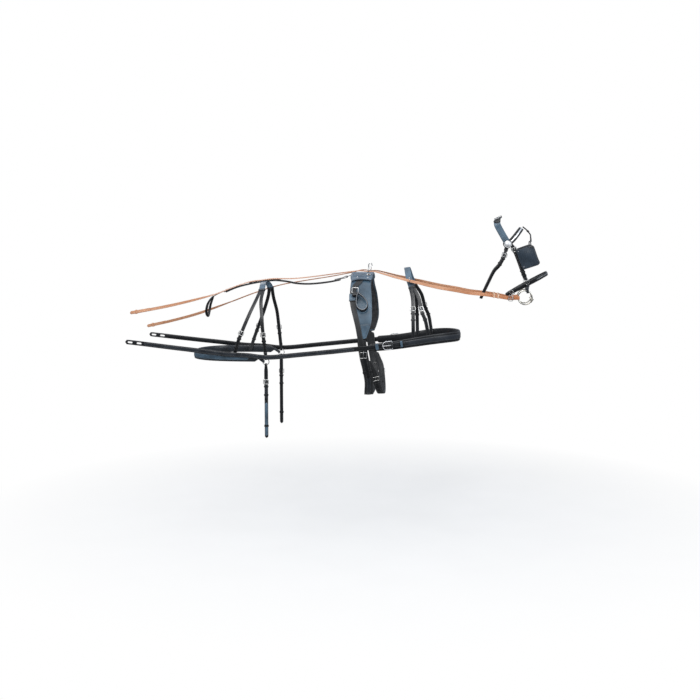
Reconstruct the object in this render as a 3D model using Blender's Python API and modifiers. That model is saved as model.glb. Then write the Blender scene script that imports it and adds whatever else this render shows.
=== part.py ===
"""A single driving harness of black leather straps with tan reins, laid out as it
sits on a cob. Metres, +Z up, +X towards the head, -Y is the right-hand (near) side.
The origin is the top of the back under the saddle.
"""

import math

import bmesh
import bpy
from mathutils import Matrix, Vector

# The cob that the harness is cut for
BODY_LENGTH = 1.58
BODY_DEPTH = 0.67
BARREL_WIDTH = 0.536
HIP_WIDTH = 0.524
CHEST_WIDTH = 0.430
HEAD_LENGTH = 0.58
HEAD_DEPTH = 0.35
HEAD_WIDTH = 0.184

# Leather
STRAP_THICKNESS = 0.004
TRACE_THICKNESS = 0.005
COLLAR_THICKNESS = 0.009
SEAT_THICKNESS = 0.005
REIN_THICKNESS = 0.003
SKIN_GAP = 0.001
LAYER_GAP = 0.0009
WIRE_GAP = 0.0006

# Strap widths
HEADPIECE_WIDTH = 0.037
BROWBAND_WIDTH = 0.028
CHEEK_WIDTH = 0.020
NOSEBAND_WIDTH = 0.025
CURB_WIDTH = 0.019
BIT_STRAP_WIDTH = 0.0145
THROATLASH_WIDTH = 0.017
REIN_WIDTH = 0.020
NECK_STRAP_WIDTH = 0.036
NECK_BRANCH_WIDTH = 0.021
COLLAR_HEIGHT = 0.058
COLLAR_END_HEIGHT = 0.043
TRACE_WIDTH = 0.028
BACK_BAND_WIDTH = 0.031
KEEPER_WIDTH = 0.040
GIRTH_WIDTH = 0.052
BELLY_BAND_WIDTH = 0.038
BACK_STRAP_WIDTH = 0.025
HIP_STRAP_WIDTH = 0.037
HIP_BRANCH_WIDTH = 0.021
SEAT_HEIGHT = 0.045
HOLDBACK_WIDTH = 0.0215

# Bright metal
BIT_RING_RADIUS = 0.0405
BIT_WIRE = 0.0035
MOUTHPIECE_RADIUS = 0.0065
EYE_RADIUS = 0.0085
EYE_WIRE = 0.0030
SEAT_RING_RADIUS = 0.0185
SEAT_RING_WIRE = 0.0023
NECK_RING_RADIUS = 0.0165
NECK_RING_WIRE = 0.0018
TERRET_RADIUS = 0.0165
TERRET_WIRE = 0.0024
TERRET_STEM = 0.007
TERRET_FOOT_RADIUS = 0.012
TERRET_FOOT_HEIGHT = 0.004
BUCKLE_WIRE = 0.0020
TRACE_BUCKLE_LENGTH = 0.056
TRACE_BUCKLE_HEIGHT = 0.046
GIRTH_BUCKLE_LENGTH = 0.034
REIN_BUCKLE_LENGTH = 0.024
TUG_BUCKLE_LENGTH = 0.034
TUG_BUCKLE_WIDTH = 0.036
TUG_WIRE = 0.0025
ROSETTE_RADIUS = 0.024
ROSETTE_DOME = 0.009
HOOK_WIRE = 0.003
HOOK_HEIGHT = 0.062

# Saddle
PAD_TOP_THICKNESS = 0.015
PAD_TIP_THICKNESS = 0.009
TREE_THICKNESS = 0.009
FLAP_THICKNESS = 0.004
TUG_LOOP_DEPTH = 0.030
TUG_LOOP_THICKNESS = 0.006

# Crupper
DOCK_RADIUS = 0.0115

# Top line of the body: place along the body, height, both as shares
TOP_LINE_SHARES = (
    (-0.652, -0.448), (-0.608, -0.224), (-0.582, -0.161), (-0.543, -0.115),
    (-0.484, -0.060), (-0.387, -0.013), (-0.316, -0.007), (-0.253, -0.045),
    (-0.158, -0.048), (-0.063, -0.036), (0.0, 0.0), (0.054, 0.054),
    (0.098, 0.107), (0.136, 0.112), (0.173, 0.128), (0.228, 0.207),
    (0.282, 0.284), (0.348, 0.373),
)
BELLY_LINE_SHARES = (
    (-0.652, -0.90), (-0.608, -0.925), (-0.484, -0.925), (-0.387, -0.895),
    (-0.316, -0.873), (-0.253, -0.910), (-0.158, -0.978), (-0.063, -1.015),
    (0.0, -1.003), (0.098, -0.993), (0.173, -0.955), (0.228, -0.903),
    (0.282, -0.791), (0.348, -0.597),
)
HALF_WIDTH_SHARES = (
    (-0.456, 0.489), (-0.380, 0.489), (-0.316, 0.489), (-0.253, 0.496),
    (-0.158, 0.511), (-0.063, 0.5), (0.0, 0.470), (0.054, 0.444),
    (0.098, 0.425), (0.158, 0.401),
)
TOP_ROUNDNESS = (
    (-0.652, 2.0), (-0.380, 2.0), (-0.190, 2.1), (-0.063, 2.0), (0.0, 1.8),
    (0.054, 1.65), (0.098, 1.5), (0.136, 1.45), (0.190, 1.5), (0.348, 1.6),
)
LOWER_ROUNDNESS = 2.3
END_ROUNDNESS = 2.4
RUMP_SHARES = (-0.456, -0.652)
CHEST_SHARES = (0.158, 0.347)

# Head: place down the head, front line, back line, half width, as shares
HEAD_SHARES = (
    (-0.09, 0.09, -0.29, 0.27), (0.0, 0.09, -0.31, 0.34), (0.12, 0.15, -0.46, 0.40),
    (0.20, 0.22, -0.57, 0.445), (0.33, 0.296, -0.69, 0.489), (0.50, 0.281, -0.714, 0.50),
    (0.59, 0.263, -0.61, 0.462), (0.67, 0.24, -0.514, 0.391), (0.81, 0.211, -0.43, 0.326),
    (0.97, 0.14, -0.337, 0.293),
)
HEAD_ROUNDNESS = 2.6
POLL_SHARES = (0.506, 0.537)
HEAD_SLOPE = 61.5

STEP_LENGTH = 0.030
FOLD_STEPS = 6
RING_STEPS = 24
WIRE_SIDES = 6

LEATHER = ("black_leather", (0.018, 0.020, 0.026), 0.42, 0.0)
PADDING = ("black_padding", (0.022, 0.023, 0.027), 0.60, 0.0)
REIN_LEATHER = ("tan_leather", (0.56, 0.21, 0.06), 0.45, 0.0)
METAL = ("bright_metal", (0.80, 0.80, 0.78), 0.20, 1.0)


def clear_scene():
    for old in list(bpy.data.objects):
        bpy.data.objects.remove(old, do_unlink=True)


def new_collection(name):
    group = bpy.data.collections.new(name)
    bpy.context.scene.collection.children.link(group)
    return group


clear_scene()
PARTS = new_collection("driving_harness")
CUTTERS = new_collection("cutters")


def material_for(name, finish):
    """Give each part its own material in the finish's colour."""
    _, colour, roughness, metallic = finish
    made = bpy.data.materials.new(name)
    made.use_nodes = True
    shader = made.node_tree.nodes["Principled BSDF"]
    shader.inputs["Base Color"].default_value = (*colour, 1.0)
    shader.inputs["Roughness"].default_value = roughness
    shader.inputs["Metallic"].default_value = metallic
    return made


def add_object(name, mesh, finish, group=None):
    made = bpy.data.objects.new(name, mesh)
    (group or PARTS).objects.link(made)
    if finish:
        mesh.materials.append(material_for(name, finish))
    return made


# Shape of the body and the head
def share_at(table, along, column=1):
    """Read a table of shares as one smooth curve."""
    last = len(table) - 1
    if along <= table[0][0]:
        return table[0][column]
    if along >= table[last][0]:
        return table[last][column]
    low = max(i for i in range(last) if table[i][0] <= along)

    def slope(i):
        before, after = max(i - 1, 0), min(i + 1, last)
        return (table[after][column] - table[before][column]) / (table[after][0] - table[before][0])

    span = table[low + 1][0] - table[low][0]
    t = (along - table[low][0]) / span
    start, end = table[low][column], table[low + 1][column]
    return (
        (2 * t**3 - 3 * t**2 + 1) * start
        + (t**3 - 2 * t**2 + t) * span * slope(low)
        + (3 * t**2 - 2 * t**3) * end
        + (t**3 - t**2) * span * slope(low + 1)
    )


def signed_power(value, power):
    return math.copysign(abs(value) ** power, value)


def rounded_end(along, ends):
    """How much of the width is left towards the rump or the chest."""
    t = min(1.0, (along - ends[0]) / (ends[1] - ends[0]))
    return max(0.0, 1.0 - t**END_ROUNDNESS) ** (1.0 / END_ROUNDNESS)


def half_width(along):
    if along < RUMP_SHARES[0]:
        return HIP_WIDTH / 2 * rounded_end(along, RUMP_SHARES)
    if along > CHEST_SHARES[0]:
        return CHEST_WIDTH / 2 * rounded_end(along, CHEST_SHARES)
    return BARREL_WIDTH * share_at(HALF_WIDTH_SHARES, along)


def body_place(along, degrees):
    """A point of the body; degrees run from the spine down the right-hand side."""
    turn = math.radians(degrees)
    top = BODY_DEPTH * share_at(TOP_LINE_SHARES, along)
    bottom = BODY_DEPTH * share_at(BELLY_LINE_SHARES, along)
    power = share_at(TOP_ROUNDNESS, along) if abs(degrees) < 90 else LOWER_ROUNDNESS
    height = (top + bottom) / 2 + (top - bottom) / 2 * signed_power(math.cos(turn), 2 / power)
    reach = half_width(along) * signed_power(math.sin(turn), 2 / power)
    return Vector((along * BODY_LENGTH, -reach, height))


HEAD_DOWN = Vector((math.cos(math.radians(HEAD_SLOPE)), 0.0, -math.sin(math.radians(HEAD_SLOPE))))
HEAD_FRONT = Vector((math.sin(math.radians(HEAD_SLOPE)), 0.0, math.cos(math.radians(HEAD_SLOPE))))
POLL = Vector((POLL_SHARES[0] * BODY_LENGTH, 0.0, POLL_SHARES[1] * BODY_DEPTH))


def head_place(down, degrees):
    """A point of the head; degrees run from the forehead round the right-hand side."""
    turn = math.radians(degrees)
    front = HEAD_DEPTH * share_at(HEAD_SHARES, down, 1)
    back = HEAD_DEPTH * share_at(HEAD_SHARES, down, 2)
    width = HEAD_WIDTH * share_at(HEAD_SHARES, down, 3)
    forward = (front + back) / 2 + (front - back) / 2 * signed_power(math.cos(turn), 2 / HEAD_ROUNDNESS)
    reach = width * signed_power(math.sin(turn), 2 / HEAD_ROUNDNESS)
    return POLL + HEAD_DOWN * down * HEAD_LENGTH + HEAD_FRONT * forward + Vector((0.0, -reach, 0.0))


ALONG_STEP_SHARE = 0.004
DEGREE_STEP = 2.0
LEVEL_SHARE = 0.026
RISE_DEGREES = (16.0, 50.0)


def station(form, along, degrees, lift):
    """A point lifted off the body or the head, with the direction that faces out."""
    point = form(along, degrees)
    round_way = form(along, degrees + DEGREE_STEP) - form(along, degrees - DEGREE_STEP)
    long_way = form(along + ALONG_STEP_SHARE, degrees) - form(along - ALONG_STEP_SHARE, degrees)
    out = long_way.cross(round_way).normalized()
    middle = Vector((point.x, 0.0, form(along, 90.0).z))
    if form is head_place:
        middle = (form(along, 0.0) + form(along, 180.0)) / 2
    if out.dot(point - middle) < 0:
        out.negate()
    return point + out * lift, out


def on_body(along, degrees, lift):
    return station(body_place, along, degrees, lift)


def on_head(down, degrees, lift):
    return station(head_place, down, degrees, lift)


def saddle_rise(along, degrees):
    """How far the saddle's seat is held up to sit level on the sloping back."""
    raised = BODY_DEPTH * max(0.0, LEVEL_SHARE - share_at(TOP_LINE_SHARES, along))
    t = (RISE_DEGREES[1] - abs(degrees)) / (RISE_DEGREES[1] - RISE_DEGREES[0])
    t = min(1.0, max(0.0, t))
    return raised * t * t * (3 - 2 * t)


def on_saddle(along, degrees, lift):
    """A station of the saddle: lifted square to the cross-section, and levelled."""
    point = body_place(along, degrees)
    round_way = body_place(along, degrees + DEGREE_STEP) - body_place(along, degrees - DEGREE_STEP)
    out = Vector((0.0, round_way.z, -round_way.y)).normalized()
    return point + out * lift + Vector((0.0, 0.0, saddle_rise(along, degrees))), out


def across_saddle(along, degrees, lift):
    """A station of the saddle that faces square out of its sloping surface."""
    point, out = on_saddle(along, degrees, lift)
    half = DEGREE_STEP / 2
    round_way = on_saddle(along, degrees + half, lift)[0] - on_saddle(along, degrees - half, lift)[0]
    step = ALONG_STEP_SHARE
    long_way = on_saddle(along + step, degrees, lift)[0] - on_saddle(along - step, degrees, lift)[0]
    face = long_way.cross(round_way).normalized()
    if face.dot(out) < 0:
        face.negate()
    return point, face


def side_view(along, out, height):
    """A point from shares of the body's length, width and depth."""
    return Vector((along * BODY_LENGTH, -out * BARREL_WIDTH, height * BODY_DEPTH))


def mirrored(stations):
    return [(Vector((p.x, -p.y, p.z)), Vector((n.x, -n.y, n.z))) for p, n in stations]


# Straps
def smooth_route(stations, closed=False, step=None):
    """Pass one smooth curve through the stations and cut it into short steps."""
    step = step or STEP_LENGTH
    count = len(stations)
    route = []
    for i in range(count if closed else count - 1):
        picks = [i - 1, i, i + 1, i + 2]
        if closed:
            picks = [pick % count for pick in picks]
        else:
            picks = [min(max(pick, 0), count - 1) for pick in picks]
        (p0, _), (p1, n1), (p2, n2), (p3, _) = (stations[pick] for pick in picks)
        cuts = max(1, round((p2 - p1).length / step))
        for cut in range(cuts):
            t = cut / cuts
            point = 0.5 * (
                2 * p1 + (p2 - p0) * t
                + (2 * p0 - 5 * p1 + 4 * p2 - p3) * t**2
                + (3 * p1 - p0 - 3 * p2 + p3) * t**3
            )
            route.append((point, n1.lerp(n2, t).normalized()))
    if not closed:
        route.append(stations[-1])
    return route


def frames_of(route, closed=False):
    """Add the direction of travel to each point of a route."""
    frames = []
    count = len(route)
    for i, (point, normal) in enumerate(route):
        before = route[(i - 1) % count if closed else max(i - 1, 0)][0]
        after = route[(i + 1) % count if closed else min(i + 1, count - 1)][0]
        along = (after - before).normalized()
        out = (normal - along * normal.dot(along)).normalized()
        frames.append((point, along, out))
    return frames


def turned_end(frames, fold_radius, lap_length, lap_rise, open_length):
    """Fold the strap's end outwards round a wire and lay it back on itself past the wire."""
    point, along, out = frames[-1]
    pivot = point + out * fold_radius
    folded = list(frames)
    for step in range(1, FOLD_STEPS + 1):
        turn = math.pi * step / FOLD_STEPS
        place = pivot + along * fold_radius * math.sin(turn) - out * fold_radius * math.cos(turn)
        heading = along * math.cos(turn) + out * math.sin(turn)
        folded.append((place, heading, out * math.cos(turn) - along * math.sin(turn)))
    travelled = 0.0
    ease = 4 * fold_radius
    for i in range(len(frames) - 1, 0, -1):
        here, there = frames[i][0], frames[i - 1][0]
        length = (there - here).length
        cuts = max(1, math.ceil(length / (2 * fold_radius)))
        for cut in range(1, cuts + 1):
            t = cut / cuts
            way = travelled + length * t
            normal = frames[i][2].lerp(frames[i - 1][2], t).normalized()
            shut = min(1.0, max(0.0, (way - open_length) / ease))
            rise = lap_rise + (2 * fold_radius - lap_rise) * (1 - shut * shut * (3 - 2 * shut))
            folded.append((here.lerp(there, t) + normal * rise, (there - here).normalized(), -normal))
            if way >= lap_length:
                return folded
        travelled += length
    return folded


def rows_of(frames, width):
    """Left and right edge of a strap; width is a number or a function of the share along it."""
    lengths = [0.0]
    for (a, _, _), (b, _, _) in zip(frames, frames[1:]):
        lengths.append(lengths[-1] + (b - a).length)
    rows = []
    for (point, along, out), length in zip(frames, lengths):
        here = width(length / lengths[-1]) if callable(width) else width
        side = out.cross(along).normalized() * here / 2
        rows.append([point - side, point + side])
    return rows


def tapered(width, start=1.0, end=1.0, reach=0.06):
    """A width that narrows towards the strap's ends."""
    def at(share):
        near_start = min(1.0, share / reach)
        near_end = min(1.0, (1.0 - share) / reach)
        return width * (start + (1 - start) * near_start) * (end + (1 - end) * near_end)
    return at


def add_web(name, strips, thickness, finish, closed=False):
    """Build open strips of leather that share points, and give them their thickness."""
    mesh = bpy.data.meshes.new(name)
    shell = bmesh.new()
    for rows in strips:
        made = [[shell.verts.new(point) for point in row] for row in rows]
        if closed:
            made.append(made[0])
        for low, high in zip(made, made[1:]):
            for i in range(len(low) - 1):
                shell.faces.new((low[i], low[i + 1], high[i + 1], high[i]))
    bmesh.ops.remove_doubles(shell, verts=shell.verts, dist=thickness / 100)
    bmesh.ops.recalc_face_normals(shell, faces=shell.faces)
    shell.to_mesh(mesh)
    shell.free()
    made = add_object(name, mesh, finish)
    solid = made.modifiers.new("thickness", "SOLIDIFY")
    solid.thickness = thickness
    solid.offset = 0.0
    solid.use_even_offset = True
    return made


def add_strap(name, frames, width, thickness, finish, closed=False):
    return add_web(name, [rows_of(frames, width)], thickness, finish, closed)


# Wires, rings and buckles
def to_world(point, along, out):
    """The frame of a buckle: X along the strap, Y across it, Z outwards."""
    side = out.cross(along).normalized()
    turn = Matrix((along, side, out)).transposed().to_4x4()
    return Matrix.Translation(point) @ turn


def wire_mesh(name, points, radius, closed=True, radii=None):
    """A round wire through the points, as a closed mesh."""
    curve = bpy.data.curves.new(name, "CURVE")
    curve.dimensions = "3D"
    curve.bevel_depth = radius
    curve.bevel_resolution = (WIRE_SIDES - 4) // 2
    curve.use_fill_caps = True
    spline = curve.splines.new("POLY")
    spline.points.add(len(points) - 1)
    for i, point in enumerate(points):
        spline.points[i].co = (*point, 1.0)
        spline.points[i].radius = radii[i] if radii else 1.0
    spline.use_cyclic_u = closed
    holder = bpy.data.objects.new(name + "_wire", curve)
    bpy.context.scene.collection.objects.link(holder)
    bpy.context.view_layer.update()
    graph = bpy.context.evaluated_depsgraph_get()
    mesh = bpy.data.meshes.new_from_object(holder.evaluated_get(graph))
    mesh.name = name
    bpy.data.objects.remove(holder)
    bpy.data.curves.remove(curve)
    weld = bmesh.new()
    weld.from_mesh(mesh)
    bmesh.ops.remove_doubles(weld, verts=weld.verts, dist=radius / 100)
    bmesh.ops.recalc_face_normals(weld, faces=weld.faces)
    weld.to_mesh(mesh)
    weld.free()
    mesh.shade_smooth()
    return mesh


def rounded_frame(length, height, corner, front_round=False):
    """Points of a buckle's frame, its bar at x=0 and its front end at x=length."""
    points = []
    front = min(height / 2, length / 2) if front_round else corner
    corners = (
        (length - front, height / 2 - front, front, 0),
        (corner, height / 2 - corner, corner, 90),
        (corner, corner - height / 2, corner, 180),
        (length - front, front - height / 2, front, 270),
    )
    for x, y, radius, start in corners:
        steps = 4 if radius > corner else 3
        for i in range(steps + 1):
            turn = math.radians(start + 90 * i / steps)
            points.append(Vector((x + radius * math.cos(turn), y + radius * math.sin(turn), 0.0)))
    return points


def add_buckle(name, place, length, height, wire, tilt=0.0, front_round=True):
    """A heel-bar buckle; tilt lifts its front end off the strap."""
    points = rounded_frame(length, height, 2 * wire, front_round)
    for point in points:
        point.z = tilt * point.x / length
    mesh = wire_mesh(name, points, wire)
    made = add_object(name, mesh, METAL)
    made.matrix_world = place
    return made


def add_ring(name, centre, axis, radius, wire):
    """A plain ring, its origin at its centre."""
    bpy.ops.mesh.primitive_torus_add(
        major_radius=radius, minor_radius=wire, major_segments=RING_STEPS, minor_segments=WIRE_SIDES
    )
    made = bpy.context.object
    for group in made.users_collection:
        group.objects.unlink(made)
    PARTS.objects.link(made)
    made.name = name
    made.data.name = name
    made.data.materials.append(material_for(name, METAL))
    made.data.shade_smooth()
    made.matrix_world = Matrix.Translation(centre) @ Vector((0, 0, 1)).rotation_difference(axis).to_matrix().to_4x4()
    return made


def hang_from(piece, place):
    """Move a piece's origin to its hinge and leave its shape where it is."""
    piece.data.transform(Matrix.Translation(-place))
    piece.location = place


def union(base, extra):
    """Join a second closed solid into the first."""
    for group in extra.users_collection:
        group.objects.unlink(extra)
    CUTTERS.objects.link(extra)
    extra.hide_render = True
    extra.display_type = "WIRE"
    join = base.modifiers.new("join_" + extra.name, "BOOLEAN")
    join.operation = "UNION"
    join.solver = "EXACT"
    join.object = extra


def cut(base, cutter):
    for group in cutter.users_collection:
        group.objects.unlink(cutter)
    CUTTERS.objects.link(cutter)
    cutter.hide_render = True
    cutter.display_type = "WIRE"
    hole = base.modifiers.new("cut_" + cutter.name, "BOOLEAN")
    hole.operation = "DIFFERENCE"
    hole.solver = "EXACT"
    hole.object = cutter


def add_cylinder(name, start, end, radius, finish, sides=12):
    axis = end - start
    bpy.ops.mesh.primitive_cylinder_add(radius=radius, depth=axis.length, vertices=sides)
    made = bpy.context.object
    for group in made.users_collection:
        group.objects.unlink(made)
    PARTS.objects.link(made)
    made.name = name
    made.data.name = name
    made.data.materials.append(material_for(name, finish))
    turn = Vector((0, 0, 1)).rotation_difference(axis.normalized()).to_matrix().to_4x4()
    made.matrix_world = Matrix.Translation((start + end) / 2) @ turn
    return made


SIDES = (("R", 1), ("L", -1))


def flip(vector, side):
    """Carry a right-hand vector to the left-hand side."""
    return Vector((vector.x, vector.y * side, vector.z))


def sided(stations, side):
    return stations if side == 1 else mirrored(stations)


# Layers of leather, counted outwards from the coat
LAYER_ONE = SKIN_GAP + STRAP_THICKNESS / 2
LAYER_TWO = LAYER_ONE + STRAP_THICKNESS + LAYER_GAP
LAYER_THREE = LAYER_TWO + STRAP_THICKNESS + LAYER_GAP
COLLAR_LIFT = SKIN_GAP + STRAP_THICKNESS + WIRE_GAP + COLLAR_THICKNESS / 2
SEAT_LIFT = SKIN_GAP + STRAP_THICKNESS + WIRE_GAP / 2 + SEAT_THICKNESS / 2


# Bridle
CROWN_SHARES = ((0.008, 88.5), (0.055, 87.5), (0.155, 84.0), (0.245, 83.0))
CROWN_TOP_SHARES = (0.4945, 0.0, 0.545)
CROWN_SHOULDER_SHARES = (0.4905, 0.083, 0.534)
ROSETTE_SHARE = 0.24
ROSETTE_DEGREES = 84.0


def crown_top(lift):
    """The crown's way over the poll, from its near shoulder to the middle."""
    places = (CROWN_SHOULDER_SHARES, Vector((-0.47, -0.33, 0.82))), (CROWN_TOP_SHARES, Vector((-0.41, 0.0, 0.91)))
    return [(side_view(*shares) + out.normalized() * lift, out.normalized()) for shares, out in places]


def crown_side():
    return [on_head(down, degrees, LAYER_ONE) for down, degrees in CROWN_SHARES]


CHEEK_BILLET_SHARES = ((0.285, 78.0), (0.325, 78.0))
THROAT_BILLET_SHARES = ((0.275, 88.5), (0.302, 90.5))


def add_headpiece():
    """The crown over the poll; each side splits into cheek and throat billets."""
    near = crown_side()
    over = crown_top(LAYER_ONE)
    stations = mirrored(near)[::-1] + mirrored(over)[:1] + over[::-1] + near
    route = frames_of(smooth_route(stations, step=STEP_LENGTH / 2))
    rows = [[left, (left + right) / 2, right] for left, right in rows_of(route, HEADPIECE_WIDTH)]
    strips = [rows]
    for side, edge in ((1, rows[-1]), (-1, rows[0][::-1])):
        split = sided([near[-1]], side)
        for shares, pair in ((THROAT_BILLET_SHARES, 0), (CHEEK_BILLET_SHARES, 1)):
            billet = sided([on_head(d, a, LAYER_ONE) for d, a in shares], side)
            frames = frames_of(smooth_route(split + billet))
            made = rows_of(frames, CHEEK_WIDTH)
            first = [edge[pair], edge[pair + 1]]
            if (made[1][1] - made[1][0]).dot(first[1] - first[0]) < 0:
                first = first[::-1]
            strips.append([first] + made[1:])
    crown = add_web("headpiece", strips, STRAP_THICKNESS, LEATHER)
    crown.modifiers.new("flat_faces", "TRIANGULATE")


BROWBAND_SHARES = ((0.243, 84.0), (0.225, 70.0), (0.200, 52.0), (0.178, 25.0), (0.172, 0.0))


def add_browband():
    near = [on_head(d, a, LAYER_TWO + LAYER_GAP / 2) for d, a in BROWBAND_SHARES]
    route = smooth_route(mirrored(near) + near[-2::-1])
    add_strap("browband", frames_of(route), BROWBAND_WIDTH, STRAP_THICKNESS, LEATHER)


def add_rosettes():
    """A shallow silver dome over each end of the browband."""
    for tag, side in SIDES:
        point, out = sided([on_head(ROSETTE_SHARE, ROSETTE_DEGREES, LAYER_TWO + LAYER_GAP / 2)], side)[0]
        seat = point + out * (STRAP_THICKNESS / 2 + WIRE_GAP)
        steps = 5
        profile = [Vector((ROSETTE_RADIUS * math.sin(math.pi / 2 * i / steps), 0.0,
                           ROSETTE_DOME * math.cos(math.pi / 2 * i / steps))) for i in range(steps + 1)]
        profile.append(Vector((ROSETTE_RADIUS, 0.0, -ROSETTE_DOME / 6)))
        profile.append(Vector((0.0, 0.0, -ROSETTE_DOME / 6)))
        mesh = bpy.data.meshes.new("rosette_" + tag)
        mesh.from_pydata(profile, [(i, i + 1) for i in range(len(profile) - 1)], [])
        made = add_object("rosette_" + tag, mesh, METAL)
        spin = made.modifiers.new("turned", "SCREW")
        spin.steps = RING_STEPS
        spin.render_steps = RING_STEPS
        spin.use_merge_vertices = True
        spin.merge_threshold = 0.00001
        turn = Vector((0, 0, 1)).rotation_difference(out).to_matrix().to_4x4()
        made.matrix_world = Matrix.Translation(seat + out * ROSETTE_DOME / 6) @ turn


CHEEK_SHARES = ((0.300, 78.0), (0.36, 78.5), (0.45, 79.0), (0.55, 82.5), (0.640, 88.0))
BIT_RING_SHARES = (0.79124, 0.42239, -0.26502)
BIT_STRAP_SHARES = ((0.598, 85.3), (0.630, 87.3), (0.655, 88.6), (0.676, 89.6), (0.700, 90.5), (0.722, 91.0))
BIT_STRAP_TURN = 70.0
BIT_STRAP_SLOPE = 84.0


def bit_ring_centre(side):
    """The bit hangs at the corner of the mouth: shares down, out from and forward of the head."""
    down, out, forward = BIT_RING_SHARES
    centre = POLL + HEAD_DOWN * down * HEAD_LENGTH + HEAD_FRONT * forward * HEAD_DEPTH
    centre.y = -out * HEAD_WIDTH
    return flip(centre, side)


def add_cheekpieces():
    for tag, side in SIDES:
        route = sided([on_head(d, a, LAYER_TWO) for d, a in CHEEK_SHARES], side)
        add_strap("cheekpiece_" + tag, frames_of(smooth_route(route)), CHEEK_WIDTH, STRAP_THICKNESS, LEATHER)


def ring_seat(centre, radius, along, out, fold_radius, slack):
    """Where a strap's turned end starts, so that its fold holds the ring's wire."""
    pivot = centre - along * radius + along * slack
    return pivot - out * fold_radius


def fold_for(wire, thickness):
    return wire + WIRE_GAP + thickness / 2


def slack_for(radius, width, wire, slant=0.0):
    """How far a straight fold stands off a round ring's wire that crosses it at a slant."""
    bow = radius - math.sqrt(radius**2 - (width / 2) ** 2)
    slant = math.radians(slant)
    crossing = slant + math.asin(width / 2 / radius)
    bow += radius * (1 - math.cos(math.pi / RING_STEPS))
    return bow + width / 2 * math.tan(slant) + wire * (1 / math.cos(crossing) - 1) + WIRE_GAP / 3


def tab_rows(frames, width, tab_width, wire, near):
    """Rows of a strap that is narrowed where it turns round a ring's wire."""
    rows = []
    for (left, right), (point, _, _) in zip(rows_of(frames, width), frames):
        middle = (left + right) / 2
        grown = min(1.0, max(0.0, ((point - wire).length - near) / width))
        here = tab_width + (width - tab_width) * grown
        rows.append([middle + (left - middle).normalized() * here / 2,
                     middle + (right - middle).normalized() * here / 2])
    return rows


def open_for(slack, wire):
    """How long a turned end stays open to clear the wire inside it."""
    return 2 * slack + wire + 2 * WIRE_GAP


BIT_STRAP_THICKNESS = 0.003
BIT_LAP = 0.044


def add_bit_straps():
    """The strap from the cheek buckle round the bit ring; its billet lies on the cheekpiece."""
    fold = fold_for(BIT_WIRE, BIT_STRAP_THICKNESS) + WIRE_GAP
    for tag, side in SIDES:
        centre = bit_ring_centre(side)
        slope = math.radians(BIT_STRAP_SLOPE)
        along = Vector((math.cos(slope), 0.0, -math.sin(slope)))
        out = Vector((0.0, -1.0 * side, 0.0))
        turn = math.radians(BIT_STRAP_TURN)
        wire = centre + Vector((math.cos(turn), 0.0, math.sin(turn))) * BIT_RING_RADIUS
        slant = abs(180.0 - BIT_STRAP_SLOPE - BIT_STRAP_TURN)
        slack = slack_for(BIT_RING_RADIUS, BIT_STRAP_WIDTH, BIT_WIRE, slant) + WIRE_GAP / 2
        seat = wire + along * slack - out * fold
        lead = seat - along * open_for(slack, BIT_WIRE)
        over = LAYER_TWO - LAYER_GAP / 2
        top = LAYER_THREE - (STRAP_THICKNESS - BIT_STRAP_THICKNESS) / 2
        lifts = (top, top, top, over, over, LAYER_ONE)
        route = [on_head(d, a, lift) for (d, a), lift in zip(BIT_STRAP_SHARES, lifts)]
        route = sided(route[:-1], side) + [(lead, out), (lead.lerp(seat, 0.2), out), (seat, out)]
        frames = frames_of(smooth_route(route, step=STEP_LENGTH / 2))
        frames[-3:] = [(point, along, out) for point, _, _ in frames[-3:]]
        frames = turned_end(frames, fold, BIT_LAP, BIT_STRAP_THICKNESS + LAYER_GAP, open_for(slack, BIT_WIRE))
        add_strap("bit_strap_" + tag, frames, BIT_STRAP_WIDTH, BIT_STRAP_THICKNESS, LEATHER)


NOSEBAND_SHARE = 0.683
NOSEBAND_STEPS = 20


def add_noseband():
    stations = []
    for i in range(NOSEBAND_STEPS):
        stations.append(on_head(NOSEBAND_SHARE, 360.0 * i / NOSEBAND_STEPS, LAYER_ONE))
    frames = frames_of(stations, closed=True)

    def width(share):
        behind = max(0.0, -math.cos(2 * math.pi * share))
        return NOSEBAND_WIDTH + (CURB_WIDTH - NOSEBAND_WIDTH) * behind
    add_strap("noseband", frames, width, STRAP_THICKNESS, LEATHER, closed=True)


THROAT_SHARES = ((0.292, 89.8), (0.322, 92.0), (0.350, 96.5), (0.388, 106.0))
THROAT_FREE_SHARES = ((0.478, 0.150, 0.092), (0.457, 0.120, -0.010), (0.439, 0.080, -0.103), (0.432, 0.036, -0.142))


def add_throatlash():
    """From the near throat billet, under the throat, to the far one."""
    near = [on_head(d, a, LAYER_TWO) for d, a in THROAT_SHARES]
    for shares in THROAT_FREE_SHARES:
        point = side_view(*shares)
        out = Vector((-0.25, -shares[1] / THROAT_FREE_SHARES[0][1], 0.0))
        out.z = -1.0 + shares[1] / THROAT_FREE_SHARES[0][1]
        near.append((point, out.normalized()))
    route = smooth_route(near + mirrored(near)[::-1])
    add_strap("throatlash", frames_of(route), THROATLASH_WIDTH, STRAP_THICKNESS, LEATHER)


BLINKER_LENGTH = 0.106
BLINKER_HEIGHT = 0.104
BLINKER_FLARE = 19.0
BLINKER_CUP = 0.012
BLINKER_RISE_SHARE = 0.16
BLINKER_THICKNESS = 0.004
BLINKER_SHARES = (0.329, 0.529)
BLINKER_SET_SHARES = (0.45, 0.05)
BLINKER_DEGREES = 80.0
BLINKER_CELLS = 8
BLINKER_CORNER_SHARE = 0.22


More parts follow.
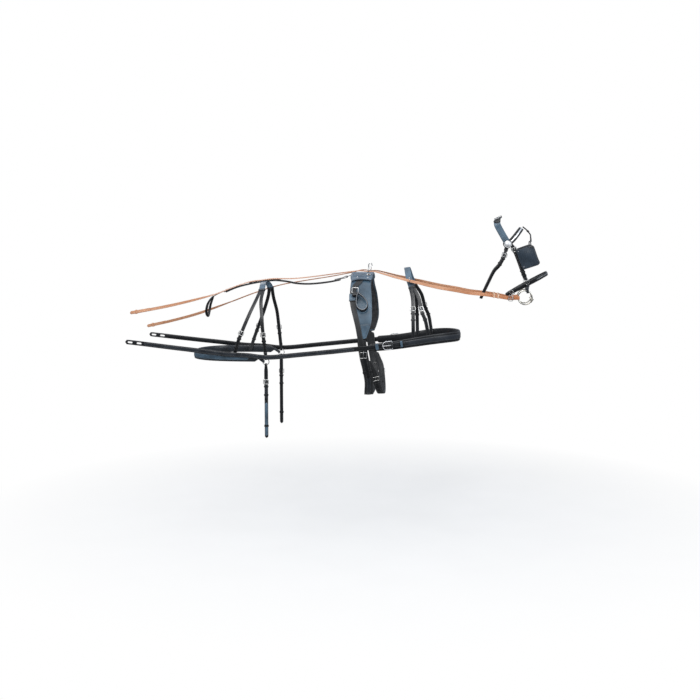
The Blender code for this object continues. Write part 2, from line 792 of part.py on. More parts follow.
def blinker_point(across, down, side):
    """A point of the blinker; across runs forward from the cheekpiece, down runs down the head."""
    corner = BLINKER_CORNER_SHARE
    inset = max(0.0, across - (1 - corner)) / corner
    squeeze = 1 - corner * (1 - math.sqrt(max(0.0, 1 - inset**2)))
    down = 0.5 + (down - 0.5) * squeeze
    start, end = BLINKER_SHARES
    point, _ = on_head(start + (end - start) * down, BLINKER_DEGREES,
                       LAYER_TWO + STRAP_THICKNESS / 2 + BLINKER_THICKNESS / 2 + LAYER_GAP)
    flare = math.radians(BLINKER_FLARE)
    forward = HEAD_FRONT * math.cos(flare) + Vector((0.0, -math.sin(flare), 0.0))
    bulge = Vector((0.0, -1.0, 0.0)) * BLINKER_CUP * math.sin(math.pi * across)
    upper, lower = BLINKER_SET_SHARES
    back = HEAD_FRONT * CHEEK_WIDTH * (upper + (lower - upper) * down)
    point = point + back + forward * across * BLINKER_LENGTH + bulge * math.sin(math.pi * down)
    point = point + HEAD_DOWN * BLINKER_RISE_SHARE * BLINKER_HEIGHT * across
    return flip(point, side)


def add_blinkers():
    for tag, side in SIDES:
        rows = []
        for i in range(BLINKER_CELLS + 1):
            rows.append([blinker_point(j / BLINKER_CELLS, i / BLINKER_CELLS, side) for j in range(BLINKER_CELLS + 1)])
        add_web("blinker_" + tag, [rows], BLINKER_THICKNESS, LEATHER)


STAY_RADIUS = 0.0032
STAY_ROOT_SHARES = (0.583, 0.0, 0.478)
STAY_FORK_SHARES = (0.6104, 0.0, 0.412)
STAY_BEND_SHARES = (0.6125, 0.084, 0.358)
STAY_TIP_SHARE = 0.90
STAY_STEPS = 6


def add_winker_stay():
    """A rounded stay from the browband, forked to the top of each blinker."""
    root = side_view(*STAY_ROOT_SHARES)
    fork = side_view(*STAY_FORK_SHARES)
    bend = side_view(*STAY_BEND_SHARES)
    tip = blinker_point(STAY_TIP_SHARE, 0.0, 1) - HEAD_DOWN * (STAY_RADIUS + WIRE_GAP / 2)
    near = [(tip, HEAD_FRONT), ((tip + bend) / 2 - HEAD_DOWN * 2 * STAY_RADIUS, HEAD_FRONT), (bend, HEAD_FRONT)]
    route = smooth_route(near + [(fork, HEAD_FRONT)] + mirrored(near)[::-1], step=STEP_LENGTH / 2)
    fork_mesh = wire_mesh("winker_stay", [point for point, _ in route], STAY_RADIUS, closed=False)
    stay = add_object("winker_stay", fork_mesh, LEATHER)
    stem_points = [root, (root + fork) / 2 + HEAD_FRONT * STAY_RADIUS, fork + HEAD_DOWN * STAY_RADIUS / 2]
    stem_mesh = wire_mesh("stay_stem", stem_points, 1.15 * STAY_RADIUS, closed=False)
    union(stay, add_object("stay_stem", stem_mesh, None))


def add_bit():
    """Two loose rings and a mouthpiece whose ends turn on them."""
    for tag, side in SIDES:
        add_ring("bit_ring_" + tag, bit_ring_centre(side), Vector((0, 1, 0)), BIT_RING_RADIUS, BIT_WIRE)
    turn = math.radians(MOUTH_TURN)
    wire = bit_ring_centre(1) + Vector((math.cos(turn), 0.0, math.sin(turn))) * BIT_RING_RADIUS
    wire.y += EYE_OFFSET
    half = abs(wire.y) - EYE_RADIUS
    steps = 10
    points = []
    for i in range(steps + 1):
        t = 2 * i / steps - 1
        points.append(Vector((wire.x, t * half, wire.z - MOUTH_DROOP * (1 - t**2))))
    bar = add_object("mouthpiece", wire_mesh("mouthpiece", points, MOUTHPIECE_RADIUS, closed=False), METAL)
    for tag, side in SIDES:
        tangent = Vector((-math.sin(turn), 0.0, math.cos(turn)))
        union(bar, add_ring("mouth_eye_" + tag, flip(wire, side), tangent, EYE_RADIUS, EYE_WIRE))
    hang_from(bar, Vector((wire.x, 0.0, wire.z)))


MOUTH_TURN = -14.0
MOUTH_DROOP = 0.016
EYE_OFFSET = 0.0013


# Reins: points in metres, from the bit back over the croup
NEAR_REIN = (
    (0.841, -0.079, -0.092), (0.783, -0.090, -0.082), (0.705, -0.105, -0.070), (0.618, -0.120, -0.061),
    (0.532, -0.134, -0.045), (0.446, -0.140, -0.031), (0.366, -0.138, -0.014), (0.320, -0.132, -0.003),
    (0.267, -0.122, 0.010), (0.212, -0.113, 0.022), (0.176, -0.107, 0.030), (0.109, -0.094, 0.048),
    (0.060, -0.079, 0.060), (0.022, -0.075, 0.066), (-0.028, -0.077, 0.064), (-0.087, -0.079, 0.058),
    (-0.206, -0.078, 0.042), (-0.326, -0.074, 0.026), (-0.431, -0.070, 0.016), (-0.551, -0.066, 0.014),
    (-0.618, -0.064, 0.006), (-0.696, -0.066, -0.006), (-0.798, -0.072, -0.040), (-0.895, -0.082, -0.078),
    (-1.037, -0.100, -0.117), (-1.189, -0.120, -0.152), (-1.346, -0.140, -0.182), (-1.407, -0.145, -0.192),
)
FAR_REIN_BACK = (
    (-0.105, 0.084, 0.046), (-0.229, 0.095, 0.022), (-0.386, 0.120, -0.004), (-0.546, 0.150, -0.034),
    (-0.709, 0.180, -0.084), (-0.872, 0.200, -0.145), (-1.077, 0.215, -0.218), (-1.260, 0.210, -0.268),
    (-1.407, 0.203, -0.301),
)
FAR_REIN_SHARED_POINTS = 15
REIN_LAP = 0.054
REIN_FLAT_SHARES = (
    (-0.70, 0.35), (-0.54, 1.0), (0.014, 1.0), (0.076, 0.85), (0.133, 0.62), (0.19, 0.45), (0.266, 0.25), (0.35, 0.0),
)
REIN_RING_PLACES = (8, 13)


def rein_out(point, side):
    """The rein faces sideways in front, and lies flat from the saddle back over the croup."""
    flat = min(1.0, max(0.0, share_at(REIN_FLAT_SHARES, point.x / BODY_LENGTH)))
    return Vector((0.0, -side * (1.0 - 0.8 * flat), 0.15 + 0.85 * flat)).normalized()


def rein_points(side):
    points = [Vector(point) for point in NEAR_REIN]
    points[REIN_RING_PLACES[0]] = neck_ring_centre(1)
    points[REIN_RING_PLACES[0]].z -= NECK_RING_RADIUS - NECK_RING_WIRE - REIN_WIDTH / 2 - 2 * WIRE_GAP
    points[REIN_RING_PLACES[1]] = terret_centre(1)
    reach = TERRET_RADIUS - TERRET_WIRE - WIRE_GAP
    points[REIN_RING_PLACES[1]].z -= math.sqrt(reach**2 - (REIN_WIDTH / 2 + 2 * WIRE_GAP) ** 2) - REIN_THICKNESS / 2
    if side == -1:
        points = [flip(point, -1) for point in points[:FAR_REIN_SHARED_POINTS]]
        points += [Vector(point) for point in FAR_REIN_BACK]
    return points


def add_reins():
    """Each rein turns round its bit ring and lies doubled as far as its buckle."""
    fold = fold_for(BIT_WIRE, REIN_THICKNESS)
    slack = slack_for(BIT_RING_RADIUS, REIN_WIDTH, BIT_WIRE)
    for tag, side in SIDES:
        centre = bit_ring_centre(side)
        out = Vector((0.0, -side, 0.0))
        along = Vector((1.0, 0.0, 0.06)).normalized()
        seat = ring_seat(centre, BIT_RING_RADIUS, along, out, fold, slack)
        lead = seat - along * 1.2 * REIN_WIDTH
        stations = [(point, rein_out(point, side)) for point in rein_points(side)][::-1]
        stations += [(lead, out), (seat, out)]
        frames = frames_of(smooth_route(stations, step=1.6 * STEP_LENGTH))
        frames[-1] = (seat, along, out)
        frames = turned_end(frames, fold, REIN_LAP, REIN_THICKNESS + LAYER_GAP, open_for(slack, BIT_WIRE))
        add_strap("rein_" + tag, frames, REIN_WIDTH, REIN_THICKNESS, REIN_LEATHER)
        point = flip(Vector(NEAR_REIN[0]), side)
        tail = (point - flip(Vector(NEAR_REIN[1]), side)).normalized() + (lead - point).normalized()
        tail.normalize()
        face = (out - tail * out.dot(tail)).normalized()
        height = REIN_WIDTH + 4 * BUCKLE_WIRE + 2 * WIRE_GAP
        rise = 1.5 * REIN_THICKNESS + LAYER_GAP + BUCKLE_WIRE + 2 * WIRE_GAP
        place = to_world(point + face * rise, tail, face)
        add_buckle("rein_buckle_" + tag, place, REIN_BUCKLE_LENGTH, height, BUCKLE_WIRE)


# Neck strap and breast collar
NECK_SHARES = ((0.155, 0.0), (0.158, 13.0), (0.166, 30.0), (0.180, 44.0))
NECK_REAR_SHARES = ((0.183, 55.0), (0.186, 70.0), (0.187, 85.0), (0.188, 100.0))
NECK_FRONT_SHARES = ((0.205, 57.0), (0.217, 72.0), (0.232, 88.0), (0.244, 105.0))
NECK_RING_DEGREES = 35.0
NECK_RING_SHARE = 0.169


def add_forked_band(name, trunk_shares, rear_shares, front_shares, width, branch_width, front_rows=None):
    """A band over the spine that splits in two on each side."""
    near = [on_body(a, d, LAYER_ONE) for a, d in trunk_shares]
    route = frames_of(smooth_route(mirrored(near)[:0:-1] + near))
    rows = [[left, (left + right) / 2, right] for left, right in rows_of(route, width)]
    strips = [rows]
    for side, edge in ((1, rows[-1]), (-1, rows[0])):
        split = sided([near[-1]], side)
        for shares in (rear_shares, front_shares):
            branch = sided([on_body(a, d, LAYER_ONE) for a, d in shares], side)
            rear = shares is rear_shares
            if front_rows and not rear:
                made = front_rows(split + branch, side)
            else:
                made = rows_of(frames_of(smooth_route(split + branch)), branch_width)
            edges = sorted(edge, key=lambda point: point.x)
            first = edges[:2] if rear else edges[1:]
            if (made[1][1] - made[1][0]).dot(first[1] - first[0]) < 0:
                first = first[::-1]
            strips.append([first] + made[1:])
    add_web(name, strips, STRAP_THICKNESS, LEATHER)


COLLAR_HEIGHT_SHARES = (
    (0.026, -0.557), (0.077, -0.548), (0.139, -0.530), (0.194, -0.509), (0.254, -0.487),
    (0.311, -0.475), (0.360, -0.475),
)
COLLAR_REAR_SHARE = 0.026
COLLAR_SIDE_STEPS = 6
COLLAR_FRONT_STEPS = 8


def flank(along, height):
    """Half width of the body at a height."""
    top = BODY_DEPTH * share_at(TOP_LINE_SHARES, along)
    bottom = BODY_DEPTH * share_at(BELLY_LINE_SHARES, along)
    power = share_at(TOP_ROUNDNESS, along) if height > (top + bottom) / 2 else LOWER_ROUNDNESS
    off = min(1.0, abs(height - (top + bottom) / 2) / ((top - bottom) / 2))
    return half_width(along) * (1 - off**power) ** (1 / power)


def upper_edge(along):
    """The collar's upper edge, where the body under it is widest."""
    return BODY_DEPTH * share_at(COLLAR_HEIGHT_SHARES, along) + COLLAR_HEIGHT / 2


def collar_stations(lift):
    """The near half of the breast collar, from its rear end to the middle of the chest."""
    start, nose = CHEST_SHARES
    places = []
    for i in range(COLLAR_SIDE_STEPS):
        along = COLLAR_REAR_SHARE + (start - COLLAR_REAR_SHARE) * i / COLLAR_SIDE_STEPS
        height = BODY_DEPTH * share_at(COLLAR_HEIGHT_SHARES, along)
        places.append(Vector((along * BODY_LENGTH, -flank(along, upper_edge(along)), height)))
    for i in range(COLLAR_FRONT_STEPS + 1):
        turn = math.pi / 2 * i / COLLAR_FRONT_STEPS
        along = start + (nose - start) * math.sin(turn) ** (2 / END_ROUNDNESS)
        height = BODY_DEPTH * share_at(COLLAR_HEIGHT_SHARES, along)
        widest = flank(start, upper_edge(along))
        places.append(Vector((along * BODY_LENGTH, -widest * math.cos(turn) ** (2 / END_ROUNDNESS), height)))
    places[-1].y = 0.0
    stations = []
    for i, place in enumerate(places):
        ahead = places[min(i + 1, len(places) - 1)] - places[max(i - 1, 0)]
        if i == len(places) - 1:
            ahead = Vector((0.0, 1.0, 0.0))
        out = Vector((ahead.y, -ahead.x, 0.0)).normalized()
        stations.append((place + out * lift, out))
    return stations


def add_breast_collar():
    near = collar_stations(COLLAR_LIFT)
    route = frames_of(near + mirrored(near)[-2::-1])
    rear = COLLAR_END_HEIGHT / COLLAR_HEIGHT
    add_strap("breast_collar", route, tapered(COLLAR_HEIGHT, rear, rear, 0.30), COLLAR_THICKNESS, LEATHER)


def neck_ring_centre(side):
    point, out = on_body(NECK_RING_SHARE, NECK_RING_DEGREES, LAYER_ONE)
    flat = Vector((0.0, out.y, out.z)).normalized()
    rise = STRAP_THICKNESS / 2 + WIRE_GAP + NECK_RING_WIRE + NECK_RING_RADIUS
    return flip(point + flat * rise, side)


def add_neck_rings():
    """A ring for each rein, sewn upright on the neck strap."""
    for tag, side in SIDES:
        add_ring("neck_ring_" + tag, neck_ring_centre(side), Vector((1, 0, 0)), NECK_RING_RADIUS, NECK_RING_WIRE)


# Traces: shares of the body's length, width and depth, from the tip at the breast collar to the rear
TRACE_SHARES = (
    (0.161, 0.0, -0.519), (0.139, 0.0, -0.527), (0.112, 0.0, -0.533), (0.076, 0.0, -0.542), (0.032, 0.492, -0.556),
    (0.0, 0.508, -0.563), (-0.042, 0.517, -0.573), (-0.113, 0.530, -0.592), (-0.224, 0.527, -0.620),
    (-0.318, 0.521, -0.644), (-0.370, 0.517, -0.646), (-0.423, 0.513, -0.633), (-0.507, 0.508, -0.624),
    (-0.602, 0.496, -0.600), (-0.720, 0.480, -0.572), (-0.834, 0.468, -0.543), (-0.890, 0.466, -0.530),
)
TRACE_RISES = (0.0, 0.16, 1.0, 0.18, 0.0)
BUCKLE_BAR_SHARE = 0.112
TRACE_SLOT_LENGTH = 0.030
TRACE_SLOT_HEIGHT = 0.010
TRACE_SLOTS = 2
TRACE_SLOT_PITCH = 0.055
TONGUE_RADIUS = 0.0018
TONGUE_HOLE_LENGTH = 0.022
TONGUE_HOLE_HEIGHT = 0.008


def collar_face(along):
    """Distance of the breast collar's outer face from the middle plane."""
    return flank(along, upper_edge(along)) + COLLAR_LIFT + COLLAR_THICKNESS / 2


BAR_RISE = 2 * TONGUE_RADIUS + 2 * WIRE_GAP + BUCKLE_WIRE
KNUCKLE = BUCKLE_WIRE + WIRE_GAP + TONGUE_RADIUS
BAR_STACK = BAR_RISE + KNUCKLE + TONGUE_RADIUS + WIRE_GAP - LAYER_GAP


def band_face(height):
    """Distance of the back band's outer face from the middle plane, below the saddle's tip."""
    lift = (band_lift(BAND_SHARES[-1][0]) + UNDER_BAND_LIFT) / 2
    return flank(0.0, height) + lift + STRAP_THICKNESS / 2


def trace_stations():
    stations = []
    for i, (along, out, height) in enumerate(TRACE_SHARES):
        point = side_view(along, out, height)
        if i < len(TRACE_RISES):
            rise = LAYER_GAP + TRACE_THICKNESS / 2 + BAR_STACK * TRACE_RISES[i]
            point.y = -(collar_face(along) + rise)
        if along == 0.0:
            point.y = -(band_face(point.z + TRACE_WIDTH / 2) + LAYER_GAP + TRACE_THICKNESS / 2)
        stations.append(point)
    found = []
    for i, point in enumerate(stations):
        ahead = stations[min(i + 1, len(stations) - 1)] - stations[max(i - 1, 0)]
        out = Vector((-ahead.y, ahead.x, 0.0)).normalized()
        if out.y > 0:
            out.negate()
        found.append((point, out))
    return found


def box_cutter(name, place, length, height, depth):
    bpy.ops.mesh.primitive_cube_add(size=1.0)
    made = bpy.context.object
    made.name = name
    made.data.transform(Matrix.Diagonal((length, height, depth, 1.0)))
    made.matrix_world = place
    return made


def add_traces():
    for tag, side in SIDES:
        route = sided(trace_stations(), side)
        frames = frames_of(smooth_route(route, step=2 * STEP_LENGTH))
        trace = add_strap("trace_" + tag, frames, tapered(TRACE_WIDTH, 0.55, 0.55, 0.008), TRACE_THICKNESS, LEATHER)
        end, along, out = frames[-1]
        for i in range(TRACE_SLOTS):
            middle = end - along * (TRACE_SLOT_LENGTH + TRACE_SLOT_PITCH * i)
            place = to_world(middle, along, out)
            cut(trace, box_cutter("trace_slot_" + tag + str(i), place, TRACE_SLOT_LENGTH, TRACE_SLOT_HEIGHT,
                                  4 * TRACE_THICKNESS))
        bar, tail, face = buckle_bar(side)
        hole = bar + tail * (WIRE_GAP + TONGUE_HOLE_LENGTH / 2 - BUCKLE_WIRE / 2)
        place = to_world(hole, tail, face)
        cut(trace, box_cutter("tongue_hole_" + tag, place, TONGUE_HOLE_LENGTH + BUCKLE_WIRE, TONGUE_HOLE_HEIGHT,
                              10 * TRACE_THICKNESS))


def buckle_bar(side):
    """The trace buckle's bar: its middle, the way its front end points, and outwards."""
    route = trace_stations()
    tip, tail = route[1][0], route[3][0]
    along = (tail - tip).normalized()
    height = BODY_DEPTH * share_at(COLLAR_HEIGHT_SHARES, BUCKLE_BAR_SHARE)
    bar = Vector((BUCKLE_BAR_SHARE * BODY_LENGTH, 0.0, route[2][0].z))
    bar.y = -(collar_face(BUCKLE_BAR_SHARE) + BAR_RISE)
    out = Vector((-along.y, along.x, 0.0)).normalized()
    if out.y > 0:
        out.negate()
    return flip(bar, side), flip(along, side), flip(out, side)


def add_trace_buckles():
    """The frame, its bar under the trace and its front end over it, and the tongue on the bar."""
    over = LAYER_GAP + BAR_STACK * TRACE_RISES[3] + TRACE_THICKNESS + 5 * WIRE_GAP + BUCKLE_WIRE - BAR_RISE
    rest = over + BUCKLE_WIRE + 2 * WIRE_GAP + TONGUE_RADIUS
    for tag, side in SIDES:
        bar, along, out = buckle_bar(side)
        place = to_world(bar, along, out)
        add_buckle("trace_buckle_" + tag, place, TRACE_BUCKLE_LENGTH, TRACE_BUCKLE_HEIGHT, BUCKLE_WIRE, tilt=over)
        points = []
        for i in range(6, -1, -1):
            turn = math.radians(-170 + 42 * i)
            points.append(Vector((KNUCKLE * math.cos(turn), 0.0, -KNUCKLE * math.sin(turn))))
        points.append(Vector((TONGUE_HOLE_LENGTH * 0.45, 0.0, KNUCKLE * 1.9)))
        points.append(Vector((TONGUE_HOLE_LENGTH * 0.95, 0.0, rest + TONGUE_RADIUS)))
        points.append(Vector((TRACE_BUCKLE_LENGTH + BUCKLE_WIRE, 0.0, rest)))
        tongue = add_object("trace_tongue_" + tag, wire_mesh("trace_tongue_" + tag, points, TONGUE_RADIUS,
                            closed=False), METAL)
        tongue.matrix_world = place


# Saddle
TREE_EDGE_SHARES = ((0.0, -0.050, 0.028), (14.0, -0.050, 0.028), (20.0, -0.049, 0.027), (25.0, -0.045, 0.023))
PAD_EDGE_SHARES = (
    (12.0, -0.045, 0.026), (30.0, -0.048, 0.026), (45.0, -0.045, 0.032), (58.0, -0.036, 0.035),
    (70.0, -0.020, 0.035), (80.0, -0.009, 0.026), (87.0, 0.001, 0.016),
)
PAD_INSET_SHARE = 0.003
FLAP_STEPS = 12
PAD_COLUMNS = 4
PAD_ROWS = 8
TREE_STEPS = 16
THICK_PAD_DEGREES = 24.0
TIP_DEGREES = 87.0


def pad_thickness(degrees):
    t = (TIP_DEGREES - abs(degrees)) / (TIP_DEGREES - THICK_PAD_DEGREES)
    t = min(1.0, max(0.0, t))
    return PAD_TIP_THICKNESS + (PAD_TOP_THICKNESS - PAD_TIP_THICKNESS) * t * t * (3 - 2 * t)


def flap_lift(degrees):
    return SKIN_GAP + pad_thickness(degrees) + WIRE_GAP / 2 + FLAP_THICKNESS / 2


def band_lift(degrees):
    return flap_lift(degrees) + FLAP_THICKNESS / 2 + 1.6 * LAYER_GAP + STRAP_THICKNESS / 2


def tree_lift(degrees):
    return band_lift(degrees) + STRAP_THICKNESS / 2 + 1.5 * LAYER_GAP + TREE_THICKNESS / 2


def add_saddle_pads():
    """A padded panel on each side of the spine."""
    first, last = PAD_EDGE_SHARES[0][0] + 1.5, PAD_EDGE_SHARES[-1][0] - 2.0
    for tag, side in SIDES:
        layers = []
        for outer in (False, True):
            grid = []
            for i in range(PAD_ROWS + 1):
                degrees = first + (last - first) * i / PAD_ROWS
                rear = share_at(PAD_EDGE_SHARES, degrees, 1) + PAD_INSET_SHARE
                front = share_at(PAD_EDGE_SHARES, degrees, 2) - PAD_INSET_SHARE
                row = []
                for j in range(PAD_COLUMNS + 1):
                    along = rear + (front - rear) * j / PAD_COLUMNS
                    lift = SKIN_GAP + (pad_thickness(degrees) if outer else 0.0)
                    raised = on_saddle(along, degrees, lift)[0] if outer else on_body(along, degrees, lift)[0]
                    row.append(raised)
                grid.append([flip(point, side) for point in row])
            layers.append(grid)
        add_cushion("saddle_pad_" + tag, layers[0], layers[1], PADDING)


def add_cushion(name, inner, outer, finish):
    """A closed cage between two grids, rounded by subdivision."""
    mesh = bpy.data.meshes.new(name)
    cage = bmesh.new()
    low = [[cage.verts.new(point) for point in row] for row in inner]
    high = [[cage.verts.new(point) for point in row] for row in outer]
    rows, columns = len(low), len(low[0])
    for i in range(rows - 1):
        for j in range(columns - 1):
            cage.faces.new((low[i][j], low[i + 1][j], low[i + 1][j + 1], low[i][j + 1]))
            cage.faces.new((high[i][j], high[i][j + 1], high[i + 1][j + 1], high[i + 1][j]))
    for i in range(rows - 1):
        for j in (0, columns - 1):
            cage.faces.new((low[i][j], high[i][j], high[i + 1][j], low[i + 1][j]))
    for j in range(columns - 1):
        for i in (0, rows - 1):
            cage.faces.new((low[i][j], low[i][j + 1], high[i][j + 1], high[i][j]))
    bmesh.ops.recalc_face_normals(cage, faces=cage.faces)
    cage.to_mesh(mesh)
    cage.free()
    mesh.shade_smooth()
    made = add_object(name, mesh, finish)
    soft = made.modifiers.new("crown", "SUBSURF")
    soft.levels = 1
    soft.render_levels = 1
    return made


def add_saddle_flaps():
    for tag, side in SIDES:
        rows = []
        first, last = PAD_EDGE_SHARES[0][0], PAD_EDGE_SHARES[-1][0]
        for i in range(FLAP_STEPS + 1):
            degrees = first + (last - first) * i / FLAP_STEPS
            rear = share_at(PAD_EDGE_SHARES, degrees, 1)
            front = share_at(PAD_EDGE_SHARES, degrees, 2)
            rows.append([flip(on_saddle(rear + (front - rear) * j / 4, degrees, flap_lift(degrees))[0], side)
                         for j in range(5)])
        add_web("saddle_flap_" + tag, [rows], FLAP_THICKNESS, LEATHER)


def add_saddle_tree():
    """The arched top of the saddle, over both panels."""
    reach = TREE_EDGE_SHARES[-1][0]
    rows = []
    for i in range(TREE_STEPS + 1):
        degrees = reach * (2 * i / TREE_STEPS - 1)
        rear = share_at(TREE_EDGE_SHARES, abs(degrees), 1)
        front = share_at(TREE_EDGE_SHARES, abs(degrees), 2)
        lift = tree_lift(degrees)
        rows.append([on_saddle(rear + (front - rear) * j / 4, degrees, lift)[0] for j in range(5)])
    add_web("saddle_tree", [rows], TREE_THICKNESS, LEATHER)


TERRET_SHARE = 0.014
TERRET_DEGREES = 14.0
HOOK_SHARE = 0.010
DEE_LENGTH = 0.046
DEE_WIDTH = 0.034


def terret_foot(side):
    point, out = sided([on_saddle(TERRET_SHARE, TERRET_DEGREES, tree_lift(TERRET_DEGREES))], side)[0]
    return point + out * (TREE_THICKNESS / 2 + 2 * WIRE_GAP), out


def terret_centre(side):
    foot, out = terret_foot(side)
    return foot + out * (TERRET_FOOT_HEIGHT + TERRET_STEM + TERRET_RADIUS)


def add_terrets():
    """A ring on a screwed foot, for each rein."""
    for tag, side in SIDES:
        foot, out = terret_foot(side)
        top = foot + out * TERRET_FOOT_HEIGHT
        ring = add_ring("terret_" + tag, terret_centre(side), Vector((1, 0, 0)), TERRET_RADIUS, TERRET_WIRE)
        union(ring, add_cylinder("terret_foot_" + tag, foot, top, TERRET_FOOT_RADIUS, METAL, 16))
        union(ring, add_cylinder("terret_stem_" + tag, foot + out * TERRET_WIRE, top + out * TERRET_STEM,
                                 1.4 * TERRET_WIRE, METAL, 10))


def saddle_top(along):
    """The top of the saddle tree, on the middle line."""
    return on_saddle(along, 0.0, tree_lift(0.0) + TREE_THICKNESS / 2)[0]


def add_rein_hook():
    """The bearing rein hook on the saddle's crown."""
    root = saddle_top(HOOK_SHARE) + Vector((0, 0, WIRE_GAP))
    curl = HOOK_HEIGHT / 6
    points = [root + Vector((0, 0, HOOK_WIRE)), root + Vector((0, 0, HOOK_HEIGHT - 2 * curl))]
    for i in range(1, 7):
        turn = math.radians(180 - 32 * i)
        points.append(root + Vector((curl + curl * math.cos(turn), 0.0,
                                     HOOK_HEIGHT - 2 * curl + curl * math.sin(turn))))
    hook = add_object("rein_hook", wire_mesh("rein_hook", points, HOOK_WIRE, closed=False), METAL)
    foot = add_cylinder("hook_foot", root, root + Vector((0, 0, TERRET_FOOT_HEIGHT)), TERRET_FOOT_RADIUS, METAL, 16)
    union(hook, foot)


def dee_place():
    """The saddle dee: its front bar lies under the rear edge of the tree."""
    rear = TREE_EDGE_SHARES[0][1] * BODY_LENGTH
    bar = on_saddle(TREE_EDGE_SHARES[0][1] + PAD_INSET_SHARE, 0.0, tree_lift(0.0) - TREE_THICKNESS / 2)[0]
    bar.z -= WIRE_GAP + BUCKLE_WIRE
    bar.x = rear + 3 * BUCKLE_WIRE
    along = Vector((-0.93, 0.0, -0.37)).normalized()
    out = Vector((-0.37, 0.0, 0.93)).normalized()
    return bar, along, out


def add_saddle_dee():
    bar, along, out = dee_place()
    add_buckle("saddle_dee", to_world(bar, along, out), DEE_LENGTH, DEE_WIDTH, BUCKLE_WIRE, front_round=False)


BAND_SHARES = (
    (0.0, -0.011), (12.0, -0.011), (22.0, -0.014), (31.0, -0.032), (38.0, -0.038), (46.0, -0.037),
    (56.0, -0.030), (66.0, -0.020), (76.0, -0.011), (90.0, -0.002),
)
BAND_STEP_DEGREES = 6.25
BAND_END_SHARES = ((95.0, 0.001), (98.5, 0.003), (101.5, 0.005))
GIRTH_SHARES = ((87.5, -0.001), (95.0, 0.003), (105.0, 0.009), (116.0, 0.017), (133.0, 0.023), (155.0, 0.018), (180.0, 0.012))
BELLY_BAND_SHARES = ((108.0, 0.022), (116.0, 0.034), (124.0, 0.045), (140.0, 0.053), (160.0, 0.059), (180.0, 0.062))
GIRTH_LIFT = LAYER_TWO
UNDER_BAND_LIFT = GIRTH_LIFT + STRAP_THICKNESS + LAYER_GAP


def add_back_band():
    """One strap over the saddle, through both tug buckles and down to the girth buckles."""
    near = [across_saddle(share_at(BAND_SHARES, 0.0), 0.0, band_lift(0.0))]
    degrees = BAND_STEP_DEGREES * 0.96
    while degrees < BAND_SHARES[-1][0]:
        near.append(across_saddle(share_at(BAND_SHARES, degrees), degrees, band_lift(degrees)))
        degrees += BAND_STEP_DEGREES
    near += [on_body(a, d, UNDER_BAND_LIFT) for d, a in BAND_END_SHARES]
    route = frames_of(mirrored(near)[:0:-1] + near)
    add_strap("back_band", route, tapered(BACK_BAND_WIDTH, 0.6, 0.6, 0.012), STRAP_THICKNESS, LEATHER)


def add_girth():
    near = [on_body(a, d, GIRTH_LIFT) for d, a in GIRTH_SHARES]
    route = frames_of(smooth_route(near + mirrored(near)[-2::-1]))
    add_strap("girth", route, tapered(GIRTH_WIDTH, 0.7, 0.7, 0.02), STRAP_THICKNESS, LEATHER)


def add_belly_band():
    near = [on_body(a, d, LAYER_ONE) for d, a in BELLY_BAND_SHARES]
    route = frames_of(smooth_route(near + mirrored(near)[-2::-1]))
    add_strap("belly_band", route, BELLY_BAND_WIDTH, STRAP_THICKNESS, LEATHER)


GIRTH_BUCKLE_DEGREES = 98.5


def add_girth_buckles():
    for tag, side in SIDES:
        here = on_body(0.0045, GIRTH_BUCKLE_DEGREES, UNDER_BAND_LIFT)
        there = on_body(0.005, GIRTH_BUCKLE_DEGREES + 6, UNDER_BAND_LIFT)
        (point, out), (low, _) = sided([here, there], side)
        along = (low - point).normalized()
        out = (out - along * out.dot(along)).normalized()
        rise = STRAP_THICKNESS / 2 + WIRE_GAP + BUCKLE_WIRE
        height = BACK_BAND_WIDTH + 4 * BUCKLE_WIRE
        add_buckle("girth_buckle_" + tag, to_world(point + out * rise, along, out), GIRTH_BUCKLE_LENGTH, height,
                   BUCKLE_WIRE)


KEEPER_DEGREES = (39.0, 46.5)
KEEPER_THICKNESS = 0.003


def add_tug_keepers():
    """The box keeper that holds each side of the back band below its tug buckle."""
    for tag, side in SIDES:
        loops = []
        for degrees in (KEEPER_DEGREES[0], (KEEPER_DEGREES[0] + KEEPER_DEGREES[1]) / 2, KEEPER_DEGREES[1]):
            along = share_at(BAND_SHARES, degrees, 1)
            point, out = across_saddle(along, degrees, band_lift(degrees))
            low = on_saddle(share_at(BAND_SHARES, degrees + 3, 1), degrees + 3, band_lift(degrees + 3))[0]
            down = (low - point).normalized()
            across = out.cross(down).normalized()
            reach = BACK_BAND_WIDTH / 2 + 2 * WIRE_GAP + KEEPER_THICKNESS / 2
            rise = STRAP_THICKNESS / 2 + WIRE_GAP + KEEPER_THICKNESS / 2
            loops.append([flip(point - across * reach - out * 0.2 * rise, side),
                          flip(point - across * reach + out * rise, side),
                          flip(point + across * reach + out * rise, side),
                          flip(point + across * reach - out * 0.2 * rise, side)])
        add_web("tug_keeper_" + tag, [loops], KEEPER_THICKNESS, LEATHER)


TUG_BUCKLE_DEGREES = 34.0
TUG_BUCKLE_SHARE = -0.029
TUG_APEX_SHARES = (-0.0165, -0.104)
TUG_FOOT_SHARES = (0.0085, -0.246)
TUG_LOOP_WIDTH = 0.074
TUG_LOOP_STEPS = 18
TUG_TAB_WIDTH = 0.028
TUG_TAB_LENGTH = 0.024
TUG_THICKNESS = 0.004


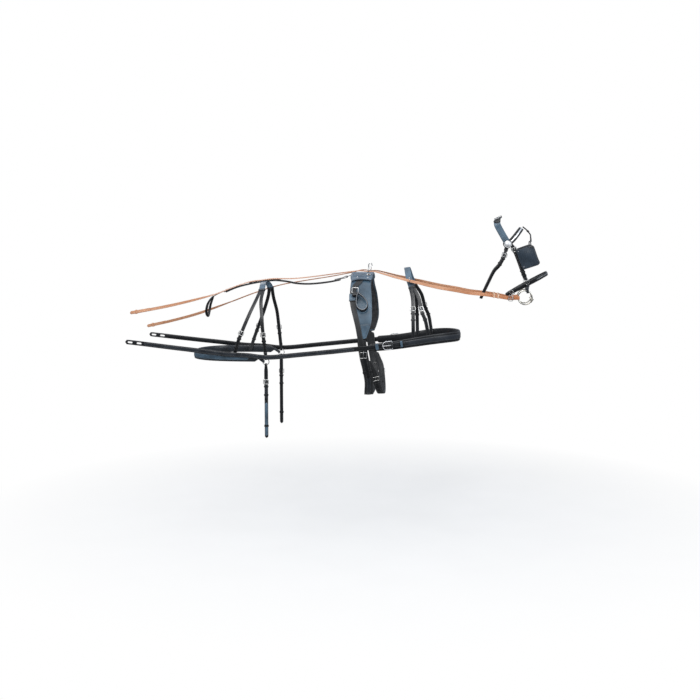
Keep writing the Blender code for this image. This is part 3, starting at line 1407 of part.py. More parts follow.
def tug_frame():
    """The near tug buckle: the middle of its top bar, downwards along the band, and outwards."""
    degrees = TUG_BUCKLE_DEGREES
    point, out = on_saddle(TUG_BUCKLE_SHARE, degrees, band_lift(degrees))
    low = on_saddle(TUG_BUCKLE_SHARE, degrees + 10, band_lift(degrees + 10))[0]
    down = (low - point).normalized()
    out = (out - down * out.dot(down)).normalized()
    under = STRAP_THICKNESS / 2 + WIRE_GAP + KEEPER_THICKNESS + 3 * LAYER_GAP
    rise = under + TUG_THICKNESS + WIRE_GAP + TUG_WIRE
    return point + out * rise, down, out


def add_tug_buckles():
    for tag, side in SIDES:
        bar, down, out = (flip(vector, side) for vector in tug_frame())
        points = rounded_frame(TUG_BUCKLE_LENGTH, TUG_BUCKLE_WIDTH, 2 * TUG_WIRE)
        mesh = wire_mesh("tug_buckle_" + tag, points, TUG_WIRE)
        made = add_object("tug_buckle_" + tag, mesh, METAL)
        made.matrix_world = to_world(bar, down, out)


def tug_hinge(side):
    bar, down, out = tug_frame()
    return flip(bar + down * TUG_BUCKLE_LENGTH, side), flip(down, side), flip(out, side)


def add_shaft_tugs():
    """The leather loop for the shaft, sewn to a tab that hangs on the tug buckle."""
    fold = fold_for(TUG_WIRE, TUG_THICKNESS)
    for tag, side in SIDES:
        hinge, down, out = tug_hinge(side)
        tab = []
        for i in range(FOLD_STEPS + 1):
            turn = math.pi * i / FOLD_STEPS
            place = hinge - down * fold * math.sin(turn) - out * fold * math.cos(turn)
            tab.append((place, -down * math.cos(turn) + out * math.sin(turn),
                        -out * math.cos(turn) - down * math.sin(turn)))
        lower = hinge + down * TUG_TAB_LENGTH
        tab = [(lower - out * fold, -down, -out)] + tab + [(lower + out * fold, down, out)]
        width_way = out.cross(down).normalized()
        rows = [[place - width_way * TUG_TAB_WIDTH / 2, place + width_way * TUG_TAB_WIDTH / 2] for place, _, _ in tab]
        hanger = add_web("shaft_tug_" + tag, [rows], TUG_THICKNESS, LEATHER)
        apex, foot = (flip(point, side) for point in tug_loop_line())
        axis = (foot - apex).normalized()
        across = Vector((1.0, 0.0, 0.0))
        across = (across - axis * across.dot(axis)).normalized()
        face = across.cross(axis).normalized()
        if face.dot(out) < 0:
            face.negate()
        length = (foot - apex).length
        loop_rows = []
        for i in range(TUG_LOOP_STEPS):
            turn = 2 * math.pi * i / TUG_LOOP_STEPS
            down_share = (1 - math.cos(turn)) / 2
            swell = math.sin(turn) * (0.35 + 0.65 * math.sin(math.pi / 2 * down_share)) * TUG_LOOP_WIDTH / 2
            place = apex + axis * length * down_share + across * swell
            loop_rows.append([place, place + face * TUG_LOOP_DEPTH])
        loop = add_web("tug_loop_" + tag, [loop_rows], TUG_LOOP_THICKNESS, LEATHER, closed=True)
        union(hanger, loop)
        hang_from(hanger, hinge)


def tug_loop_line():
    """Top and bottom of the near loop's inner edge, leaning on the saddle flap."""
    hinge, down, out = tug_hinge(1)
    top = hinge - out * (fold_for(TUG_WIRE, TUG_THICKNESS) + TUG_THICKNESS / 2)
    lean = 0.0
    for degrees in (44.0, 48.0, 52.0, 56.0, 60.0):
        for along in (-0.020, -0.008, 0.004, 0.016, 0.028):
            point = on_saddle(along, degrees, flap_lift(degrees) + FLAP_THICKNESS / 2 + 2 * LAYER_GAP)[0]
            lean = max(lean, (top.y - point.y) / (top.z - point.z))
    ends = []
    for along, height in (TUG_APEX_SHARES, TUG_FOOT_SHARES):
        height = height * BODY_DEPTH
        ends.append(Vector((along * BODY_LENGTH, top.y - lean * (top.z - height), height)))
    return ends


# Back strap, crupper and breeching
BACK_STRAP_SHARES = ((-0.137, -0.003), (-0.209, -0.022), (-0.262, -0.019))
BACK_STRAP_ON_SHARES = (-0.300, -0.345, -0.387, -0.440, -0.495, -0.545)
BACK_STRAP_LAP = 0.070


def add_back_strap():
    """From the saddle dee along the spine, over the hip strap, to the crupper."""
    bar, along, out = dee_place()
    far_bar = bar + along * DEE_LENGTH
    fold = fold_for(BUCKLE_WIRE, STRAP_THICKNESS)
    heading = (far_bar - side_view(BACK_STRAP_SHARES[0][0], 0.0, BACK_STRAP_SHARES[0][1])).normalized()
    face = Vector((-heading.z, 0.0, heading.x))
    if face.z < 0:
        face.negate()
    seat = far_bar - face * fold
    stations = [on_body(a, 0.0, LAYER_TWO) for a in BACK_STRAP_ON_SHARES][::-1]
    stations += [(side_view(a, 0.0, h), Vector((0, 0, 1))) for a, h in BACK_STRAP_SHARES][::-1]
    stations += [(seat, face)]
    frames = frames_of(smooth_route(stations))
    frames[-1] = (seat, heading, face)
    frames = turned_end(frames, fold, BACK_STRAP_LAP, STRAP_THICKNESS + LAYER_GAP, 2 * BUCKLE_WIRE)
    add_strap("back_strap", frames, BACK_STRAP_WIDTH, STRAP_THICKNESS, LEATHER)


CRUPPER_TAB_SHARES = (-0.520, -0.548, -0.570, -0.588)
DOCK_SHARES = (
    (-0.590, 0.020, -0.150), (-0.598, 0.062, -0.180), (-0.606, 0.080, -0.222), (-0.610, 0.078, -0.268),
    (-0.611, 0.054, -0.304), (-0.610, 0.0, -0.322),
)


def add_crupper():
    """A padded dock loop round the tail, on a strap that laps the back strap."""
    near = [(side_view(*shares), Vector((-1, 0, 0))) for shares in DOCK_SHARES]
    route = smooth_route(near + mirrored(near)[-2::-1], closed=True)
    points = [point for point, _ in route]
    top = max(point.z for point in points)
    low = min(point.z for point in points)
    radii = [1.0 - 0.45 * ((point.z - low) / (top - low)) ** 3 for point in points]
    dock = add_object("crupper", wire_mesh("crupper", points, DOCK_RADIUS, radii=radii), LEATHER)
    stations = [on_body(a, 0.0, LAYER_THREE) for a in CRUPPER_TAB_SHARES[:3]]
    end = side_view(*DOCK_SHARES[0])
    end.y = 0.0
    stations.append((end, Vector((-0.5, 0.0, 0.86))))
    tab = add_strap("crupper_tab", frames_of(smooth_route(stations)), BACK_STRAP_WIDTH, STRAP_THICKNESS, None)
    union(dock, tab)


HIP_SHARES = ((-0.388, 0.0), (-0.387, 10.0), (-0.384, 22.0), (-0.382, 33.0))
HIP_REAR_SHARES = ((-0.397, 47.0), (-0.419, 66.0), (-0.445, 85.0), (-0.462, 96.0), (-0.480, 113.0))
HIP_FRONT_SHARES = ((-0.378, 50.0), (-0.370, 70.0), (-0.366, 84.0), (-0.361, 97.0))
SEAT_HEIGHT_SHARE = -0.657
SEAT_FRONT_SHARE = -0.382
RING_SHARES = (-0.3545, 0.0, -0.688)
SEAT_SIDE_STEPS = 4
SEAT_REAR_STEPS = 7
SEAT_TAB_WIDTH = 0.015
SEAT_SLANT = 7.0


def seat_top():
    """The seat's upper edge, where the body under it is widest."""
    return SEAT_HEIGHT_SHARE * BODY_DEPTH + SEAT_HEIGHT / 2


def seat_ring_centre(side):
    """The breeching ring hangs just outside the front end of the seat."""
    centre = side_view(*RING_SHARES)
    centre.y = -(flank(SEAT_FRONT_SHARE, seat_top()) + SEAT_LIFT
                 + fold_for(SEAT_RING_WIRE, SEAT_THICKNESS))
    return flip(centre, side)


def seat_stations(lift):
    """The near half of the breeching seat, from the middle of the rump forwards."""
    start, tail = RUMP_SHARES
    height = SEAT_HEIGHT_SHARE * BODY_DEPTH
    places = []
    for i in range(SEAT_REAR_STEPS + 1):
        turn = math.pi / 2 * i / SEAT_REAR_STEPS
        along = start + (tail - start) * math.cos(turn) ** (2 / END_ROUNDNESS)
        widest = flank(start, seat_top())
        places.append(Vector((along * BODY_LENGTH, -widest * math.sin(turn) ** (2 / END_ROUNDNESS), height)))
    for i in range(1, SEAT_SIDE_STEPS + 1):
        along = start + (SEAT_FRONT_SHARE - start) * i / SEAT_SIDE_STEPS
        places.append(Vector((along * BODY_LENGTH, -flank(along, seat_top()), height)))
    stations = []
    for i, place in enumerate(places):
        ahead = places[min(i + 1, len(places) - 1)] - places[max(i - 1, 0)]
        if i == 0:
            ahead = Vector((0.0, -1.0, 0.0))
        out = Vector((ahead.y, -ahead.x, 0.0)).normalized()
        stations.append((place + out * lift, out))
    return stations


SEAT_LAP = 0.030


def add_breeching_seat():
    """The band round the quarters; each front end is turned round its ring."""
    fold = fold_for(SEAT_RING_WIRE, SEAT_THICKNESS)
    slack = slack_for(SEAT_RING_RADIUS, SEAT_TAB_WIDTH, SEAT_RING_WIRE, SEAT_SLANT)
    near = seat_stations(SEAT_LIFT)
    centre = seat_ring_centre(1)
    out = Vector((0.0, -1.0, 0.0))
    slope = math.radians(SEAT_SLANT)
    along = Vector((math.cos(slope), 0.0, -math.sin(slope)))
    seat = ring_seat(centre, SEAT_RING_RADIUS, along, out, fold, slack)
    near.append((seat, out))
    frames = frames_of(smooth_route(near))
    frames[-1] = (seat, along, out)
    near_frames = turned_end(frames, fold, SEAT_LAP, SEAT_THICKNESS + LAYER_GAP, open_for(slack, SEAT_RING_WIRE))
    far_frames = [(flip(p, -1), -flip(a, -1), flip(n, -1)) for p, a, n in near_frames[1:]][::-1]
    whole = far_frames + near_frames
    rows = rows_of(whole, SEAT_HEIGHT)
    narrow_rows(rows, whole)
    add_web("breeching_seat", [rows], SEAT_THICKNESS, LEATHER)


def narrow_rows(rows, frames):
    """Narrow the seat's ends to the tabs that hold the rings."""
    front = SEAT_FRONT_SHARE * BODY_LENGTH - SEAT_TAB_WIDTH
    front = front - SEAT_TAB_WIDTH / 4
    for i, (point, _, _) in enumerate(frames):
        if point.x > front:
            left, right = rows[i]
            middle = (left + right) / 2
            share = min(1.0, (point.x - front) / SEAT_TAB_WIDTH)
            width = SEAT_HEIGHT + (SEAT_TAB_WIDTH - SEAT_HEIGHT) * share
            rows[i] = [middle + (left - middle).normalized() * width / 2,
                       middle + (right - middle).normalized() * width / 2]


def add_seat_rings():
    for tag, side in SIDES:
        add_ring("breeching_ring_" + tag, seat_ring_centre(side), Vector((0, 1, 0)), SEAT_RING_RADIUS, SEAT_RING_WIRE)


RING_FOLD_WIDTH = 0.0145
HIP_LAP = 0.034


def hip_front_rows(stations, side):
    """The front branch: down the hip, its end turned round the top of the breeching ring."""
    fold = fold_for(SEAT_RING_WIRE, STRAP_THICKNESS)
    slack = slack_for(SEAT_RING_RADIUS, RING_FOLD_WIDTH, SEAT_RING_WIRE)
    centre = seat_ring_centre(side)
    out = Vector((0.0, -1.0 * side, 0.0))
    along = Vector((0.0, 0.0, -1.0))
    seat = ring_seat(centre, SEAT_RING_RADIUS, along, out, fold, slack)
    lead = seat - along * open_for(slack, SEAT_RING_WIRE)
    frames = frames_of(smooth_route(stations + [(lead, out), (seat, out)]))
    frames[-1] = (seat, along, out)
    frames = turned_end(frames, fold, HIP_LAP, STRAP_THICKNESS + LAYER_GAP, open_for(slack, SEAT_RING_WIRE))
    return tab_rows(frames, HIP_BRANCH_WIDTH, RING_FOLD_WIDTH, centre - along * SEAT_RING_RADIUS, 2 * fold)


def add_hip_strap():
    add_forked_band("hip_strap", HIP_SHARES, HIP_REAR_SHARES, HIP_FRONT_SHARES, HIP_STRAP_WIDTH, HIP_BRANCH_WIDTH,
                    hip_front_rows)


HOLDBACK_LENGTH = 0.436
HOLDBACK_LAP = 0.105


def add_holdbacks():
    """The strap that hangs from each breeching ring."""
    fold = fold_for(SEAT_RING_WIRE, STRAP_THICKNESS)
    slack = slack_for(SEAT_RING_RADIUS, RING_FOLD_WIDTH, SEAT_RING_WIRE)
    for tag, side in SIDES:
        centre = seat_ring_centre(side)
        out = Vector((0.0, side * 1.0, 0.0))
        along = Vector((0.0, 0.0, 1.0))
        seat = ring_seat(centre, SEAT_RING_RADIUS, along, -out, fold, slack)
        stations = [(seat - along * HOLDBACK_LENGTH * i / 8, -out) for i in range(8, -1, -1)]
        frames = frames_of(smooth_route(stations))
        frames = turned_end(frames, fold, HOLDBACK_LAP, STRAP_THICKNESS + LAYER_GAP,
                            open_for(slack, SEAT_RING_WIRE))
        wire = centre - along * SEAT_RING_RADIUS
        rows = tab_rows(frames, HOLDBACK_WIDTH, RING_FOLD_WIDTH, wire, 2 * fold)
        strap = add_web("holdback_strap_" + tag, [rows], STRAP_THICKNESS, LEATHER)
        hang_from(strap, centre)


def build():
    add_headpiece()
    add_browband()
    add_rosettes()
    add_cheekpieces()
    add_bit_straps()
    add_noseband()
    add_throatlash()
    add_blinkers()
    add_winker_stay()
    add_bit()
    add_reins()
    add_forked_band("neck_strap", NECK_SHARES, NECK_REAR_SHARES, NECK_FRONT_SHARES, NECK_STRAP_WIDTH,
                    NECK_BRANCH_WIDTH)
    add_breast_collar()
    add_neck_rings()
    add_traces()
    add_trace_buckles()
    add_saddle_pads()
    add_saddle_flaps()
    add_saddle_tree()
    add_terrets()
    add_rein_hook()
    add_saddle_dee()
    add_back_band()
    add_girth()
    add_belly_band()
    add_girth_buckles()
    add_tug_keepers()
    add_tug_buckles()
    add_shaft_tugs()
    add_back_strap()
    add_crupper()
    add_hip_strap()
    add_breeching_seat()
    add_seat_rings()
    add_holdbacks()


build()
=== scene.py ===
"""The looks of the driving harness: finer straps, stitched leather, bright metal and the
photograph's camera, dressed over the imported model. Metres, +Z up, -Y is the near side.
"""

import math

import bmesh
import bpy
from mathutils import Matrix, Vector, noise


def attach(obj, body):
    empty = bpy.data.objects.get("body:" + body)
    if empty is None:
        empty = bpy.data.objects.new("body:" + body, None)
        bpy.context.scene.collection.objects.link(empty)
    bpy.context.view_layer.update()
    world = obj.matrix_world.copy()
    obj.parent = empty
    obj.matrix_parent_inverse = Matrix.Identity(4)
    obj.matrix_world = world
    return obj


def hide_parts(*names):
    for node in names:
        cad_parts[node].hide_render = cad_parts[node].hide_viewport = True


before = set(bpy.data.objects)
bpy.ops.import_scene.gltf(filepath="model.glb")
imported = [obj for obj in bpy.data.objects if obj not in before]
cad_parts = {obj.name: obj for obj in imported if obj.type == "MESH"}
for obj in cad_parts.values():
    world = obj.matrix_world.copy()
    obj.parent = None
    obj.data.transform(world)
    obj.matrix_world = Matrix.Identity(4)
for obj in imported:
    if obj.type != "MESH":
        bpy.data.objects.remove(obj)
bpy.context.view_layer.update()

# Sizes shared with the part
BODY_LENGTH = 1.58
BODY_DEPTH = 0.67
BARREL_WIDTH = 0.536
HIP_WIDTH = 0.524
CHEST_WIDTH = 0.430
HEAD_LENGTH = 0.58
HEAD_DEPTH = 0.35
HEAD_WIDTH = 0.184
STRAP_THICKNESS = 0.004
TRACE_THICKNESS = 0.005
COLLAR_THICKNESS = 0.009
SEAT_THICKNESS = 0.005
REIN_THICKNESS = 0.003
SKIN_GAP = 0.001
LAYER_GAP = 0.0009
WIRE_GAP = 0.0006
HEADPIECE_WIDTH = 0.037
BROWBAND_WIDTH = 0.028
CHEEK_WIDTH = 0.020
NOSEBAND_WIDTH = 0.025
CURB_WIDTH = 0.019
BIT_STRAP_WIDTH = 0.0145
THROATLASH_WIDTH = 0.017
REIN_WIDTH = 0.020
NECK_STRAP_WIDTH = 0.036
NECK_BRANCH_WIDTH = 0.021
COLLAR_HEIGHT = 0.058
COLLAR_END_HEIGHT = 0.043
TRACE_WIDTH = 0.028
BACK_BAND_WIDTH = 0.031
GIRTH_WIDTH = 0.052
BELLY_BAND_WIDTH = 0.038
BACK_STRAP_WIDTH = 0.025
HIP_STRAP_WIDTH = 0.037
HIP_BRANCH_WIDTH = 0.021
SEAT_HEIGHT = 0.045
HOLDBACK_WIDTH = 0.0215
BIT_RING_RADIUS = 0.0405
BIT_WIRE = 0.0035
MOUTHPIECE_RADIUS = 0.0065
EYE_RADIUS = 0.0085
EYE_WIRE = 0.0030
SEAT_RING_RADIUS = 0.0185
SEAT_RING_WIRE = 0.0023
NECK_RING_RADIUS = 0.0165
NECK_RING_WIRE = 0.0018
TERRET_RADIUS = 0.0165
TERRET_WIRE = 0.0024
TERRET_STEM = 0.007
TERRET_FOOT_RADIUS = 0.012
TERRET_FOOT_HEIGHT = 0.004
BUCKLE_WIRE = 0.0020
TRACE_BUCKLE_LENGTH = 0.056
TRACE_BUCKLE_HEIGHT = 0.046
GIRTH_BUCKLE_LENGTH = 0.034
REIN_BUCKLE_LENGTH = 0.024
TUG_BUCKLE_LENGTH = 0.034
TUG_BUCKLE_WIDTH = 0.036
TUG_WIRE = 0.0025
ROSETTE_RADIUS = 0.024
ROSETTE_DOME = 0.009
HOOK_WIRE = 0.003
HOOK_HEIGHT = 0.062
PAD_TOP_THICKNESS = 0.015
PAD_TIP_THICKNESS = 0.009
TREE_THICKNESS = 0.009
FLAP_THICKNESS = 0.004
TUG_LOOP_DEPTH = 0.030
TUG_LOOP_THICKNESS = 0.006
DOCK_RADIUS = 0.0115
TOP_LINE_SHARES = (
    (-0.652, -0.448), (-0.608, -0.224), (-0.582, -0.161), (-0.543, -0.115),
    (-0.484, -0.060), (-0.387, -0.013), (-0.316, -0.007), (-0.253, -0.045),
    (-0.158, -0.048), (-0.063, -0.036), (0.0, 0.0), (0.054, 0.054),
    (0.098, 0.107), (0.136, 0.112), (0.173, 0.128), (0.228, 0.207),
    (0.282, 0.284), (0.348, 0.373),
)
BELLY_LINE_SHARES = (
    (-0.652, -0.90), (-0.608, -0.925), (-0.484, -0.925), (-0.387, -0.895),
    (-0.316, -0.873), (-0.253, -0.910), (-0.158, -0.978), (-0.063, -1.015),
    (0.0, -1.003), (0.098, -0.993), (0.173, -0.955), (0.228, -0.903),
    (0.282, -0.791), (0.348, -0.597),
)
HALF_WIDTH_SHARES = (
    (-0.456, 0.489), (-0.380, 0.489), (-0.316, 0.489), (-0.253, 0.496),
    (-0.158, 0.511), (-0.063, 0.5), (0.0, 0.470), (0.054, 0.444),
    (0.098, 0.425), (0.158, 0.401),
)
TOP_ROUNDNESS = (
    (-0.652, 2.0), (-0.380, 2.0), (-0.190, 2.1), (-0.063, 2.0), (0.0, 1.8),
    (0.054, 1.65), (0.098, 1.5), (0.136, 1.45), (0.190, 1.5), (0.348, 1.6),
)
LOWER_ROUNDNESS = 2.3
END_ROUNDNESS = 2.4
RUMP_SHARES = (-0.456, -0.652)
CHEST_SHARES = (0.158, 0.347)
HEAD_SHARES = (
    (-0.09, 0.09, -0.29, 0.27), (0.0, 0.09, -0.31, 0.34), (0.12, 0.15, -0.46, 0.40),
    (0.20, 0.22, -0.57, 0.445), (0.33, 0.296, -0.69, 0.489), (0.50, 0.281, -0.714, 0.50),
    (0.59, 0.263, -0.61, 0.462), (0.67, 0.24, -0.514, 0.391), (0.81, 0.211, -0.43, 0.326),
    (0.97, 0.14, -0.337, 0.293),
)
HEAD_ROUNDNESS = 2.6
POLL_SHARES = (0.506, 0.537)
HEAD_SLOPE = math.radians(61.5)

STEP_LENGTH = 0.010
FOLD_STEPS = 12


# Shape of the body and the head
def clamped(value):
    return min(1.0, max(0.0, value))


def eased(value):
    """A soft start and a soft end between 0 and 1."""
    value = clamped(value)
    return value * value * (3 - 2 * value)


def around(items, i, closed=False):
    """The items before and after one, round the loop or stopped at the ends."""
    last = len(items) - 1
    if closed:
        return items[i - 1], items[(i + 1) % (last + 1)]
    return items[max(i - 1, 0)], items[min(i + 1, last)]


def lengths_along(points):
    """How far each point lies along the line through them all."""
    lengths = [0.0]
    for a, b in zip(points, points[1:]):
        lengths.append(lengths[-1] + (b - a).length)
    return lengths


def share_at(table, along, column=1):
    """Read a table of shares as one smooth curve."""
    last = len(table) - 1
    if along <= table[0][0]:
        return table[0][column]
    if along >= table[last][0]:
        return table[last][column]
    low = max(i for i in range(last) if table[i][0] <= along)

    def slope(i):
        before, after = around(table, i)
        return (after[column] - before[column]) / (after[0] - before[0])

    span = table[low + 1][0] - table[low][0]
    t = (along - table[low][0]) / span
    start, end = table[low][column], table[low + 1][column]
    return (
        (2 * t**3 - 3 * t**2 + 1) * start
        + (t**3 - 2 * t**2 + t) * span * slope(low)
        + (3 * t**2 - 2 * t**3) * end
        + (t**3 - t**2) * span * slope(low + 1)
    )


def signed_power(value, power):
    return math.copysign(abs(value) ** power, value)


def rounded_end(along, ends):
    """How much of the width is left towards the rump or the chest."""
    t = min(1.0, (along - ends[0]) / (ends[1] - ends[0]))
    return max(0.0, 1.0 - t**END_ROUNDNESS) ** (1.0 / END_ROUNDNESS)


def half_width(along):
    if along < RUMP_SHARES[0]:
        return HIP_WIDTH / 2 * rounded_end(along, RUMP_SHARES)
    if along > CHEST_SHARES[0]:
        return CHEST_WIDTH / 2 * rounded_end(along, CHEST_SHARES)
    return BARREL_WIDTH * share_at(HALF_WIDTH_SHARES, along)


def body_place(along, degrees):
    """A point of the body; degrees run from the spine down the right-hand side."""
    turn = math.radians(degrees)
    top = BODY_DEPTH * share_at(TOP_LINE_SHARES, along)
    bottom = BODY_DEPTH * share_at(BELLY_LINE_SHARES, along)
    power = share_at(TOP_ROUNDNESS, along) if abs(degrees) < 90 else LOWER_ROUNDNESS
    height = (top + bottom) / 2 + (top - bottom) / 2 * signed_power(math.cos(turn), 2 / power)
    reach = half_width(along) * signed_power(math.sin(turn), 2 / power)
    return Vector((along * BODY_LENGTH, -reach, height))


HEAD_DOWN = Vector((math.cos(HEAD_SLOPE), 0.0, -math.sin(HEAD_SLOPE)))
HEAD_FRONT = Vector((math.sin(HEAD_SLOPE), 0.0, math.cos(HEAD_SLOPE)))
POLL = Vector((POLL_SHARES[0] * BODY_LENGTH, 0.0, POLL_SHARES[1] * BODY_DEPTH))


def head_place(down, degrees):
    """A point of the head; degrees run from the forehead round the right-hand side."""
    turn = math.radians(degrees)
    front = HEAD_DEPTH * share_at(HEAD_SHARES, down, 1)
    back = HEAD_DEPTH * share_at(HEAD_SHARES, down, 2)
    width = HEAD_WIDTH * share_at(HEAD_SHARES, down, 3)
    forward = (front + back) / 2 + (front - back) / 2 * signed_power(math.cos(turn), 2 / HEAD_ROUNDNESS)
    reach = width * signed_power(math.sin(turn), 2 / HEAD_ROUNDNESS)
    return POLL + HEAD_DOWN * down * HEAD_LENGTH + HEAD_FRONT * forward + Vector((0.0, -reach, 0.0))


ALONG_STEP_SHARE = 0.004
DEGREE_STEP = 2.0
LEVEL_SHARE = 0.026
RISE_DEGREES = (16.0, 50.0)


def station(form, along, degrees, lift):
    """A point lifted off the body or the head, with the direction that faces out."""
    point = form(along, degrees)
    round_way = form(along, degrees + DEGREE_STEP) - form(along, degrees - DEGREE_STEP)
    long_way = form(along + ALONG_STEP_SHARE, degrees) - form(along - ALONG_STEP_SHARE, degrees)
    out = long_way.cross(round_way).normalized()
    middle = Vector((point.x, 0.0, form(along, 90.0).z))
    if form is head_place:
        middle = (form(along, 0.0) + form(along, 180.0)) / 2
    if out.dot(point - middle) < 0:
        out.negate()
    return point + out * lift, out


def on_body(along, degrees, lift):
    return station(body_place, along, degrees, lift)


def on_head(down, degrees, lift):
    return station(head_place, down, degrees, lift)


def saddle_rise(along, degrees):
    """How far the saddle's seat is held up to sit level on the sloping back."""
    raised = BODY_DEPTH * max(0.0, LEVEL_SHARE - share_at(TOP_LINE_SHARES, along))
    return raised * eased((RISE_DEGREES[1] - abs(degrees)) / (RISE_DEGREES[1] - RISE_DEGREES[0]))


def on_saddle(along, degrees, lift):
    """A station of the saddle: lifted square to the cross-section, and levelled."""
    point = body_place(along, degrees)
    round_way = body_place(along, degrees + DEGREE_STEP) - body_place(along, degrees - DEGREE_STEP)
    out = Vector((0.0, round_way.z, -round_way.y)).normalized()
    return point + out * lift + Vector((0.0, 0.0, saddle_rise(along, degrees))), out


def across_saddle(along, degrees, lift):
    """A station of the saddle that faces square out of its sloping surface."""
    point, out = on_saddle(along, degrees, lift)
    half = DEGREE_STEP / 2
    round_way = on_saddle(along, degrees + half, lift)[0] - on_saddle(along, degrees - half, lift)[0]
    step = ALONG_STEP_SHARE
    long_way = on_saddle(along + step, degrees, lift)[0] - on_saddle(along - step, degrees, lift)[0]
    face = long_way.cross(round_way).normalized()
    if face.dot(out) < 0:
        face.negate()
    return point, face


def side_view(along, out, height):
    """A point from shares of the body's length, width and depth."""
    return Vector((along * BODY_LENGTH, -out * BARREL_WIDTH, height * BODY_DEPTH))


def mirrored(stations):
    return [(Vector((p.x, -p.y, p.z)), Vector((n.x, -n.y, n.z))) for p, n in stations]


# Straps
def smooth_route(stations, closed=False, step=STEP_LENGTH):
    """Pass one smooth curve through the stations and cut it into short steps."""
    count = len(stations)
    route = []
    for i in range(count if closed else count - 1):
        picks = [i - 1, i, i + 1, i + 2]
        if closed:
            picks = [pick % count for pick in picks]
        else:
            picks = [min(max(pick, 0), count - 1) for pick in picks]
        (p0, _), (p1, n1), (p2, n2), (p3, _) = (stations[pick] for pick in picks)
        cuts = max(1, round((p2 - p1).length / step))
        for cut in range(cuts):
            t = cut / cuts
            point = 0.5 * (
                2 * p1 + (p2 - p0) * t
                + (2 * p0 - 5 * p1 + 4 * p2 - p3) * t**2
                + (3 * p1 - p0 - 3 * p2 + p3) * t**3
            )
            route.append((point, n1.lerp(n2, t).normalized()))
    if not closed:
        route.append(stations[-1])
    return route


def frames_of(route, closed=False):
    """Add the direction of travel to each point of a route."""
    frames = []
    for i, (point, normal) in enumerate(route):
        before, after = around(route, i, closed)
        along = (after[0] - before[0]).normalized()
        out = (normal - along * normal.dot(along)).normalized()
        frames.append((point, along, out))
    return frames


def turned_end(frames, fold_radius, lap_length, lap_rise, open_length):
    """Fold the strap's end outwards round a wire and lay it back on itself past the wire."""
    point, along, out = frames[-1]
    pivot = point + out * fold_radius
    folded = list(frames)
    for step in range(1, FOLD_STEPS + 1):
        turn = math.pi * step / FOLD_STEPS
        place = pivot + along * fold_radius * math.sin(turn) - out * fold_radius * math.cos(turn)
        heading = along * math.cos(turn) + out * math.sin(turn)
        folded.append((place, heading, out * math.cos(turn) - along * math.sin(turn)))
    travelled = 0.0
    ease = 4 * fold_radius
    for i in range(len(frames) - 1, 0, -1):
        here, there = frames[i][0], frames[i - 1][0]
        length = (there - here).length
        cuts = max(1, math.ceil(length / (2 * fold_radius)))
        for cut in range(1, cuts + 1):
            t = cut / cuts
            way = travelled + length * t
            normal = frames[i][2].lerp(frames[i - 1][2], t).normalized()
            rise = lap_rise + (2 * fold_radius - lap_rise) * (1 - eased((way - open_length) / ease))
            folded.append((here.lerp(there, t) + normal * rise, (there - here).normalized(), -normal))
            if way >= lap_length:
                return folded
        travelled += length
    return folded


def rows_of(frames, width):
    """Left and right edge of a strap; width is a number or a function of the share along it."""
    lengths = lengths_along([point for point, _, _ in frames])
    rows = []
    for (point, along, out), length in zip(frames, lengths):
        here = width(length / lengths[-1]) if callable(width) else width
        side = out.cross(along).normalized() * here / 2
        rows.append([point - side, point + side])
    return rows


def tapered(width, start, end, reach):
    """A width that narrows towards the strap's ends."""

    def at(share):
        near_start = min(1.0, share / reach)
        near_end = min(1.0, (1.0 - share) / reach)
        return width * (start + (1 - start) * near_start) * (end + (1 - end) * near_end)

    return at


def to_world(point, along, out):
    """The frame of a buckle: X along the strap, Y across it, Z outwards."""
    side = out.cross(along).normalized()
    turn = Matrix((along, side, out)).transposed().to_4x4()
    return Matrix.Translation(point) @ turn


SIDES = (("R", 1), ("L", -1))


def flip(vector, side):
    """A near-side vector as it is, or carried to the far side when side is -1."""
    return Vector((vector.x, vector.y * side, vector.z))


def sided(stations, side):
    return stations if side == 1 else mirrored(stations)


LAYER_ONE = SKIN_GAP + STRAP_THICKNESS / 2
LAYER_TWO = LAYER_ONE + STRAP_THICKNESS + LAYER_GAP
LAYER_THREE = LAYER_TWO + STRAP_THICKNESS + LAYER_GAP
COLLAR_LIFT = SKIN_GAP + STRAP_THICKNESS + WIRE_GAP + COLLAR_THICKNESS / 2
SEAT_LIFT = SKIN_GAP + STRAP_THICKNESS + WIRE_GAP / 2 + SEAT_THICKNESS / 2


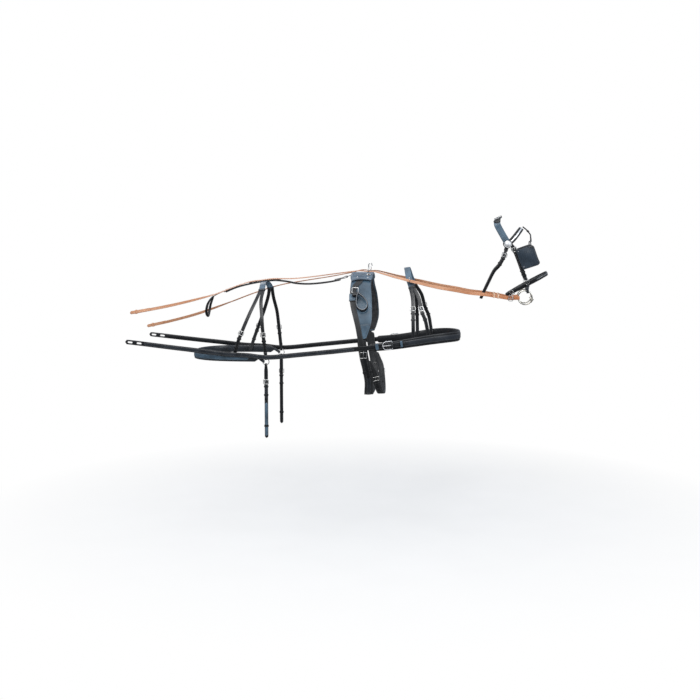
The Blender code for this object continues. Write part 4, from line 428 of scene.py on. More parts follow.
# Materials
class Shades:
    """The nodes of a material or a world, with short ways to add what it needs."""

    def __init__(self, tree):
        self.tree = tree

    def feed(self, socket, value):
        """Give an input another node's output, or a fixed value."""
        if isinstance(value, bpy.types.NodeSocket):
            self.tree.links.new(value, socket)
        elif socket.type == "RGBA":
            socket.default_value = (*value, 1.0)
        else:
            socket.default_value = value

    def node(self, kind, **inputs):
        """A new node; an underscore in an input's name stands for a space."""
        made = self.tree.nodes.new("ShaderNode" + kind)
        for name, value in inputs.items():
            self.feed(made.inputs[name.replace("_", " ")], value)
        return made

    def step(self, operation, *values, clamp=False):
        """One math step; each input is an output of another node or a number."""
        made = self.node("Math")
        made.operation = operation
        made.use_clamp = clamp
        for socket, value in zip(made.inputs, values):
            self.feed(socket, value)
        return made.outputs[0]

    def mix(self, share, first, second):
        made = self.node("Mix")
        made.data_type = "RGBA"
        for place, value in ((0, share), (6, first), (7, second)):
            self.feed(made.inputs[place], value)
        return made.outputs[2]

    def parts(self, vector):
        return self.node("SeparateXYZ", Vector=vector).outputs

    def notes(self, name):
        """The three numbers that the mesh keeps for each of its points."""
        made = self.node("Attribute")
        made.attribute_name = name
        return self.parts(made.outputs["Vector"])

    def place(self):
        return self.node("TexCoord").outputs["Object"]

    def cloud(self, scale, detail, stretch=None):
        """A cloudy pattern in the piece's own place."""
        place = self.place()
        if stretch:
            place = self.node("Mapping", Vector=place, Scale=stretch).outputs[0]
        return self.node("TexNoise", Vector=place, Scale=scale, Detail=detail).outputs[0]

    def bump(self, height, strength, distance):
        return self.node("Bump", Height=height, Strength=strength, Distance=distance).outputs[0]

    def surface(self, **inputs):
        """Feed the surface's own inputs."""
        shader = self.tree.nodes["Principled BSDF"]
        for name, value in inputs.items():
            self.feed(shader.inputs[name.replace("_", " ")], value)


def new_material(name):
    made = bpy.data.materials.new(name)
    made.use_nodes = True
    return made, Shades(made.node_tree)


STITCH_PITCH = 0.0042
STITCH_INSET = 0.0030
STITCH_WIDTH = 0.0006
STITCH_DASH = 0.68
EDGE_REACH = 0.0022
GROOVE_INSET = 0.0019
GROOVE_WIDTH = 0.0005
HOLE_PITCH = 0.024
HOLE_RADIUS = 0.0022
HOLE_SHADE_COLOUR = (0.002, 0.002, 0.002)
LEATHER_RELIEF = (0.55, 0.0006)
COAT_ROUGHNESS = 0.28
METAL_RELIEF = (0.10, 0.0003)


def leather(name, dark, light, rough, coat, stitch=(0.16, 0.16, 0.16), edge=(0.10, 0.10, 0.105), patches=7.0,
            grain=0.30):
    """Grained leather with creased, worn edges, a row of stitches along each edge and punched holes."""
    made, shades = new_material(name)
    step, mix = shades.step, shades.mix
    across, along, half = shades.notes("lay")
    sewn, punched, _ = shades.notes("marks")
    inward = step("SUBTRACT", half, step("ABSOLUTE", across))

    def band(inset, width):
        """Full strength on one line along the strap's edges, and none away from it."""
        off = step("ABSOLUTE", step("SUBTRACT", inward, inset))
        return step("SUBTRACT", 1.0, step("DIVIDE", off, width), clamp=True)

    # worn edge
    worn = step("SUBTRACT", 1.0, step("DIVIDE", inward, EDGE_REACH), clamp=True)
    worn = step("MULTIPLY", worn, step("MULTIPLY_ADD", shades.cloud(60.0, 4.0), 1.6, -0.35), clamp=True)

    # stitches and punched holes
    dash = step("LESS_THAN", step("FRACT", step("DIVIDE", along, STITCH_PITCH)), STITCH_DASH)
    stitched = step("MULTIPLY", step("MULTIPLY", band(STITCH_INSET, STITCH_WIDTH), dash), sewn)
    off = step("SUBTRACT", step("FRACT", step("DIVIDE", along, HOLE_PITCH)), 0.5)
    off = step("MULTIPLY", off, HOLE_PITCH)
    far = step("SQRT", step("ADD", step("MULTIPLY", off, off), step("MULTIPLY", across, across)))
    hole = step("MULTIPLY", step("LESS_THAN", far, HOLE_RADIUS), punched)

    # colour
    base = mix(step("MULTIPLY_ADD", shades.cloud(patches, 5.0), 2.2, -0.6, clamp=True), dark, light)
    base = mix(step("MULTIPLY", shades.cloud(160.0, 3.0), 0.30), base, tuple(0.35 * c for c in dark))
    base = mix(step("MULTIPLY", worn, 0.55), base, edge)
    # Punched holes are painted near black: painted shade standing in for the dark inside of each hole.
    base = mix(hole, mix(stitched, base, stitch), HOLE_SHADE_COLOUR)

    # roughness
    roughness = step("MULTIPLY_ADD", shades.cloud(24.0, 4.0), 0.34, rough - 0.17)
    roughness = step("ADD", roughness, step("MULTIPLY", worn, 0.12), clamp=True)
    roughness = step("ADD", roughness, step("MULTIPLY", hole, 0.4), clamp=True)

    # relief
    cells = shades.node("TexVoronoi", Vector=shades.place(), Scale=520.0)
    cells.feature = "DISTANCE_TO_EDGE"
    cells = step("MULTIPLY", cells.outputs[0], grain * 1.6)
    height = step("MULTIPLY_ADD", shades.cloud(48.0, 6.0), 0.9, cells)
    height = step("ADD", height, step("MULTIPLY", stitched, 0.8))
    height = step("SUBTRACT", height, step("MULTIPLY", band(GROOVE_INSET, GROOVE_WIDTH), 0.8))
    height = step("SUBTRACT", height, step("MULTIPLY", hole, 3.0))
    shades.surface(Base_Color=base, Roughness=roughness, Normal=shades.bump(height, *LEATHER_RELIEF),
                   Coat_Weight=coat, Coat_Roughness=COAT_ROUGHNESS)
    return made


def redden(made, start, end, colour):
    """Deepen a leather's colour little by little from one place along the part to another."""
    shades = Shades(made.node_tree)
    base = made.node_tree.nodes["Principled BSDF"].inputs["Base Color"].links[0].from_socket
    along = shades.parts(shades.place())[0]
    share = shades.step("DIVIDE", shades.step("SUBTRACT", along, start), end - start, clamp=True)
    shades.surface(Base_Color=shades.mix(shades.step("MULTIPLY", share, 0.75), base, colour))


def metal(name, colour, shade, rough, scratch=0.5):
    """Polished metal with fine scratches and a little tarnish."""
    made, shades = new_material(name)
    cloud = shades.cloud(30.0, 4.0)
    tarnish = shades.step("MULTIPLY_ADD", cloud, 2.4, -0.85, clamp=True)
    rub = shades.step("MULTIPLY_ADD", shades.cloud(140.0, 5.0, (1.0, 1.0, 6.0)), 0.22, rough - 0.11)
    roughness = shades.step("ADD", rub, shades.step("MULTIPLY", tarnish, 0.14), clamp=True)
    lines = shades.step("ADD", shades.cloud(900.0, 2.0, (1.0, 1.0, 0.12)), cloud)
    strength, distance = METAL_RELIEF
    shades.surface(Base_Color=shades.mix(tarnish, colour, shade), Roughness=roughness, Metallic=1.0,
                   Normal=shades.bump(lines, strength * scratch, distance))
    return made


BLACK = leather("black_strap_leather", (0.0035, 0.004, 0.005), (0.010, 0.012, 0.015), 0.36, 0.10)
# Black leather with the blue-grey sheen of the sky painted into its colour: a painted reflection, used on the
# pieces that catch the most light.
SHEEN = leather("black_leather_painted_sky_sheen", (0.026, 0.050, 0.074), (0.115, 0.205, 0.295), 0.40, 0.20,
                patches=11.0)
# Black blinker leather with a dimmer blue-grey painted sheen in its colour.
SHEEN_DARK = leather("black_blinker_leather_painted_sheen", (0.012, 0.019, 0.028), (0.046, 0.072, 0.105), 0.34, 0.20)
# Black leather of the saddle tree with a paler, bluer painted highlight in its colour, where its top faces up
# into the light.
TREE_HIGHLIGHT_LEATHER = leather("black_tree_leather_painted_highlight", (0.070, 0.105, 0.145), (0.19, 0.28, 0.38), 0.40, 0.20,
                       patches=11.0)
# Black leather with a faint blue-grey painted sheen in its colour.
SHEEN_FAINT = leather("black_leather_faint_painted_sheen", (0.007, 0.009, 0.012), (0.030, 0.038, 0.050), 0.34, 0.18, patches=14.0)
GIRTH_LEATHER = leather("charcoal_girth_leather", (0.010, 0.011, 0.012), (0.026, 0.028, 0.031), 0.50, 0.05)
EDGE_LEATHER = leather("rolled_edge_leather", (0.003, 0.0035, 0.0045), (0.010, 0.012, 0.015), 0.32, 0.15)
# The rein leather's pale tone is partly a painted highlight, where the rein catches the light along the neck;
# redden deepens it towards the bit to the leather's own orange.
TAN = leather("tan_rein_leather", (0.42, 0.15, 0.050), (0.78, 0.42, 0.25), 0.42, 0.15,
              stitch=(0.85, 0.60, 0.40), edge=(0.30, 0.11, 0.045), patches=6.0)
redden(TAN, 0.45, 0.95, (0.46, 0.13, 0.028))
TAN_PALE = leather("worn_rein_leather", (0.62, 0.36, 0.22), (0.86, 0.64, 0.48), 0.50, 0.10,
                   stitch=(0.80, 0.62, 0.45), edge=(0.35, 0.15, 0.07))
PAD = leather("panel_leather", (0.008, 0.009, 0.011), (0.020, 0.022, 0.026), 0.58, 0.0, grain=0.45)
# A pale grey-blue line laid along an edge of black leather where it catches the light: a painted highlight.
PAINTED_HIGHLIGHT_LINE = leather("painted_highlight_leather", (0.30, 0.33, 0.37), (0.52, 0.56, 0.60), 0.50, 0.0)
THREAD = leather("waxed_thread", (0.10, 0.10, 0.11), (0.17, 0.17, 0.18), 0.70, 0.0)
NICKEL = metal("bright_nickel", (0.90, 0.90, 0.88), (0.50, 0.49, 0.46), 0.24)
SILVER = metal("silver_plate", (0.95, 0.95, 0.95), (0.82, 0.82, 0.82), 0.40, scratch=0.1)
DARK_METAL = metal("dark_metal", (0.30, 0.30, 0.32), (0.14, 0.14, 0.15), 0.30)
BRASSY = metal("aged_bit_steel", (0.88, 0.85, 0.76), (0.52, 0.46, 0.36), 0.22)


def placed(name, data):
    """A new object in the scene."""
    made = bpy.data.objects.new(name, data)
    bpy.context.scene.collection.objects.link(made)
    return made


# Surfaces
SECTION_SHARES = (-1.0, -0.86, -0.72, -0.36, 0.0, 0.36, 0.72, 0.86, 1.0)


def strap_section(width, thickness, crown):
    """The outline of a strap's cross-section: a crowned face, creased edges and rounded corners."""
    half = width / 2
    corner = min(0.5 * thickness, 0.25 * width)
    top = [(share * (half - 0.5 * corner), thickness / 2 - crown * share * share) for share in SECTION_SHARES]
    edge = [(half - 0.12 * corner, thickness / 2 - crown - 0.30 * corner), (half, 0.0),
            (half - 0.12 * corner, 0.30 * corner - thickness / 2), (half - 0.5 * corner, -thickness / 2)]
    return top + edge + [(0.0, -thickness / 2)] + [(-u, v) for u, v in edge[::-1]]


PLAIN = (0.0, 0.0, 0.0)
SEWN = (1.0, 0.0, 0.0)
CAP_REACHES = (0.55, 0.85)
CAP_SIZES = (0.80, 0.35)
RIM_SHARE = 0.45
KEEPER_SLACK = 0.0006
KEEPER_AIR = 0.0003
KEEPER_WALL = 0.0018
TONGUE_HEEL = (-160, 50, 6)
RIVET_RADIUS = 0.0042
RIVET_HEIGHT = 0.0022
RIVET = ((0.98, 0.0), (1.0, 0.35), (0.8, 0.75), (0.4, 1.0), (0.05, 1.05))
STITCH_SIZE = 0.0011
STITCH_SHARE = 0.62


class Skin:
    """Collects closed surfaces, with each point's place across and along its strap."""

    def __init__(self):
        self.points = []
        self.faces = []
        self.lays = []
        self.marks = []

    def add_rings(self, rings, lays, marks, closed=False):
        first = len(self.points)
        count, total = len(rings[0]), len(rings)
        for ring, lay in zip(rings, lays):
            self.points.extend(ring)
            self.lays.extend(lay)
            self.marks.extend([marks] * count)
        for i in range(total if closed else total - 1):
            low = first + i * count
            high = first + (i + 1) % total * count
            for j in range(count):
                k = (j + 1) % count
                self.faces.append((low + j, low + k, high + k, high + j))
        if not closed:
            last = first + (total - 1) * count
            self.faces.append(tuple(range(first, first + count))[::-1])
            self.faces.append(tuple(range(last, last + count)))
        return self

    def strap(self, rows, thickness, closed=False, tips=(0.0, 0.0), crown=None, stitched=1.0, punched=0.0):
        """A strap through rows of left and right edge points; tips are the lengths of its pointed ends."""
        crown = min(0.0006, 0.16 * thickness) if crown is None else crown
        middles = [(row[0] + row[-1]) / 2 for row in rows]
        lengths = lengths_along(middles)
        rings, lays = [], []
        for i, (row, middle) in enumerate(zip(rows, middles)):
            before, after = around(middles, i, closed)
            along = (after - before).normalized()
            side = row[-1] - row[0]
            width = side.length
            side.normalize()
            out = along.cross(side).normalized()
            for tip, gone in ((tips[0], lengths[i]), (tips[1], lengths[-1] - lengths[i])):
                if tip and gone < tip:
                    width *= max(0.06, math.sqrt(1 - (1 - gone / tip) ** 2))
            outline = strap_section(width, thickness, crown)
            rings.append([middle + side * u + out * v for u, v in outline])
            lays.append([(u, lengths[i], width / 2) for u, v in outline])
        return self.add_rings(rings, lays, (stitched, punched, 0.0), closed)

    def frames(self, frames, width, thickness, **options):
        return self.strap(rows_of(frames, width), thickness, **options)

    def lap(self, frames, start, end, rise, width, thickness, step=0.008, **options):
        """A layer on a stretch of a strap."""
        return self.frames(piece_of(frames, start, end, rise, step), width, thickness, **options)

    def tube(self, points, radius, closed=False, sides=12, radii=None):
        """A round wire or rod, with rounded ends where it is open."""
        spine = [Vector(point) for point in points]
        sizes = [radius * (radii[i] if radii else 1.0) for i in range(len(spine))]
        if not closed:
            for end, sign in ((0, 1), (-1, -1)):
                ahead = (spine[end + sign] - spine[end]).normalized()
                size = sizes[end]
                caps = [spine[end] - ahead * size * reach for reach in CAP_REACHES]
                shrunk = [size * share for share in CAP_SIZES]
                if end == 0:
                    spine = caps[::-1] + spine
                    sizes = shrunk[::-1] + sizes
                else:
                    spine += caps
                    sizes += shrunk
        pairs = [around(spine, i, closed) for i in range(len(spine))]
        tangents = [(after - before).normalized() for before, after in pairs]
        up = tangents[0].orthogonal().normalized()
        ups = []
        for i, tangent in enumerate(tangents):
            if i:
                up = tangents[i - 1].rotation_difference(tangent) @ up
            up = (up - tangent * up.dot(tangent)).normalized()
            ups.append(up.copy())
        twist = 0.0
        if closed:
            final = tangents[-1].rotation_difference(tangents[0]) @ ups[-1]
            twist = math.atan2(final.cross(ups[0]).dot(tangents[0]), final.dot(ups[0]))
        rings = []
        for i, (point, tangent, up, size) in enumerate(zip(spine, tangents, ups, sizes)):
            side = tangent.cross(up)
            turned = twist * i / len(spine)
            ring = []
            for j in range(sides):
                turn = 2 * math.pi * j / sides + turned
                ring.append(point + (up * math.cos(turn) + side * math.sin(turn)) * size)
            rings.append(ring)
        lays = [[(0.0, travelled, 1.0)] * sides for travelled in lengths_along(spine)]
        return self.add_rings(rings, lays, PLAIN, closed)

    def ring(self, centre, axis, radius, wire, sides=14, steps=48):
        return self.tube(closed_circle(centre, Vector(axis), radius, steps), wire, closed=True, sides=sides)

    def turned(self, profile, origin, axis, steps=40):
        """A solid turned about an axis; the profile is radius and height, from the bottom up."""
        rings = [closed_circle(origin, axis, radius, steps, height) for radius, height in profile]
        lays = [[(0.0, height, 1.0)] * steps for _, height in profile]
        return self.add_rings(rings, lays, PLAIN)

    def rivet(self, point, out):
        return self.turned([(r * RIVET_RADIUS, h * RIVET_HEIGHT) for r, h in RIVET], point, out, steps=20)

    def grid(self, rows, thickness):
        """A thin shell over a grid of points, with a rounded rim all round."""
        count, columns = len(rows), len(rows[0])
        outs = []
        for i, row in enumerate(rows):
            above, below = around(rows, i)
            line = []
            for j in range(columns):
                left, right = around(row, j)
                line.append((below[j] - above[j]).cross(right - left).normalized())
            outs.append(line)
        first = len(self.points)
        lengths = lengths_along([row[columns // 2] for row in rows])

        def lay(i, j):
            whole = (rows[i][-1] - rows[i][0]).length
            across = (rows[i][j] - rows[i][0]).length
            ends = min(lengths[i], lengths[-1] - lengths[i])
            sides = min(across, whole - across)
            return (1.0 - min(sides, ends), lengths[i] if sides <= ends else across, 1.0)

        for sign in (1, -1):
            for i in range(count):
                for j in range(columns):
                    self.points.append(rows[i][j] + outs[i][j] * thickness / 2 * sign)
                    self.lays.append(lay(i, j))
                    self.marks.append(SEWN)
        layer = count * columns
        for i in range(count - 1):
            for j in range(columns - 1):
                a = first + i * columns + j
                self.faces.append((a, a + 1, a + columns + 1, a + columns))
                b = a + layer
                self.faces.append((b, b + columns, b + columns + 1, b + 1))
        loop = rim_of([[(i, j) for j in range(columns)] for i in range(count)])
        rim = len(self.points)
        centre = sum((rows[i][j] for i, j in loop), Vector()) / len(loop)
        for k, (i, j) in enumerate(loop):
            before, after = around(loop, k, closed=True)
            way = rows[after[0]][after[1]] - rows[before[0]][before[1]]
            push = way.cross(outs[i][j]).normalized()
            if push.dot(rows[i][j] - centre) < 0:
                push.negate()
            self.points.append(rows[i][j] + push * thickness * RIM_SHARE)
            self.lays.append((1.0, 0.0, 1.0))
            self.marks.append(PLAIN)
            n = (k + 1) % len(loop)
            a = first + i * columns + j
            b = first + loop[n][0] * columns + loop[n][1]
            self.faces.append((a, b, rim + n, rim + k))
            self.faces.append((a + layer, rim + k, rim + n, b + layer))
        return self

    def keeper(self, place, width, low, stack, length, wall=KEEPER_WALL):
        """A leather loop round a strap: place is its middle; low and stack are where it starts and ends."""
        point, along, out = place
        side = out.cross(along).normalized()
        half = width / 2 + KEEPER_SLACK + wall / 2
        top = stack + wall / 2 + KEEPER_AIR
        bottom = low - wall / 2 - KEEPER_AIR
        bend = 0.35 * min(half, (top - bottom) / 2)
        corners = ((half - bend, top - bend, 0), (bend - half, top - bend, 90),
                   (bend - half, bottom + bend, 180), (half - bend, bottom + bend, 270))
        rows = []
        for x, z, start in corners:
            for i in range(4):
                turn = math.radians(start + 30 * i)
                p = point + side * (x + bend * math.cos(turn)) + out * (z + bend * math.sin(turn))
                rows.append([p - along * length / 2, p + along * length / 2])
        return self.strap(rows, wall, closed=True, stitched=0.0)

    def keepers(self, frames, width, low, rows, wall=KEEPER_WALL):
        """Several keepers on one strap: rows of place, stack and length."""
        for place, stack, length in rows:
            self.keeper(along_frames(frames, place), width, low, stack, length, wall)
        return self

    def wire_frame(self, place, length, height, corner, wire, front_round=False, rise=0.0, sides=12):
        """A buckle's frame with fine corners; its heel bar is at x=0, and rise lifts its front end."""
        front = min(height / 2, length / 2) if front_round else corner
        points = []
        for x, y, radius, start in (
            (length - front, height / 2 - front, front, 0), (corner, height / 2 - corner, corner, 90),
            (corner, corner - height / 2, corner, 180), (length - front, front - height / 2, front, 270),
        ):
            steps = 9 if radius > corner else 5
            for i in range(steps + 1):
                turn = math.radians(start + 90 * i / steps)
                along = x + radius * math.cos(turn)
                points.append(place @ Vector((along, y + radius * math.sin(turn), rise * along / length)))
        return self.tube(points, wire, closed=True, sides=sides)

    def buckle(self, place, length, height, wire, over, front_round=False):
        """A frame, a roller on its straight front end and a tongue that rests on it."""
        self.wire_frame(place, length, height, 2.2 * wire, wire, front_round, sides=10)
        if not front_round:
            reach = height / 2 - 3.2 * wire
            self.tube([place @ Vector((length, y, 0.0)) for y in (-reach, 0.0, reach)], 1.45 * wire)
        thick = 0.8 * wire
        start, turn, count = TONGUE_HEEL
        points = []
        for i in range(count - 1, -1, -1):
            angle = math.radians(start + turn * i)
            points.append((((wire + thick) * math.cos(angle)), -(wire + thick) * math.sin(angle)))
        points.append((0.35 * length, over + wire * 1.8 + thick))
        points.append((length - 0.5 * wire, over + (1.0 if front_round else 1.45) * wire + thick))
        points.append((length + 1.6 * wire, over + wire + thick * 0.4))
        points = [Vector((x, 0.0, z)) for x, z in points]
        line = points[:1]
        for a, b in zip(points, points[1:]):
            line += [a.lerp(b, 0.5), b]
        return self.tube([place @ point for point in line], thick, sides=8)

    def buckle_at(self, frames, distance, width, length, rise, over=0.0005, wire=0.0017, facing=1, **options):
        """A buckle that sits on a strap at a length from its start."""
        point, way, out = along_frames(frames, distance)
        way = way * facing
        place = to_world(point + out * rise - way * length / 2, way, out)
        return self.buckle(place, length, width + 4.4 * wire, wire, over, **options)

    def stitches(self, line, outs, pitch=0.0046):
        """A run of thread along a line of points, each stitch a small bead."""
        lengths = lengths_along(line)
        count = int(lengths[-1] / pitch)
        i = 0
        for k in range(count):
            where = (k + 0.5) * lengths[-1] / count
            while lengths[i + 1] < where:
                i += 1
            t = (where - lengths[i]) / (lengths[i + 1] - lengths[i])
            point = line[i].lerp(line[i + 1], t)
            way = (line[i + 1] - line[i]).normalized()
            out = outs[i].lerp(outs[i + 1], t).normalized()
            side = out.cross(way).normalized()
            first = len(self.points)
            half = pitch * STITCH_SHARE / 2
            size = STITCH_SIZE
            for corner in (way * half, side * size / 2, -way * half, -side * size / 2, out * size * 0.55,
                           -out * size * 0.4):
                self.points.append(point + corner)
                self.lays.append((0.0, where, 1.0))
                self.marks.append(PLAIN)
            for a, b in ((0, 1), (1, 2), (2, 3), (3, 0)):
                self.faces.append((first + a, first + b, first + 4))
                self.faces.append((first + b, first + a, first + 5))
        return self

    def edge_thread(self, frames, width, thickness, inset, pitch=0.0060):
        """The two rows of thread of a strap, on its outer face."""
        outs = [out for _, _, out in frames]
        for sign in (-1, 1):
            line = [point + out.cross(along).normalized() * sign * (width / 2 - inset) + out * (thickness / 2)
                    for point, along, out in frames]
            self.stitches(line, outs, pitch)
        return self

    def make(self, name, material, body="harness", replaces=()):
        mesh = bpy.data.meshes.new(name)
        mesh.from_pydata([tuple(point) for point in self.points], [], self.faces)
        for title, values in (("lay", self.lays), ("marks", self.marks)):
            notes = mesh.attributes.new(title, "FLOAT_VECTOR", "POINT")
            notes.data.foreach_set("vector", [number for value in values for number in value])
        shell = bmesh.new()
        shell.from_mesh(mesh)
        bmesh.ops.recalc_face_normals(shell, faces=shell.faces)
        shell.to_mesh(mesh)
        shell.free()
        mesh.materials.append(material)
        made = placed(name, mesh)
        mesh.shade_smooth()
        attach(made, body)
        if replaces:
            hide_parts(*replaces)
        return made


# Routes
def along_frames(frames, distance):
    """The place on a strap at a length from its start; a negative one is measured from its end."""
    if distance < 0:
        distance += length_of(frames)
    for (a, _, out), (b, _, next_out) in zip(frames, frames[1:]):
        length = (b - a).length
        if distance <= length:
            t = max(0.0, distance / length) if length else 0.0
            normal = out.lerp(next_out, t).normalized()
            ahead = (b - a).normalized()
            return a.lerp(b, t), ahead, (normal - ahead * normal.dot(ahead)).normalized()
        distance -= length
    return frames[-1]


def length_of(frames):
    return sum((b[0] - a[0]).length for a, b in zip(frames, frames[1:]))


def piece_of(frames, start, end, lift, step=0.008):
    """A stretch of a strap's route, raised off it; a negative end is measured from the strap's end."""
    if end < 0:
        end += length_of(frames)
    count = max(2, math.ceil(abs(end - start) / step) + 1)
    found = []
    for i in range(count):
        point, way, out = along_frames(frames, start + (end - start) * i / (count - 1))
        found.append((point + out * lift, way, out))
    return found


def lifted(frames, rise):
    """The points of a strap's route, raised off it."""
    return [point + out * rise for point, _, out in frames]


def closed_circle(centre, axis, radius, steps=48, height=0.0):
    """Points of a circle round an axis, raised along it."""
    turn = Vector((0, 0, 1)).rotation_difference(axis).to_matrix()
    points = []
    for i in range(steps):
        angle = 2 * math.pi * i / steps
        points.append(centre + turn @ Vector((radius * math.cos(angle), radius * math.sin(angle), height)))
    return points


def rim_of(rows):
    """The edge points of a grid, in order."""
    last, final = len(rows) - 1, len(rows[0]) - 1
    loop = list(rows[0]) + [rows[i][final] for i in range(1, last + 1)]
    loop += [rows[last][j] for j in range(final - 1, -1, -1)]
    return loop + [rows[i][0] for i in range(last - 1, 0, -1)]


def fine(stations, step=STEP_LENGTH):
    return frames_of(smooth_route(stations, step=step))


ROOT_START = 0.014
ROOT_SINK = 0.0008


def root_of(end, share, width):
    """Where a branch leaves a wider strap: its stations just before and at the strap's end."""
    point, along, out = end
    forward = out.cross(along).normalized()
    if forward.x < 0:
        forward.negate()
    place = point + forward * share * width
    return [(place - along * ROOT_START - out * ROOT_SINK, out), (place, out)]


def mirror_frames(frames):
    return [(flip(p, -1), flip(a, -1), flip(n, -1)) for p, a, n in frames]


def for_side(frames, side):
    return frames if side == 1 else mirror_frames(frames)


def backwards(frames):
    """The same route, travelled from its end."""
    return [(point, -along, out) for point, along, out in frames[::-1]]


def from_side(frames, side):
    """A route that crosses the middle, starting on the given side."""
    return frames if side == 1 else backwards(frames)


def both_halves(frames):
    """A near half route that starts on the middle line, with its far half before it."""
    return backwards(mirror_frames(frames[1:])) + frames


def over_spine(near):
    """Stations from the middle line down the near side, with the far side before them."""
    return mirrored(near)[:0:-1] + near


def round_to_far(near):
    """Stations of the near side up to the middle line, with the far side after them."""
    return near + mirrored(near)[-2::-1]


def stations_on(form, shares, lift=LAYER_ONE):
    return [form(along, degrees, lift) for along, degrees in shares]


def outward(side):
    return Vector((0.0, -1.0 * side, 0.0))


def outward_face(ahead):
    """Level and square to the way ahead, on the near side."""
    out = Vector((-ahead.y, ahead.x, 0.0)).normalized()
    if out.y > 0:
        out.negate()
    return out


# Bridle
CROWN_SHARES = ((0.008, 88.5), (0.055, 87.5), (0.155, 84.0), (0.245, 83.0))
CROWN_TOP = (((0.4905, 0.083, 0.534), (-0.47, -0.33, 0.82)), ((0.4945, 0.0, 0.545), (-0.41, 0.0, 0.91)))
CHEEK_BILLET_SHARES = ((0.285, 78.0), (0.325, 78.0))
THROAT_BILLET_SHARES = ((0.275, 88.5), (0.302, 90.5))
POLL_BUCKLES = (0.22, 0.78)
POLL_KEEPERS = (0.40, 0.60)


def add_headpiece():
    """The crown over the poll with its pad and keepers, and the billets under each rosette."""
    near = stations_on(on_head, CROWN_SHARES)
    over = []
    for shares, out in CROWN_TOP:
        out = Vector(out).normalized()
        over.append((side_view(*shares) + out * LAYER_ONE, out))
    frames = fine(mirrored(near)[::-1] + mirrored(over)[:1] + over[::-1] + near)
    crown = Skin().frames(frames, HEADPIECE_WIDTH, STRAP_THICKNESS)
    crown.make("headpiece_crown", SHEEN, replaces=["headpiece"])
    shoulder = length_of(fine(near)) + 0.002
    lined = piece_of(frames, shoulder, -shoulder, STRAP_THICKNESS / 2 + 0.0034, step=0.004)
    cover = Skin().frames(lined, HEADPIECE_WIDTH + 0.005, 0.006, tips=(0.012, 0.012), crown=0.0018)
    cover.make("poll_pad", BLACK)
    trim, clasps, billets = Skin(), Skin(), Skin()
    reach = length_of(lined)
    for share in POLL_BUCKLES:
        clasps.buckle_at(lined, share * reach, 0.020, 0.020, 0.0058, over=0.0)
    trim.keepers(lined, HEADPIECE_WIDTH + 0.004, -0.0040, [(s * reach, 0.0052, 0.009) for s in POLL_KEEPERS])
    clasps.make("poll_pad_buckles", NICKEL)
    for side in (1, -1):
        for shares, part in ((THROAT_BILLET_SHARES, -0.25), (CHEEK_BILLET_SHARES, 0.25)):
            stations = root_of(frames[-1], part, HEADPIECE_WIDTH) + stations_on(on_head, shares)
            billets.frames(for_side(fine(stations), side), CHEEK_WIDTH - 0.001, STRAP_THICKNESS,
                           tips=(0.0, 0.010))
    billets.make("headpiece_billets", BLACK)
    trim.make("headpiece_keepers", EDGE_LEATHER)


BROWBAND_SHARES = ((0.243, 84.0), (0.225, 70.0), (0.200, 52.0), (0.178, 25.0), (0.172, 0.0))
BROW_LIFT = LAYER_TWO + LAYER_GAP / 2


def add_browband():
    near = stations_on(on_head, BROWBAND_SHARES, BROW_LIFT)
    frames = fine(mirrored(near) + near[-2::-1])
    band = Skin().frames(frames, BROWBAND_WIDTH, STRAP_THICKNESS, tips=(0.012, 0.012))
    band.make("browband_leather", BLACK, replaces=["browband"])
    bar = Skin().lap(frames, 0.024, -0.024, STRAP_THICKNESS / 2 + 0.0019, 0.0080, 0.0020, step=0.003,
                     crown=0.0008, stitched=0.0)
    bar.make("browband_silver_bar", SILVER)
    welts = Skin()
    under = piece_of(frames, 0.020, -0.020, STRAP_THICKNESS / 2 - 0.0002)
    for sign in (-1, 1):
        welts.tube([p + o.cross(a).normalized() * sign * 0.0105 for p, a, o in under], 0.0014, sides=8)
    welts.make("browband_welts", EDGE_LEATHER)


ROSETTE_SHARES = ((0.24, 84.0),)
BACKING = ((0.9, -0.0005), (0.985, 0.0002), (1.0, 0.0012), (0.985, 0.0022), (0.92, 0.0028), (0.5, 0.0028))
DOME_EDGE = ((0.86, 0.0020), (0.90, 0.0034), (0.88, 0.0046), (0.83, 0.0050), (0.79, 0.0044), (0.77, 0.0036))
DOME_SHARE = 0.74
DOME_FOOT = 0.0036
DOME_HEIGHT = ROSETTE_DOME - 0.0042
BEADS = 28
BEAD = ((0.0013, 0.0), (0.0012, 0.0007), (0.0007, 0.0012), (0.0001, 0.0014))
BEAD_RING_SHARE = 0.815
BEAD_SEAT = 0.0044


def add_rosettes():
    """A domed silver boss with a beaded rim, on a leather backing."""
    edge = ROSETTE_RADIUS
    for tag, side in SIDES:
        point, out = sided(stations_on(on_head, ROSETTE_SHARES, BROW_LIFT), side)[0]
        seat = point + out * (STRAP_THICKNESS / 2 + WIRE_GAP)
        Skin().turned([(r * edge, h) for r, h in BACKING], seat, out).make("rosette_backing_" + tag, BLACK)
        profile = [(r * edge, h) for r, h in DOME_EDGE]
        for i in range(9):
            turn = math.radians(10 * i)
            profile.append((DOME_SHARE * edge * math.cos(turn), DOME_FOOT + DOME_HEIGHT * math.sin(turn)))
        profile.append((0.02 * edge, DOME_FOOT + DOME_HEIGHT))
        dome = Skin().turned(profile, seat, out, steps=56)
        for spot in closed_circle(seat, out, BEAD_RING_SHARE * edge, BEADS, BEAD_SEAT):
            dome.turned(BEAD, spot, out, steps=8)
        dome.make("rosette_dome_" + tag, SILVER, replaces=["rosette_" + tag])


